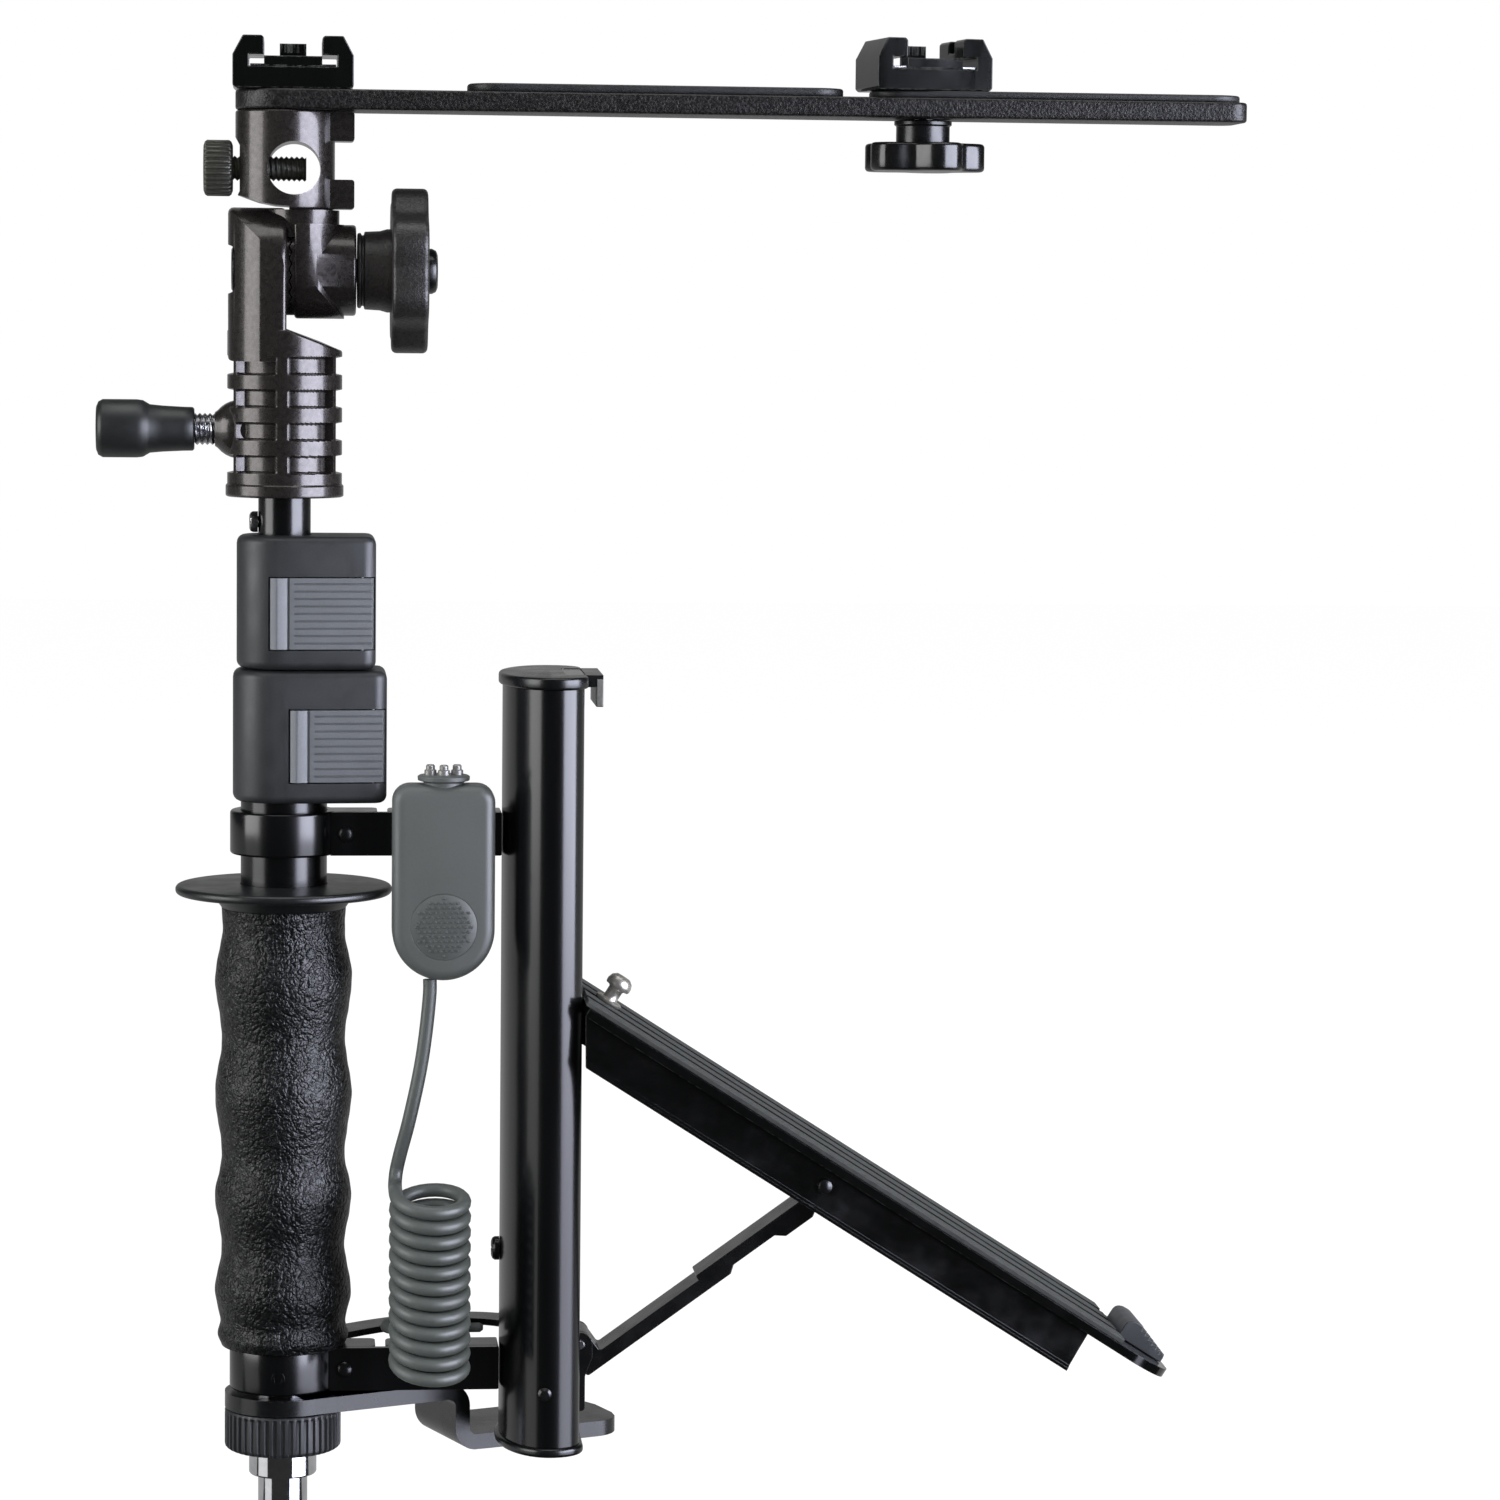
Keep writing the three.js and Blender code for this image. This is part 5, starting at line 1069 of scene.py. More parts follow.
    def make_clip(self, bench: Bench) -> None:
        """Bends the spring clip over the upper arm."""
        x0, x1 = self.centre_x - self.clip_half, self.centre_x + self.clip_half
        section = rounded([(-8.1, 181), (-8.1, 189.7), (6.1, 189.7), (6.1, 181.9), (5.3, 181.9),
                           (5.3, 188.9), (-7.3, 188.9), (-7.3, 181)],
                          [0.3, 0.9, 0.9, 0.3, 0.3, 0.3, 0.3, 0.3], 4)
        bench.fit("release_clip", prism(section, x0, x1, Axis.X), STEEL, "remote_clip", edge=0.12)


@dataclass
class Column:
    """Spigot, collar, strap, tubes, rings and arms. Millimetres."""

    inner_radius: float = 6.5
    middle_radius: float = 8.3
    outer_radius: float = 10.75
    ring_radius: float = 13.4
    ring_height: float = 10.9
    rings: tuple[float, float] = (42.2, 177.7)
    collar_low: float = 26.6
    collar_high: float = 37.0
    collar_radius: float = 14.6
    flutes: int = 46
    flute_depth: float = 0.62
    strap_low: float = 37.3
    strap_high: float = 41.3
    strap_half: float = 13.0
    strap_swing: float = 22.0
    strap_under: float = 25.7
    strap_thick: float = 4.0
    eye_bore: float = 8.6
    arm_end: float = 54.2
    rivet_x: float = 15.4
    rivet_hole: float = 1.4
    stop_z: float = 260.5
    brace: tuple[tuple[float, float], ...] = ((7, 9), (48, 50), (66, 19))
    brace_z: float = 52.25
    brace_half: float = 4.2
    brace_thick: float = 1.7

    def build(self, bench: Bench) -> None:
        """Builds the column from the spigot up, then its arms."""
        self.make_spigot(bench)
        self.make_collar(bench)
        self.make_strap(bench)
        self.make_tubes(bench)
        for name, low in zip(("lower", "upper"), self.rings):
            self.make_ring(bench, name, low)
            self.make_arm(bench, name, low)
        self.make_brace(bench)

    def make_spigot(self, bench: Bench) -> None:
        """Turns the chrome spigot with its shoulder."""
        profile = [(0, 0), (5.2, 0), (6.2, 1), (6.2, 19.6), (6.6, 20), (8.2, 20), (8.5, 20.4), (8.5, 26.3),
                   (8.3, 26.3), (8.3, 60.2), (0, 60.2)]
        bench.fit("spigot_turned", lathe(profile, 96), CHROME, "spigot_stud", edge=0.15)

    def make_collar(self, bench: Bench) -> None:
        """Makes the knurled collar: the radius sinks in a flat-bottomed groove between two teeth."""
        low, high, r = self.collar_low, self.collar_high, self.collar_radius
        columns = self.flutes * 12
        angle = all_round(columns)
        wave = 0.5 - 0.5 * np.cos(angle * self.flutes)
        groove = np.clip((wave - 0.35) / 0.4, 0, 1)
        section = np.array([
            (self.eye_bore, low, 0), (13.4, low, 0.2), (14.0, low + 0.3, 0.6), (r - 0.1, low + 0.8, 0.9),
            (r, low + 1.3, 1), (r, (low + high) / 2, 1), (r, high - 1.6, 1), (r - 0.05, high - 1.1, 0.8),
            (r, high - 0.6, 0.0), (r - 0.3, high - 0.12, 0), (r - 0.8, high, 0), (self.eye_bore, high, 0)])
        plane = polar(section[:, 0][:, None] - self.flute_depth * section[:, 2][:, None] * groove, angle)
        form = grid_form(spread(plane, section[:, 1][:, None] * np.ones((1, columns)), Axis.Z), closed=True)
        bench.fit("collar_knurled", form, LOCK_NYLON, "knurled_collar", sharp=40)

    def make_strap(self, bench: Bench) -> None:
        """Bends the foot strap: level from the eye, down in an S, then level under the post."""
        mid_high, mid_low = (self.strap_high + self.strap_low) / 2, self.strap_under
        knots = rounded([(9, mid_high), (44, mid_high), (44, mid_low), (90, mid_low), (90, -40), (9, -40)],
                        [0.1, 4, 4, 0.1, 0.1, 0.1], 10)[10:34]
        line = np.vstack([np.stack([np.linspace(0, 38, 24), np.full(24, mid_high)], axis=1), knots[:22],
                          np.stack([np.linspace(52, 90, 40), np.full(40, mid_low)], axis=1)])
        path = np.stack([line[:, 0], np.zeros(len(line)), line[:, 1]], axis=1)
        left = np.clip((90 - path[:, 0]) / 8.0, 0, 1)
        wide = self.strap_half + 1.4 * np.clip(1 - path[:, 0] / 34, 0, 1)
        half = wide - 8.0 * (1 - np.sqrt(1 - (1 - left) ** 2))
        band = ribbon(path, np.array([0.0, 1.0, 0.0]), half, self.strap_thick)
        eye = lathe([(self.eye_bore, self.strap_low), (self.collar_radius, self.strap_low),
                     (self.collar_radius, self.strap_high), (self.eye_bore, self.strap_high)], 96, ring=True)
        bore = rod(self.eye_bore, self.strap_low - 1, self.strap_high + 1, segments=96)
        form = carve(band, cut=[bore]) + eye
        bench.fit("foot_strap_bent", form.turned(Axis.Z, self.strap_swing), OXIDE, "foot_strap", edge=0.55,
                  steps=3)

    def make_tubes(self, bench: Bench) -> None:
        """Draws the three telescopic tubes and sets the stop screw."""
        tubes = (
            ("outer_tube_drawn", "outer_tube", self.outer_radius, 8.6, 42.2, 195.9),
            ("middle_tube_drawn", "middle_tube", self.middle_radius, 6.8, 60.5, 229.1),
            ("inner_tube_drawn", "inner_tube", self.inner_radius, 5.3, 70.5, 300.5),
        )
        for name, node, radius, bore, low, high in tubes:
            section = [(bore, low), (radius, low), (radius, high), (bore, high)]
            bench.fit(name, lathe(section, 96, ring=True), ANODISED, node, edge=0.2)
        r = self.inner_radius
        head = [(0, -r - 2.2), (1.7, -r - 2.2), (2.3, -r - 1.9), (2.6, -r - 1.3), (2.6, -r - 0.1),
                (1.4, -r - 0.1), (1.4, -5.3), (0, -5.3)]
        screw = lathe(head, 40, Axis.X, (0, self.stop_z))
        slot = block((-r - 3, -r - 1.6), (-0.35, 0.35), (self.stop_z - 4.5, self.stop_z + 4.5))
        bench.fit("stop_screw_slotted", carve(screw, cut=[slot]), STEEL, "stop_screw", edge=0.12)

    def make_ring(self, bench: Bench, name: str, low: float) -> None:
        """Makes one clamp ring with the lug that carries an arm.

        Args:
            bench: Where pieces are fitted.
            name: Which ring it is.
            low: Its lower face.
        """
        high = low + self.ring_height
        hoop = pillow(lobed(self.ring_radius, 1, 0.0, points=96), soft_edges(low, high, 0.7, 3))
        lug = prism(rectangle((0, 23.2), (-5, 5), [0.1, 1.8, 1.8, 0.1], 4), low, high)
        bore = rod(self.outer_radius + 0.1, low - 2, high + 2, segments=96)
        hole = rod(self.rivet_hole, -9, 7, Axis.Y, (self.rivet_x, low + self.ring_height / 2), 24)
        form = carve(hoop, added=[lug], cut=[bore, hole])
        if name == "lower":
            at = (-1.2, low + 4.6)
            socket = lathe([(0, -11.2), (1.5, -11.2), (1.5, -13.3), (1.7, -13.45), (1.7, -13.6), (1.0, -13.6),
                            (0.9, -12.6), (0, -12.6)], 24, Axis.Y, at)
            form = form + socket
        bench.fit(f"{name}_ring_clamp", form, ANODISED, f"{name}_ring", edge=0.3)

    def make_arm(self, bench: Bench, name: str, low: float) -> None:
        """Makes one arm block, its cover plate and the domed rivet.

        Args:
            bench: Where pieces are fitted.
            name: Which arm it is.
            low: Its lower face.
        """
        high = low + self.ring_height
        end = self.arm_end
        bar = prism(rectangle((25.8, end), (-5, 5), [1.6, 0.4, 0.4, 1.6], 4), low, high)
        bench.fit(f"{name}_arm_block", bar, ANODISED, f"{name}_arm", edge=0.6, steps=3)
        face = rectangle((10.6, end), (low, high), [0.1, 0.4, 0.4, 0.1], 3)
        plate = carve(prism(face, -7.0, -5.1, Axis.Y), cut=[rod(self.ring_radius + 0.1, low - 2, high + 2)])
        hole = rod(self.rivet_hole, -9, 7, Axis.Y, (self.rivet_x, low + self.ring_height / 2), 24)
        bench.fit(f"{name}_arm_cover", carve(plate, cut=[hole]), ANODISED, f"{name}_arm_plate", edge=0.45,
                  steps=3)
        dome = [(0, -8.15), (0.9, -8.05), (1.6, -7.8), (2.0, -7.35), (2.0, -7.1), (1.3, -7.1),
                (1.3, 5.8), (0, 5.8)]
        rivet = lathe(dome, 40, Axis.Y, (self.rivet_x, low + self.ring_height / 2))
        bench.fit(f"{name}_arm_rivet_domed", rivet, OXIDE, f"{name}_arm_rivet")

    def make_brace(self, bench: Bench) -> None:
        """Bows the flat brace from the back of the lower ring to the back of the post."""
        share = np.linspace(0.06, 0.985, 60)[:, None]
        a, b, c = (np.array([*place, self.brace_z]) for place in self.brace)
        path = (1 - share) ** 2 * a + 2 * share * (1 - share) * b + share ** 2 * c
        run = np.gradient(path, axis=0)
        run /= np.linalg.norm(run, axis=1, keepdims=True)
        across = np.cross(run, np.array([0.0, 0.0, 1.0]))
        band = ribbon(path, across, np.full(60, self.brace_half), self.brace_thick)
        cuts = [rod(self.ring_radius + 0.1, 48, 56, segments=96),
                prism(SideFrame().section(-0.3), 48, 56)]
        bench.fit("arm_brace_bowed", carve(band, cut=cuts), OXIDE, "lower_arm_brace", edge=0.35)


@dataclass
class HandGrip:
    """Leather-grained rubber sleeve with four finger swells, and the hand guard. Millimetres."""

    low: float = 53.2
    height: float = 110.8
    waist: float = 15.4
    bulge: float = 17.1
    bore: float = 10.85
    guard_low: float = 164.1
    guard_radius: float = 27.0
    swells: tuple[tuple[float, float], ...] = (
        (0, 0.06), (0.0226, 0.59), (0.0523, 0.18), (0.1227, 1), (0.2265, 0), (0.3439, 1), (0.4341, 0),
        (0.5785, 1), (0.7004, 0), (0.8421, 1), (0.9422, -0.06), (1, 0.06))

    def build(self, bench: Bench) -> None:
        """Makes the sleeve, then the guard."""
        self.make_sleeve(bench)
        self.make_guard(bench)

    def make_sleeve(self, bench: Bench) -> None:
        """Turns the sleeve: its radius follows a smooth curve through the swells, with faint dents that a
        product of two slow sines round and along the grip gives."""
        knots = [(self.waist + (self.bulge - self.waist) * out, 0, self.low + self.height * up)
                 for up, out in self.swells]
        side = smooth_path(knots, 14)
        columns = 192
        angle = all_round(columns)
        place = side[:, 2][:, None]
        dent = 0.09 * np.sin(angle * 5 + place * 0.31) * np.sin(place * 0.9 + angle * 2)
        reach = side[:, 0][:, None] + dent
        inner = np.full((1, columns), self.bore)
        reach = np.vstack([inner, reach, inner])
        along = np.vstack([np.full_like(inner, self.low), place * np.ones((1, columns)),
                           np.full_like(inner, self.low + self.height)])
        form = grid_form(spread(polar(reach, angle), along, Axis.Z), closed=True)
        bench.fit("grip_leather_sleeve", form, GRIP_RUBBER, "grip_sleeve", sharp=50)

    def make_guard(self, bench: Bench) -> None:
        """Turns the guard: a trumpet that flares from the grip into a disc with a round rim."""
        low, rim = self.guard_low, self.guard_radius
        section = rounded([(self.bore, low), (15.5, low), (17.6, low + 3.0), (rim, low + 3.4),
                           (rim, low + 5.7), (self.bore, low + 6)], [0.2, 0.2, 3.2, 1.1, 1.1, 0.2], 7)
        bench.fit("guard_disc", lathe(section, 128, ring=True), SMOOTH_RUBBER, "hand_guard", sharp=50)


@dataclass
class FlipLock:
    """One nylon lock collar with its flip lever. Millimetres."""

    name: str = "lower"
    left: float = 12.7
    right: float = 25.4
    low: float = 191.2
    high: float = 224.1
    lever_left: float = 1.5
    lever_low: float = 196.6
    lever_high: float = 214.5
    lower_radius: float = 10.85
    lower_depth: float = 4.8
    upper_radius: float = 8.6
    front: float = -13.6
    back: float = 12.0
    crown_start: float = 1.0
    crown_drop: float = 1.7
    grooves: int = 9
    groove_half: float = 0.24
    groove_depth: float = 0.5
    corner: float = 10.5
    far_corner: float = 3.4
    pin_inset: float = 3.9
    pin_depth: float = 3.3
    pin_radius: float = 1.3
    hinge_radius: float = 3.3
    lever_thick: float = 3.6
    play: float = 0.3

    def sink(self, x: Array) -> Array:
        """Gives how far the face falls back: a power of the way past the crown's start."""
        past = np.asarray(x, dtype=float) - self.crown_start
        share = np.clip(past / (self.right - self.crown_start), 0, 1)
        return self.crown_drop * share ** 1.3

    def build(self, bench: Bench) -> None:
        """Makes the collar, the lever and the pin."""
        pin_x, pin_y = self.right - self.pin_inset, self.front + self.pin_depth
        crown = np.append(np.linspace(self.crown_start, self.right - 5.5, 8), self.right)
        face = [(x, y) for x, y in zip(crown, self.front + self.sink(crown))]
        outline = rounded([(-self.left, self.front), *face, (self.right, self.back), (-self.left, self.back)],
                          [self.corner, *[0.02] * 8, self.far_corner, self.far_corner, self.corner], 10)
        collar = pillow(outline, soft_edges(self.low, self.high, 2.0, 5))
        span = (self.lever_low - self.play, self.lever_high + self.play)
        recess = block((self.lever_left - 0.4, self.right + 2), (self.front - 2, self.front + 3.9), span)
        barrel = rod(self.hinge_radius + self.play, *span, centre=(pin_x, pin_y), segments=48)
        bores = [rod(self.lower_radius, self.low - 2, self.low + self.lower_depth, segments=72),
                 rod(self.upper_radius, self.low, self.high + 2, segments=72)]
        body = carve(collar, cut=[recess, barrel, *bores])
        bench.fit(f"{self.name}_lock_body", body, LOCK_NYLON, f"{self.name}_lock_collar", edge=0.35)
        bench.fit(f"{self.name}_lock_flip", self.lever(pin_x, pin_y), LEVER_NYLON, f"{self.name}_lock_lever",
                  edge=0.1)
        pin = rod(self.pin_radius, self.lever_low - 3, self.lever_high + 3, centre=(pin_x, pin_y),
                  segments=32)
        bench.fit(f"{self.name}_lock_axle", pin, OXIDE, f"{self.name}_lock_pin", edge=0.2)

    def bent_bar(self, start: float, end: float, depth: Sequence[float], z: Sequence[float]) -> Form:
        """Gives a bar that follows the crown.

        Args:
            start: Its left end.
            end: Its right end.
            depth: How deep its front and its back lie behind the uncrowned face.
            z: Its foot and its top.

        Returns:
            The bar.
        """
        x = np.linspace(start, end, 12)
        front = np.stack([x, self.front + depth[0] + self.sink(x)], axis=1)
        back = np.stack([x, self.front + depth[1] + self.sink(x) * (depth[1] < 3)], axis=1)
        return prism(np.vstack([front, back[::-1]]), z[0], z[1])

    def lever(self, pin_x: float, pin_y: float) -> Form:
        """Gives the lever: a plate with level grooves, a raised ridge on its free end and a hinge barrel.

        Args:
            pin_x: Where its pin stands.
            pin_y: The same along Y.

        Returns:
            The lever.
        """
        back = self.front + self.lever_thick
        pitch = (self.lever_high - self.lever_low) / (self.grooves + 0.6)
        start = (self.lever_low + self.lever_high - pitch * (self.grooves - 1)) / 2
        middle = start + pitch * np.arange(self.grooves)
        slots = [self.bent_bar(self.lever_left + 5.9, self.right + 2, (-2, self.groove_depth),
                               (place - self.groove_half, place + self.groove_half)) for place in middle]
        step = block((self.lever_left + 4.3, self.lever_left + 4.8), (self.front - 2, self.front + 0.8),
                     (self.lever_low - 1, self.lever_high + 1))
        plate = self.bent_bar(self.lever_left + 3.6, pin_x + 1.2, (0, self.lever_thick),
                              (self.lever_low, self.lever_high))
        crown = rounded([(self.lever_left, back), (self.lever_left, self.front - 0.2),
                         (self.lever_left + 1.6, self.front - 1.1), (self.lever_left + 4.2, self.front - 0.3),
                         (self.lever_left + 4.2, back)], [0.2, 0.7, 0.8, 0.3, 0.2], 4)
        ridge = prism(crown, self.lever_low, self.lever_high)
        hinge = rod(self.hinge_radius, self.lever_low, self.lever_high, centre=(pin_x, pin_y), segments=48)
        bore = rod(1.4, self.lever_low - 1, self.lever_high + 1, centre=(pin_x, pin_y), segments=32)
        outside = self.bent_bar(pin_x - 5, self.right + 2, (-3, 0), (self.lever_low - 1, self.lever_high + 1))
        return carve(plate, added=[hinge], cut=[bore, step, outside, *slots]) + ridge


@dataclass
class TiltHead:
    """Ribbed clamp, tilt joint, hand wheel and lock screw. Millimetres."""

    radius: float = 14.2
    low: float = 266.8
    high: float = 308.3
    axis_z: float = 322.9
    screw_z: float = 283.4
    ear_left: float = -14.0
    ear_right: float = 0.4
    head_left: float = 2.3
    head_right: float = 17.5
    pocket_first: float = 6.2
    pocket_pitch: float = 8.1
    pocket_height: float = 4.0
    pocket_depth: float = 2.2
    wheel_left: float = 26.2
    wheel_right: float = 35.2
    wheel_radius: float = 20.6
    bolt_bore: float = 3.3
    socket_bore: float = 6.8
    socket_deep: float = 34.0
    shoulder_drop: float = 5.0
    teeth: int = 24

    def build(self, bench: Bench) -> None:
        """Builds the clamp, its screw, the tilting half and the hand wheel."""
        self.make_clamp(bench)
        self.make_screw(bench)
        self.make_head(bench)
        self.make_wheel(bench)

    def pockets(self, place: Array, angle: Array) -> Array:
        """Gives how far the socket's wall sinks: four rows of pockets, parted by upright ribs.

        A smooth window along the height is multiplied by one round the socket.

        Args:
            place: Heights above the socket's foot.
            angle: Angles round it.

        Returns:
            Shares from 0 on a rib to 1 in a pocket.
        """
        first = self.pocket_first + self.pocket_height / 2
        row = np.clip(np.round((place - first) / self.pocket_pitch), 0, 3)
        off = np.abs(place - first - row * self.pocket_pitch)
        window = 1 - np.clip((off - self.pocket_height / 2 + 0.25) / 0.5, 0, 1)
        x = self.radius * np.cos(angle)
        rib = np.clip((np.abs(x + 0.6) - 1.5) / 0.5, 0, 1)
        flank = np.clip((np.abs(np.abs(x) - 12.3) - 0.35) / 0.3, 0, 1)
        return window * rib * flank

    def socket(self) -> Form:
        """Gives the ribbed socket as one closed surface about the column's axis.

        The rows run from the bore's roof down its wall, out under the foot, up the ribbed wall and in over
        the sloping top.
        """
        columns = 288
        angle = all_round(columns)
        up = np.linspace(0, 1, 190)[:, None]
        slope = self.shoulder_drop / (self.radius - self.ear_right)
        x = self.radius * np.cos(angle)
        top = self.high - slope * np.clip(x - self.ear_right, 0, None) - self.low
        place = up * top
        lip = np.clip((3.2 - place) / 0.4, 0, 1) * 0.4
        edge = 0.8 * (1 - np.sqrt(1 - np.clip(1 - (top - place) / 0.8, 0, 1) ** 2))
        reach = self.radius + lip - self.pocket_depth * self.pockets(place, angle) - edge
        foot = 0.5 * (1 - np.sqrt(1 - np.clip(1 - place / 0.5, 0, 1) ** 2))
        reach = reach - foot
        ones = np.ones((1, columns))
        bore = np.vstack([ones * 0, ones * self.socket_bore, ones * self.socket_bore])
        bore_place = np.vstack([ones * self.socket_deep, ones * self.socket_deep, ones * 0])
        shrink = np.array([[0.66], [0.33], [0.0]])
        lid = reach[-1:] * shrink
        lid_top = self.high - slope * np.clip(lid * np.cos(angle) - self.ear_right, 0, None) - self.low
        reach = np.vstack([bore, reach, lid])
        place = np.vstack([bore_place, place, lid_top]) + self.low
        return grid_form(spread(polar(reach, angle), place, Axis.Z), caps=False)

    def make_clamp(self, bench: Bench) -> None:
        """Joins the socket, the ear of the tilt joint and the ball-shaped boss of the lock screw."""
        arc = np.linspace(0, math.pi, 40)
        side = np.vstack([[(-13.4, self.high - 8), (13.4, self.high - 8)],
                          polar(15.2, arc) + (0, self.axis_z)])
        ear = pillow(side, soft_edges(self.ear_left, self.ear_right, 1.3, 4), Axis.X)
        column = rod(15.0, self.high - 12, self.axis_z + 20, centre=(0.8, 0), segments=128)
        scoop = prism(rounded([(-18, self.axis_z - 7.6), (-12.3, self.axis_z - 5.4),
                               (-12.3, self.axis_z + 5.4), (-18, self.axis_z + 7.6)],
                               [0.1, 1.6, 1.6, 0.1], 5),
                      -20, 20, Axis.Y)
        bolt = rod(self.bolt_bore, -16, 3, Axis.X, (0, self.axis_z), 48)
        seat = rod(6.4, -16, self.ear_left + 1.7, Axis.X, (0, self.axis_z), 48)
        ear = carve(ear, kept=[column], cut=[scoop, bolt, seat])
        teeth = self.rosette(0.3, 0.75)
        reach = np.linspace(0, math.pi / 2, 10)
        ball = np.stack([7.3 * np.sin(reach), -11.0 - 7.2 * np.cos(reach)], axis=1)
        ball = np.vstack([[(0, -16.2), (4.2, -16.2), (4.2, -17.2)], ball[ball[:, 0] > 4.6],
                          [(7.3, -9), (0, -9)]])
        boss = lathe(ball, 64, Axis.X, (0, self.screw_z))
        form = self.socket() + ear + teeth.moved(0, 0, self.axis_z) + boss
        bench.fit("clamp_casting", form, CAST_ENAMEL, "clamp_body", edge=0.35, sharp=38)

    def rosette(self, back: float, face: float) -> Form:
        """Gives the face teeth of the joint: a ring whose face rises and falls round it, most at the rim.

        Args:
            back: Where its flat back lies along X.
            face: Where the teeth start.

        Returns:
            The ring.
        """
        angle = all_round(self.teeth * 8)
        saw = 1 - np.abs(2 * np.mod(angle / TURN * self.teeth, 1.0) - 1)
        radius = np.array([[3.6], [7.0], [11.2], [11.2], [3.6]])
        depth = np.array([[0.24], [0.42], [0.7], [0.0], [0.0]])
        base = np.array([[face], [face], [face], [back], [back]])
        return grid_form(spread(polar(radius, angle), base + depth * saw, Axis.X), closed=True)

    def make_screw(self, bench: Bench) -> None:
        """Cuts the lock screw's thread and dips its cap: a waisted sleeve that swells into a rounded knob."""
        centre = (0, self.screw_z)
        thread = threaded(4.0, -22.2, -6.8, 1.25, 0.62, Axis.X, centre)
        core = rod(3.0, -33.8, -22.0, Axis.X, centre)
        bench.fit("lock_screw_threaded", thread + core, STEEL, "socket_screw", sharp=60)
        cap = [(0, -46.4), (5.4, -46.4), (6.6, -45.9), (7.2, -44.8), (7.2, -36.4), (7.0, -34.9), (6.4, -33.9),
               (6.0, -33.2), (5.7, -30), (5.45, -25), (5.4, -22.7), (5.0, -22.3), (3.1, -22.3), (3.1, -33.9),
               (0, -33.9)]
        bench.fit("lock_screw_cap", lathe(cap, 72, Axis.X, centre), VINYL, "socket_screw_cap", sharp=50)

    def make_head(self, bench: Bench) -> None:
        """Makes the tilting half: a block between two crossed cylinders, its boss and its neck."""
        z = self.axis_z
        arc = np.linspace(math.pi, TURN, 40)
        side = np.vstack([polar(12.0, arc) + (0, z), [(12.0, z + 11.2), (-12.0, z + 11.2)]])
        cheek = pillow(side, soft_edges(self.head_left, self.head_right, 0.8, 3), Axis.X)
        column = rod(12.6, z - 14, z + 16, centre=(2.0, 0), segments=128)
        boss = pillow(lobed(11.2, 1, 0.0, points=128),
                      soft_edges(self.head_left + 4, self.head_right, 0.7, 3),
                      Axis.X).moved(0, 0, z)
        neck = rod(9.2, z + 8, z + 14.7, centre=(4.2, 0), segments=96)
        bore = rod(self.bolt_bore, 0, self.head_right + 2, Axis.X, (0, z), 48)
        form = carve(cheek, kept=[column], added=[boss, neck], cut=[bore])
        form = form + self.rosette(2.4, 1.15).moved(0, 0, z)
        bench.fit("tilt_head_casting", form, CAST_ENAMEL, "tilt_head", edge=0.35, sharp=38)

    def make_wheel(self, bench: Bench) -> None:
        """Moulds the hand wheel with its grooved hub, and sets the bolt with its domed cap."""
        z = self.axis_z
        hub = [(self.bolt_bore, 17.8), (9.0, 17.8), (9.3, 18.1), (9.3, 18.7), (8.7, 18.9), (8.7, 19.4),
               (9.6, 19.6),
               (9.8, 23.4), (10.3, 25.2), (10.3, 26.5), (self.bolt_bore, 26.5)]
        wheel = pillow(lobed(self.wheel_radius, 7, 2.4, 1.3),
                       soft_edges(self.wheel_left, self.wheel_right, 1.3, 4), Axis.X)
        dish = lathe([(0, 34.0), (13.2, 34.0), (14.2, 35.4), (0, 37)], 96, Axis.X)
        bore = rod(self.bolt_bore, 20, 40, Axis.X, segments=48)
        wheel = carve(wheel, cut=[dish, bore]).moved(0, 0, z)
        form = wheel + lathe(hub, 96, Axis.X, (0, z), ring=True)
        bench.fit("hand_wheel_moulded", form, KNOB_PLASTIC, "tilt_knob", edge=0.25)
        bolt = [(0, -13.2), (4.9, -13.2), (5.6, -12.8), (5.6, -12.3), (3.0, -12.3), (3.0, 34.2), (5.6, 34.2),
                (5.6, 36.3), (5.1, 37.3), (4.1, 37.7), (0, 37.7)]
        cap = lathe(bolt, 64, Axis.X, (0, z))
        bench.fit("tilt_bolt_capped", cap, OXIDE, "tilt_bolt", edge=0.15)


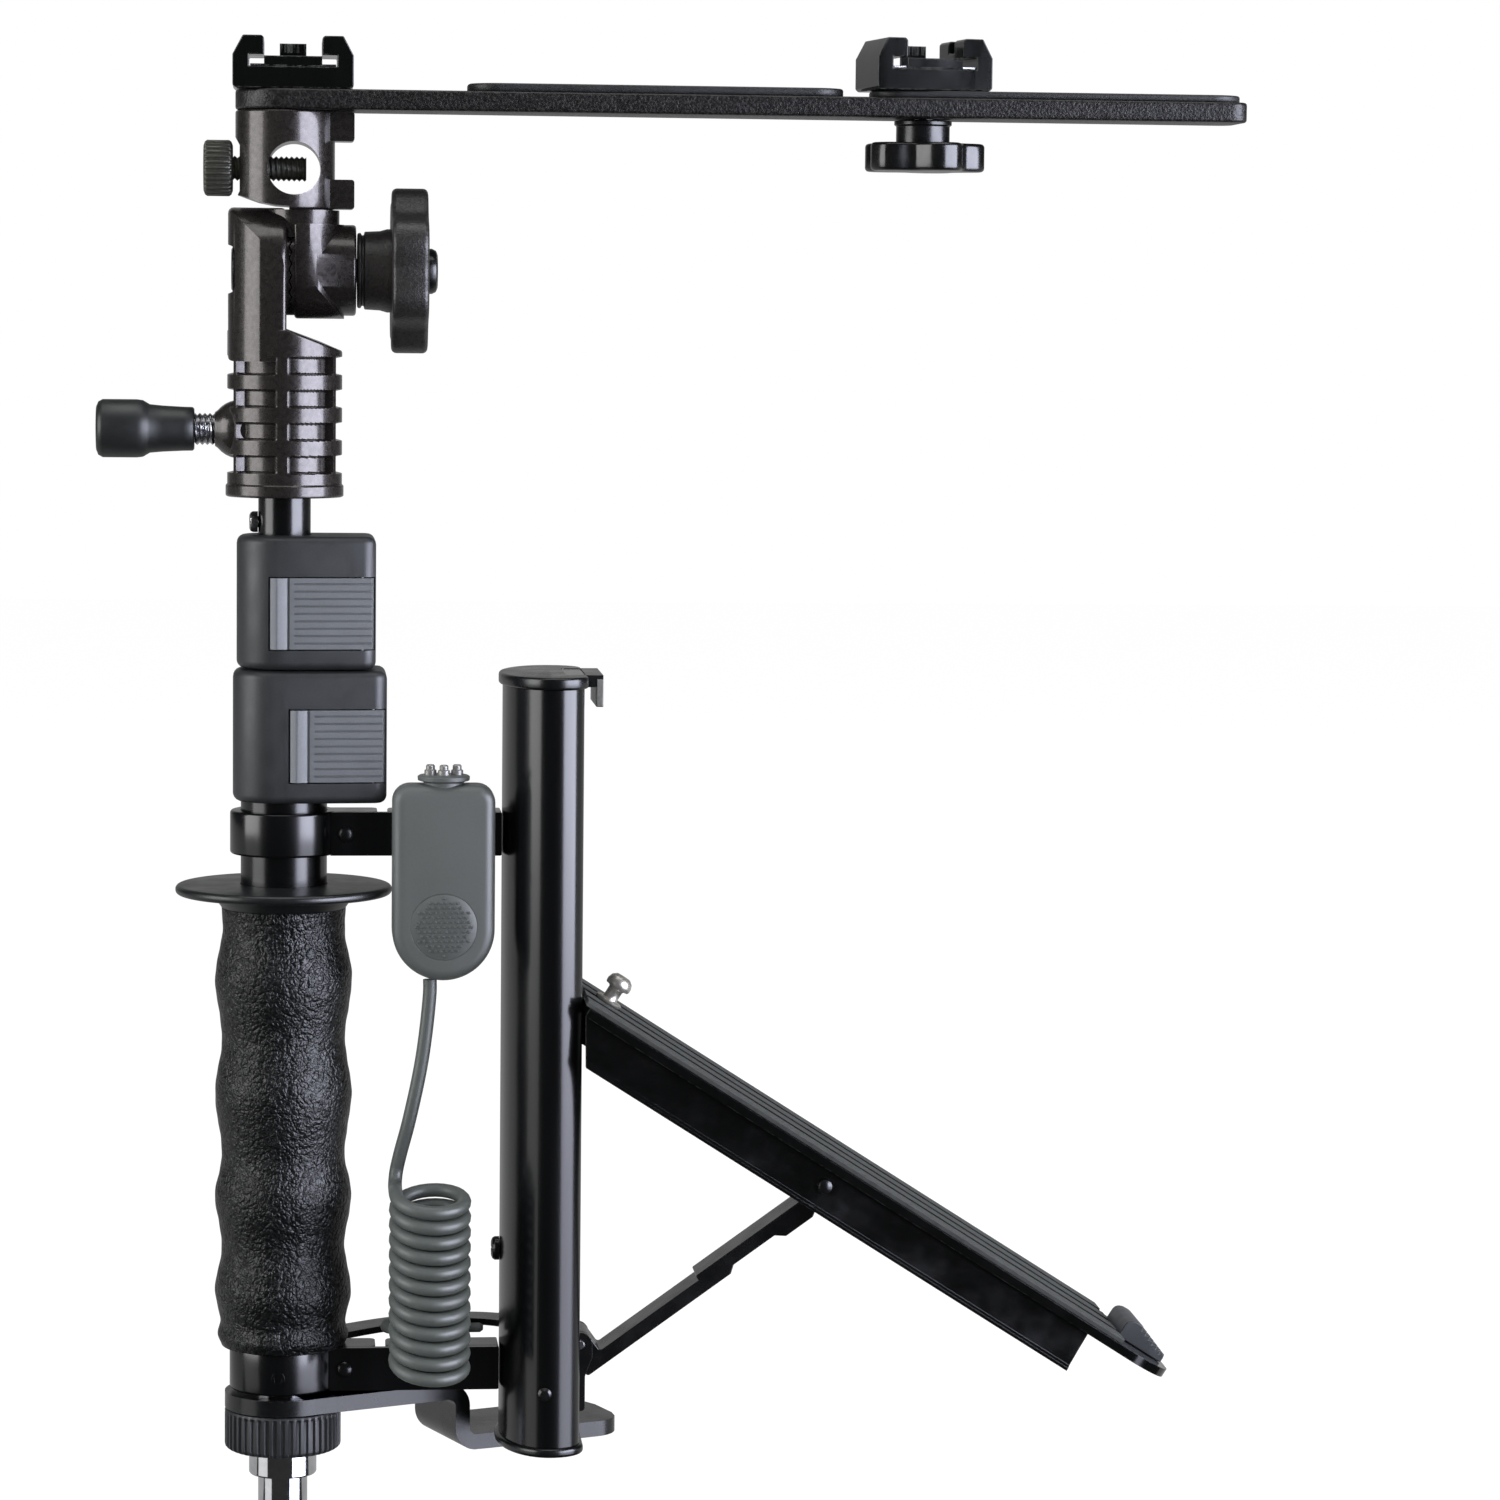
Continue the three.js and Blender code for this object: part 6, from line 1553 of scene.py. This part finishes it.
@dataclass
class UmbrellaHead:
    """Head with the umbrella's cross hole, and its knurled screw. Millimetres."""

    radius: float = 12.25
    low: float = 337.7
    high: float = 361.9
    hole_x: float = 2.2
    hole_z: float = 347.7
    hole_radius: float = 6.5
    screw_ends: tuple[float, float] = (-20.05, -12.85)
    screw_teeth: int = 30
    tooth_depth: float = 0.55

    def build(self, bench: Bench) -> None:
        """Makes the head and the screw."""
        body = pillow(lobed(self.radius, 1, 0.0, points=128), soft_edges(self.low, self.high, 0.6, 3))
        far = self.radius + 3
        under = prism([(-far, self.low - 2), (1.0, self.low - 2), (1.0, self.low + 0.75),
                       (-2.5, self.low + 0.95),
                       (-6.5, self.low + 1.7), (-far, self.low + 4.6)], -far, far, Axis.Y)
        hole = rod(self.hole_radius, -far, far, Axis.Y, (self.hole_x, self.hole_z), 96)
        bore = rod(3.5, -far, self.hole_x, Axis.X, (0, self.hole_z), 48)
        face = rod(7.6, -far, -self.radius + 1.1, Axis.X, (0, self.hole_z), 64)
        lugs = [prism(rectangle((8, 17), (low, low + 7.2), 0.7, 3), -5.5, 5.5, Axis.Y)
                for low in (self.low + 0.2, self.high - 7.4)]
        form = carve(body, added=lugs, cut=[under, hole, bore, face])
        bench.fit("umbrella_head_casting", form, CAST_ENAMEL, "umbrella_head", edge=0.3)
        self.make_screw(bench)

    def make_screw(self, bench: Bench) -> None:
        """Makes the knurled thumbscrew: teeth round its head, and the thread that shows in the hole."""
        low, high = self.screw_ends
        columns = self.screw_teeth * 12
        angle = all_round(columns)
        wave = np.clip((0.5 - 0.5 * np.cos(angle * self.screw_teeth) - 0.25) / 0.5, 0, 1)
        section = np.array([(0, low, 0), (5.6, low, 0), (6.5, low + 0.35, 0.5), (6.9, low + 0.9, 1),
                            (6.9, high - 0.9, 1), (6.5, high - 0.35, 0.5), (5.6, high, 0), (0, high, 0)])
        reach = section[:, 0][:, None] - self.tooth_depth * section[:, 2][:, None] * wave
        plane = polar(reach, angle) + (0, self.hole_z)
        head = grid_form(spread(plane, section[:, 1][:, None] * np.ones((1, columns)), Axis.X), caps=False)
        thread = threaded(3.1, high - 0.5, 5.2, 1.27, 0.6, Axis.X, (0, self.hole_z))
        bench.fit("umbrella_thumbscrew", head + thread, DULL_BRASS, "umbrella_screw", sharp=60)


@dataclass
class TopBar:
    """Bar with its two rubber pads, two accessory shoes and the star knob. Millimetres."""

    left: float = -12.25
    right: float = 239.15
    half: float = 12.25
    low: float = 362.0
    high: float = 367.0
    left_shoe_x: float = 1.9
    right_shoe_x: float = 158.7
    shoe_turn: float = 9.0
    shoe_depth: float = 10.5
    mouth: float = 7.1
    spring_low: float = 5.4
    pad_half: float = 10.5
    knob_radius: float = 15.5
    knob_ends: tuple[float, float] = (349.1, 356.1)

    def build(self, bench: Bench) -> None:
        """Builds the bar, the pads, the shoes and the knob."""
        outline = rectangle((self.left, self.right), (-self.half, self.half), [12.2, 4.6, 4.6, 12.2], 14)
        bar = pillow(outline, soft_edges(self.low, self.high, 0.7, 3))
        bore = rod(3.5, self.low - 2, self.high + 2, centre=(self.right_shoe_x, 0), segments=48)
        bench.fit("bar_painted", carve(bar, cut=[bore]), SAND_PAINT, "bar", sharp=40)
        self.make_pad(bench, "camera_pad", 44.9, 138.2, 369.1, [])
        self.make_pad(bench, "shoe_pad", 145.4, 238.2, 368.8, [bore])
        self.make_shoe(bench, "left", self.left_shoe_x, 367.1, 0.0)
        self.make_shoe(bench, "right", self.right_shoe_x, 368.9, self.shoe_turn)
        self.make_knob(bench)

    def make_pad(self, bench: Bench, node: str, left: float, right: float, top: float,
                 cuts: Sequence[Form]) -> None:
        """Moulds one pad: a stadium with a raised rim round a shallow field.

        Args:
            bench: Where pieces are fitted.
            node: The pad's node.
            left: Where it starts.
            right: Where it ends.
            top: Its upper face.
            cuts: Forms cut out of it.
        """
        outline = rectangle((left, right), (-self.pad_half, self.pad_half), 7.9, 10)
        low = self.high + 0.1
        table = [(low, 0.2), (low + 0.25, 0), (top - 0.45, 0), (top - 0.15, 0.15), (top, 0.45), (top, 1.25),
                 (top - 0.12, 1.5), (top - 0.3, 1.6), (top - 0.3, 2.2)]
        pad = pillow(outline, table)
        bench.fit(f"{node}_rimmed", carve(pad, cut=cuts) if cuts else pad, PAD_RUBBER, node, sharp=50)

    def make_shoe(self, bench: Bench, name: str, x: float, low: float, turn: float) -> None:
        """Mills one accessory shoe and bends its spring: a bright leaf, with a dark front lip and ribbed tab.

        Args:
            bench: Where pieces are fitted.
            name: Which shoe it is.
            x: Where it stands on the bar.
            low: Its lower face.
            turn: Its angle in degrees.
        """
        wing = np.array([(14.1, 0), (14.8, 0.7), (14.8, 8.1), (12.3, 12.8), (7.7, 12.8), (7.1, 12.2),
                         (7.1, 8.1), (10.8, 8.1), (10.8, 5.3)])
        outline = np.vstack([wing, (wing * [-1, 1])[::-1]])
        body = prism(outline, -self.shoe_depth, self.shoe_depth, Axis.Y)
        notches = [prism(rectangle((s * 6.2, s * 9.0), (9.6, 13.6), 0.6, 3), -2.6, 2.6, Axis.Y)
                   for s in (-1, 1)]
        body = carve(body, cut=notches).turned(Axis.Z, turn).moved(x, 0, low)
        bench.fit(f"{name}_shoe_milled", body, CHROMATE, f"{name}_shoe", edge=0.28)
        foot = self.spring_low
        sheet = block((-self.mouth + 0.35, self.mouth - 0.35), (-10.2, 10.2), (foot, foot + 0.8))
        wings = [block(sorted((s * 6.7, s * 10.5)), (-9.6, 9.6), (foot, foot + 0.5)) for s in (-1, 1)]
        spring = (sheet + wings[0] + wings[1]).turned(Axis.Z, turn).moved(x, 0, low)
        bench.fit(f"{name}_shoe_leaf", spring, STEEL, f"{name}_shoe_spring", edge=0.1)
        lip = prism(rounded([(-10.3, foot), (-9.3, foot), (-9.3, foot + 2.5), (-10.3, foot + 2.4)],
                            [0.05, 0.05, 0.2, 0.2], 3), -self.mouth, self.mouth, Axis.X)
        lip = lip + block((-3.3, 3.3), (9.4, 10.2), (foot, foot + 6.4))
        for at in np.linspace(-2.8, 2.8, 8):
            lip = lip + block((at - 0.18, at + 0.18), (9.1, 9.45), (foot + 4.2, foot + 6.3))
        lip = lip.turned(Axis.Z, turn).moved(x, 0, low)
        bench.fit(f"{name}_shoe_lip", lip, CHROMATE, f"{name}_shoe_spring", edge=0.2, stands=False)

    def make_knob(self, bench: Bench) -> None:
        """Moulds the star knob below the bar, with its dark neck and washer."""
        centre = (self.right_shoe_x, 0)
        star = pillow(lobed(self.knob_radius, 5, 3.6, 1.5, 300), soft_edges(*self.knob_ends, 0.9, 3))
        bench.fit("star_knob_moulded", star.moved(self.right_shoe_x, 0, 0), PHENOLIC, "shoe_knob", sharp=40)
        neck = [(0, 355.8), (6.7, 355.8), (6.7, 360.3), (7.2, 360.6), (7.2, 361.5), (7.0, 361.7),
                (3.2, 361.7),
                (3.2, 372.4), (0, 372.4)]
        bench.fit("star_knob_neck", lathe(neck, 72, Axis.Z, centre), OXIDE, "shoe_knob", edge=0.15,
                  stands=False)


@dataclass
class SideFrame:
    """D-shaped slotted post with its caps, rivet, screw and strut bracket. Millimetres."""

    left: float = 54.5
    right: float = 74.1
    half: float = 22.0
    corner_x: float = 7.4
    corner_y: float = 6.5
    wall: float = 1.6
    low: float = 30.4
    high: float = 220.3
    slot_half: float = 8.0
    slot_span: tuple[float, float] = (35.0, 214.0)
    rivet_at: tuple[float, float] = (65.0, 44.1)
    screw_z: float = 77.0
    line_y: float = 12.4
    pivot: tuple[float, float] = (74.6, 53.4)
    cap_lip: float = 1.0
    top_cap: tuple[float, float] = (220.4, 223.4)
    bottom_cap: tuple[float, float] = (28.0, 30.3)

    def section(self, inset: float, points: int = 24) -> Array:
        """Gives the post's outline: half an ellipse left, a flat right and quarter ellipses between.

        Args:
            inset: How far the outline is drawn in.
            points: Spans of a quarter ellipse.

        Returns:
            The outline, anticlockwise.
        """
        peak = self.right - self.corner_x
        straight = self.half - self.corner_y
        rx, ry = self.corner_x - inset, self.corner_y - inset
        quarter = np.linspace(-math.pi / 2, 0, points + 1)
        half_turn = np.linspace(math.pi / 2, 3 * math.pi / 2, points * 3 + 1)[1:-1]
        nose_x, nose_y = peak - self.left - inset, self.half - inset
        lower = polar(1.0, quarter) * (rx, ry) + (peak, -straight)
        upper = polar(1.0, quarter + math.pi / 2) * (rx, ry) + (peak, straight)
        nose = polar(1.0, half_turn) * (nose_x, nose_y) + (peak, 0)
        return np.vstack([lower, upper, nose])

    def build(self, bench: Bench) -> None:
        """Builds the post, the caps, the fasteners and the bracket."""
        self.make_post(bench)
        self.make_caps(bench)
        self.make_bracket(bench)

    def make_post(self, bench: Bench) -> None:
        """Draws the hollow post and mills its slot."""
        inner = prism(self.section(self.wall), self.low - 2, self.high + 2)
        slot = block((66.7, 78), (-self.slot_half, self.slot_half), self.slot_span)
        holes = [rod(1.8, -24, 24, Axis.Y, self.rivet_at, 32),
                 rod(1.7, 50, 58, Axis.X, (0, self.screw_z), 32)]
        lines = [block((self.right - 0.35, self.right + 1), (y - 0.3, y + 0.3), (self.low - 1, self.high + 1))
                 for y in (-self.line_y, self.line_y)]
        post = carve(prism(self.section(0), self.low, self.high), cut=[inner, slot, *holes, *lines])
        bench.fit("post_extrusion", post, ANODISED, "side_post", edge=0.18, sharp=40)
        dome = [(0, -22.9), (1.1, -22.8), (1.7, -22.3), (1.7, 22.3), (1.1, 22.8), (0, 22.9)]
        bench.fit("post_rivet_domed", lathe(dome, 40, Axis.Y, self.rivet_at), OXIDE, "post_rivet")
        head = [(0, 52.4), (1.9, 52.4), (2.6, 52.7), (3.0, 53.3), (3.0, 54.4), (1.6, 54.4), (1.6, 60.4),
                (0, 60.4)]
        screw = lathe(head, 48, Axis.X, (0, self.screw_z))
        cuts = [block((51, 53.1), (-3.5, 3.5), (self.screw_z - 0.35, self.screw_z + 0.35)),
                block((51, 53.1), (-0.35, 0.35), (self.screw_z - 4, self.screw_z + 4))]
        bench.fit("post_screw_crossed", carve(screw, cut=cuts), OXIDE, "post_screw", edge=0.12)

    def make_caps(self, bench: Bench) -> None:
        """Moulds the end caps. The top one has a hook over the slot, a window with a pale plate in it, and a
        pale plate on the hook's front end."""
        top = pillow(self.section(-self.cap_lip), soft_edges(*self.top_cap, 0.7, 3))
        bridge = block((66.7, 79.0), (-12, 12), self.top_cap)
        hook = block((77.3, 79.0), (-12, 12), (215.5, self.top_cap[1]))
        window = prism(rectangle((69.7, 74.7), (-11, 11), 0.8, 3), 218, 226)
        form = carve(top, added=[bridge, hook], cut=[window])
        bench.fit("top_cap_moulded", form, OXIDE, "post_top_cap", edge=0.4)
        sill = block((69.8, 74.6), (-10.8, 10.8), (222.5, 223.2))
        face = block((77.4, 78.9), (-12.25, -11.6), (215.7, 222.4))
        bench.fit("top_cap_plate", sill + face, TIN, "post_top_cap", edge=0.1, stands=False)
        bottom = pillow(self.section(-self.cap_lip), soft_edges(*self.bottom_cap, 0.8, 3))
        bench.fit("bottom_cap_moulded", bottom, OXIDE, "post_bottom_cap", sharp=50)

    def make_bracket(self, bench: Bench) -> None:
        """Presses the strut's bracket: two ears in the post's slot on a folded web."""
        side = rounded([(66, 36.5), (76, 36.5), (76, 45.5), (77.8, 50.2), (77.8, 56.6), (66, 56.6)],
                       [0.3, 1.0, 2.0, 1.5, 3.1, 0.3], 6)
        ears = prism(side, -7.7, 7.7, Axis.Y)
        mouth = block((67.5, 81), (-6.3, 6.3), (34, 60))
        tail = block((61.0, 67.5), (-7.7, 7.7), (40.1, 47.5))
        holes = [rod(1.5, -10, 10, Axis.Y, self.pivot, 32), rod(1.8, -10, 10, Axis.Y, self.rivet_at, 32)]
        form = carve(ears, added=[tail], cut=[mouth, *holes])
        bench.fit("strut_bracket_pressed", form, OXIDE, "strut_bracket", edge=0.25)
        pin = lathe([(0, -7.9), (1.0, -7.9), (1.4, -7.5), (1.4, 7.5), (1.0, 7.9), (0, 7.9)], 32, Axis.Y,
                    self.pivot)
        bench.fit("strut_pin_turned", pin, STEEL, "strut_pin")


@dataclass
class FoldingTray:
    """Strut, tray, grooved pad, stud and latch. Millimetres and degrees."""

    hinge_x: float = 134.6
    hinge_z: float = 96.6
    slope: float = 32.5
    pivot_x: float = 74.6
    pivot_z: float = 53.4
    half: float = 24.6
    plate_low: float = 3.9
    plate_high: float = 6.2
    start: float = -74.0
    end: float = 102.0
    flange_end: float = 77.4
    post_face: float = 74.6
    strut_half: float = 6.0
    pad_ends: tuple[float, float] = (-75.0, 86.0)
    pad_margin: float = 1.4
    pad_low: float = 6.3
    pad_high: float = 7.6
    bands: int = 4
    groove: float = 4.0
    groove_depth: float = 1.15
    stud_at: float = -68.0
    latch_start: float = 87.4
    latch_end: float = 100.5
    latch_high: float = 11.9
    latch_half: float = 10.0
    latch_teeth: int = 7

    def build(self, bench: Bench) -> None:
        """Builds the strut and everything on the tray."""
        self.make_strut(bench)
        self.make_channel(bench)
        self.make_pad(bench)
        self.make_stud(bench)
        self.make_latch(bench)

    def on_tray(self, form: Form) -> Form:
        """Turns a form from the tray's own frame down its slope and sets it on the hinge."""
        return form.turned(Axis.Y, self.slope).moved(self.hinge_x, 0, self.hinge_z)

    def make_strut(self, bench: Bench) -> None:
        """Presses the cranked strut, drawn in the frame of its two pivots."""
        length = math.hypot(self.hinge_x - self.pivot_x, self.hinge_z - self.pivot_z)
        corners = [(-3.2, -8.1), (41.4, -8.1), (43.3, -6.65), (56, -6.65), (58.3, -8.5), (66.7, -8.5),
                   (length, -3.4), (length + 3.4, -1), (length + 3.4, 3.4), (length - 3.4, 3.4),
                   (length - 7.4, -3.25), (33.8, -3.25), (33.8, -4.6), (3.2, -4.6), (3.2, 3.2), (-3.2, 3.2)]
        radii = [0.8, 0.4, 0.4, 0.4, 0.4, 1.0, 1.0, 1.5, 3.2, 3.2, 1.5, 0.4, 0.3, 0.8, 3.1, 3.1]
        body = prism(rounded(corners, radii, 5), -self.strut_half, self.strut_half, Axis.Y)
        under = block((2, 60), (-4.6, 4.6), (-10, -5.2))
        holes = [rod(1.5, -8, 8, Axis.Y, (0, 0), 32), rod(1.8, -8, 8, Axis.Y, (length, 0), 32)]
        form = carve(body, cut=[under, *holes])
        angle = -math.degrees(math.atan2(self.hinge_z - self.pivot_z, self.hinge_x - self.pivot_x))
        form = form.turned(Axis.Y, angle).moved(self.pivot_x, 0, self.pivot_z)
        bench.fit("strut_pressed", form, OXIDE, "strut", edge=0.3)

    def make_channel(self, bench: Bench) -> None:
        """Folds the tray: a plate with a flange down each side, and a tongue hooked into the post."""
        outline = rectangle((self.start, self.end), (-self.half, self.half), [0.1, 13.5, 13.5, 0.1], 12)
        plate = prism(outline, self.plate_low, self.plate_high)
        wall = np.array([(-22.2, 4.4), (-22.5, 2.4), (-23.0, -1.0), (-23.9, -5.3), (-24.6, -6.0),
                         (-24.6, -6.8),
                         (-22.6, -6.8), (-22.0, -4.0), (-21.2, 0.0), (-20.9, 4.4)])
        flanges = [prism(wall * (side, 1), self.start - 6, self.flange_end, Axis.X) for side in (1, -1)]
        hole = rod(1.8, -30, 30, Axis.Y, segments=32)
        behind = block((40, self.post_face), (-60, 60), (60, 220))
        body = carve(self.on_tray(carve(plate, added=flanges, cut=[hole])), cut=[behind])
        length = math.hypot(self.hinge_x - self.pivot_x, self.hinge_z - self.pivot_z)
        lift = math.radians(3.25)
        tip_u, tip_v = -length * math.cos(lift) - 2.4, length * math.sin(lift) - 3.1
        arm = prism(rounded([(tip_u - 1, tip_v - 2.2), (tip_u + 15, tip_v - 2.2), (tip_u + 15, 4.2),
                             (tip_u + 3, 4.2), (tip_u - 2.2, tip_v + 1.2)], [1.2, 0.2, 0.2, 1.0, 1.0], 4),
                    -3, 3, Axis.Y)
        pin = rod(1.3, -10.5, 10.5, Axis.Y, (tip_u, tip_v), 32)
        tongue = self.on_tray(arm + pin)
        bench.fit("tray_folded", body + tongue, GLOSS_ENAMEL, "tray_channel", edge=0.3)
        rivet = [(0, -25.3), (1.0, -25.2), (1.7, -24.75), (1.7, 24.75), (1.0, 25.2), (0, 25.3)]
        bench.fit("tray_hinge_rivet", lathe(rivet, 40, Axis.Y, (self.hinge_x, self.hinge_z)), OXIDE,
                  "tray_hinge_pin")

    def make_pad(self, bench: Bench) -> None:
        """Extrudes the pad: broad bands with a groove between each two, and a thin black sheet on each
        groove's far wall as painted shade.
        """
        half, bands, groove, depth = self.half - self.pad_margin, self.bands, self.groove, self.groove_depth
        low, high = self.pad_low, self.pad_high
        pitch = (half * 2 + groove) / bands
        left = -half + pitch * np.arange(bands)
        right = left + pitch - groove
        rows = [(left, high - 0.35), (left + 0.35, high), (right - 0.35, high), (right, high - 0.35),
                (right + 0.12, high - depth), (right + groove - 0.12, high - depth)]
        columns = [np.stack([y, np.full(bands, v)], axis=1) for y, v in rows]
        line = np.stack(columns, axis=1).reshape(-1, 2)[:-2]
        outline = np.vstack([[(-half, low)], line, [(half, low)]])
        pad = prism(outline[::-1], *self.pad_ends, Axis.X)
        hole = rod(1.7, 5, 9, centre=(self.stud_at, 0), segments=32)
        bench.fit("tray_pad_grooved", self.on_tray(carve(pad, cut=[hole])), TRAY_RUBBER, "tray_pad", sharp=25)
        along = (self.pad_ends[0] + 0.1, self.pad_ends[1] - 0.1)
        # Thin near-black sheets on the grooves' far sides: painted shade in the grooves.
        groove_shade_sheets = [block(along, (y - 0.2, y - 0.02), (low + 0.4, high - 0.02)) for y in left[1:]]
        bench.fit("tray_pad_groove_shade", self.on_tray(groove_shade_sheets[0] + groove_shade_sheets[1] + groove_shade_sheets[2]), SMOOTH_RUBBER, "tray_pad",
                  stands=False)

    def make_stud(self, bench: Bench) -> None:
        """Turns the mushroom stud."""
        profile = [(0, 3.9), (1.5, 3.9), (1.5, 7.7), (3.3, 7.7), (3.6, 8.0), (3.6, 8.5), (3.2, 8.8),
                   (2.1, 8.9),
                   (1.9, 9.3), (1.9, 11.7), (2.2, 12.0), (3.1, 12.2), (3.3, 12.6), (3.3, 13.5), (2.9, 14.6),
                   (1.9, 15.4), (0, 15.55)]
        stud = self.on_tray(lathe(profile, 64, centre=(self.stud_at, 0)))
        bench.fit("tray_stud_turned", stud, NICKEL, "tray_stud", sharp=50)

    def make_latch(self, bench: Bench) -> None:
        """Moulds the thumb latch with its toothed back."""
        low, high, start = self.pad_low, self.latch_high, self.latch_start
        share = np.arange(self.latch_teeth) / self.latch_teeth
        x = self.latch_end - share * 9.8
        z = self.pad_high + share * 3.6
        outer, inner = np.stack([x, z], axis=1), np.stack([x - 0.2, z + 1.1], axis=1)
        steps = np.stack([outer, inner], axis=1).reshape(-1, 2)
        steps[:, 1] = np.minimum(steps[:, 1], high)
        nose = [(start + 3.4, high), (start + 1.9, high - 0.1), (start + 0.9, high - 0.5),
                (start + 0.2, high - 1.2), (start, high - 2.1), (start, low)]
        outline = np.vstack([[(self.latch_end, low)], steps, nose])
        latch = prism(outline, -self.latch_half, self.latch_half, Axis.Y)
        bench.fit("tray_latch_moulded", self.on_tray(latch), LATCH_NYLON, "tray_latch", edge=0.3)


def main() -> None:
    """Builds the cord and the release first, then the rest from the foot up."""
    PhotoCamera().build()
    bench = Bench()
    WiredRelease().build(bench)
    Studio().build()
    Column().build(bench)
    HandGrip().build(bench)
    FlipLock().build(bench)
    FlipLock(name="upper", left=11.8, right=22.6, low=224.4, high=257.4, lever_left=-3.5, lever_low=229.6,
             lever_high=247.2, lower_radius=8.4, lower_depth=4.8, upper_radius=6.8).build(bench)
    TiltHead().build(bench)
    UmbrellaHead().build(bench)
    TopBar().build(bench)
    SideFrame().build(bench)
    FoldingTray().build(bench)


if __name__ == "__main__":
    main()
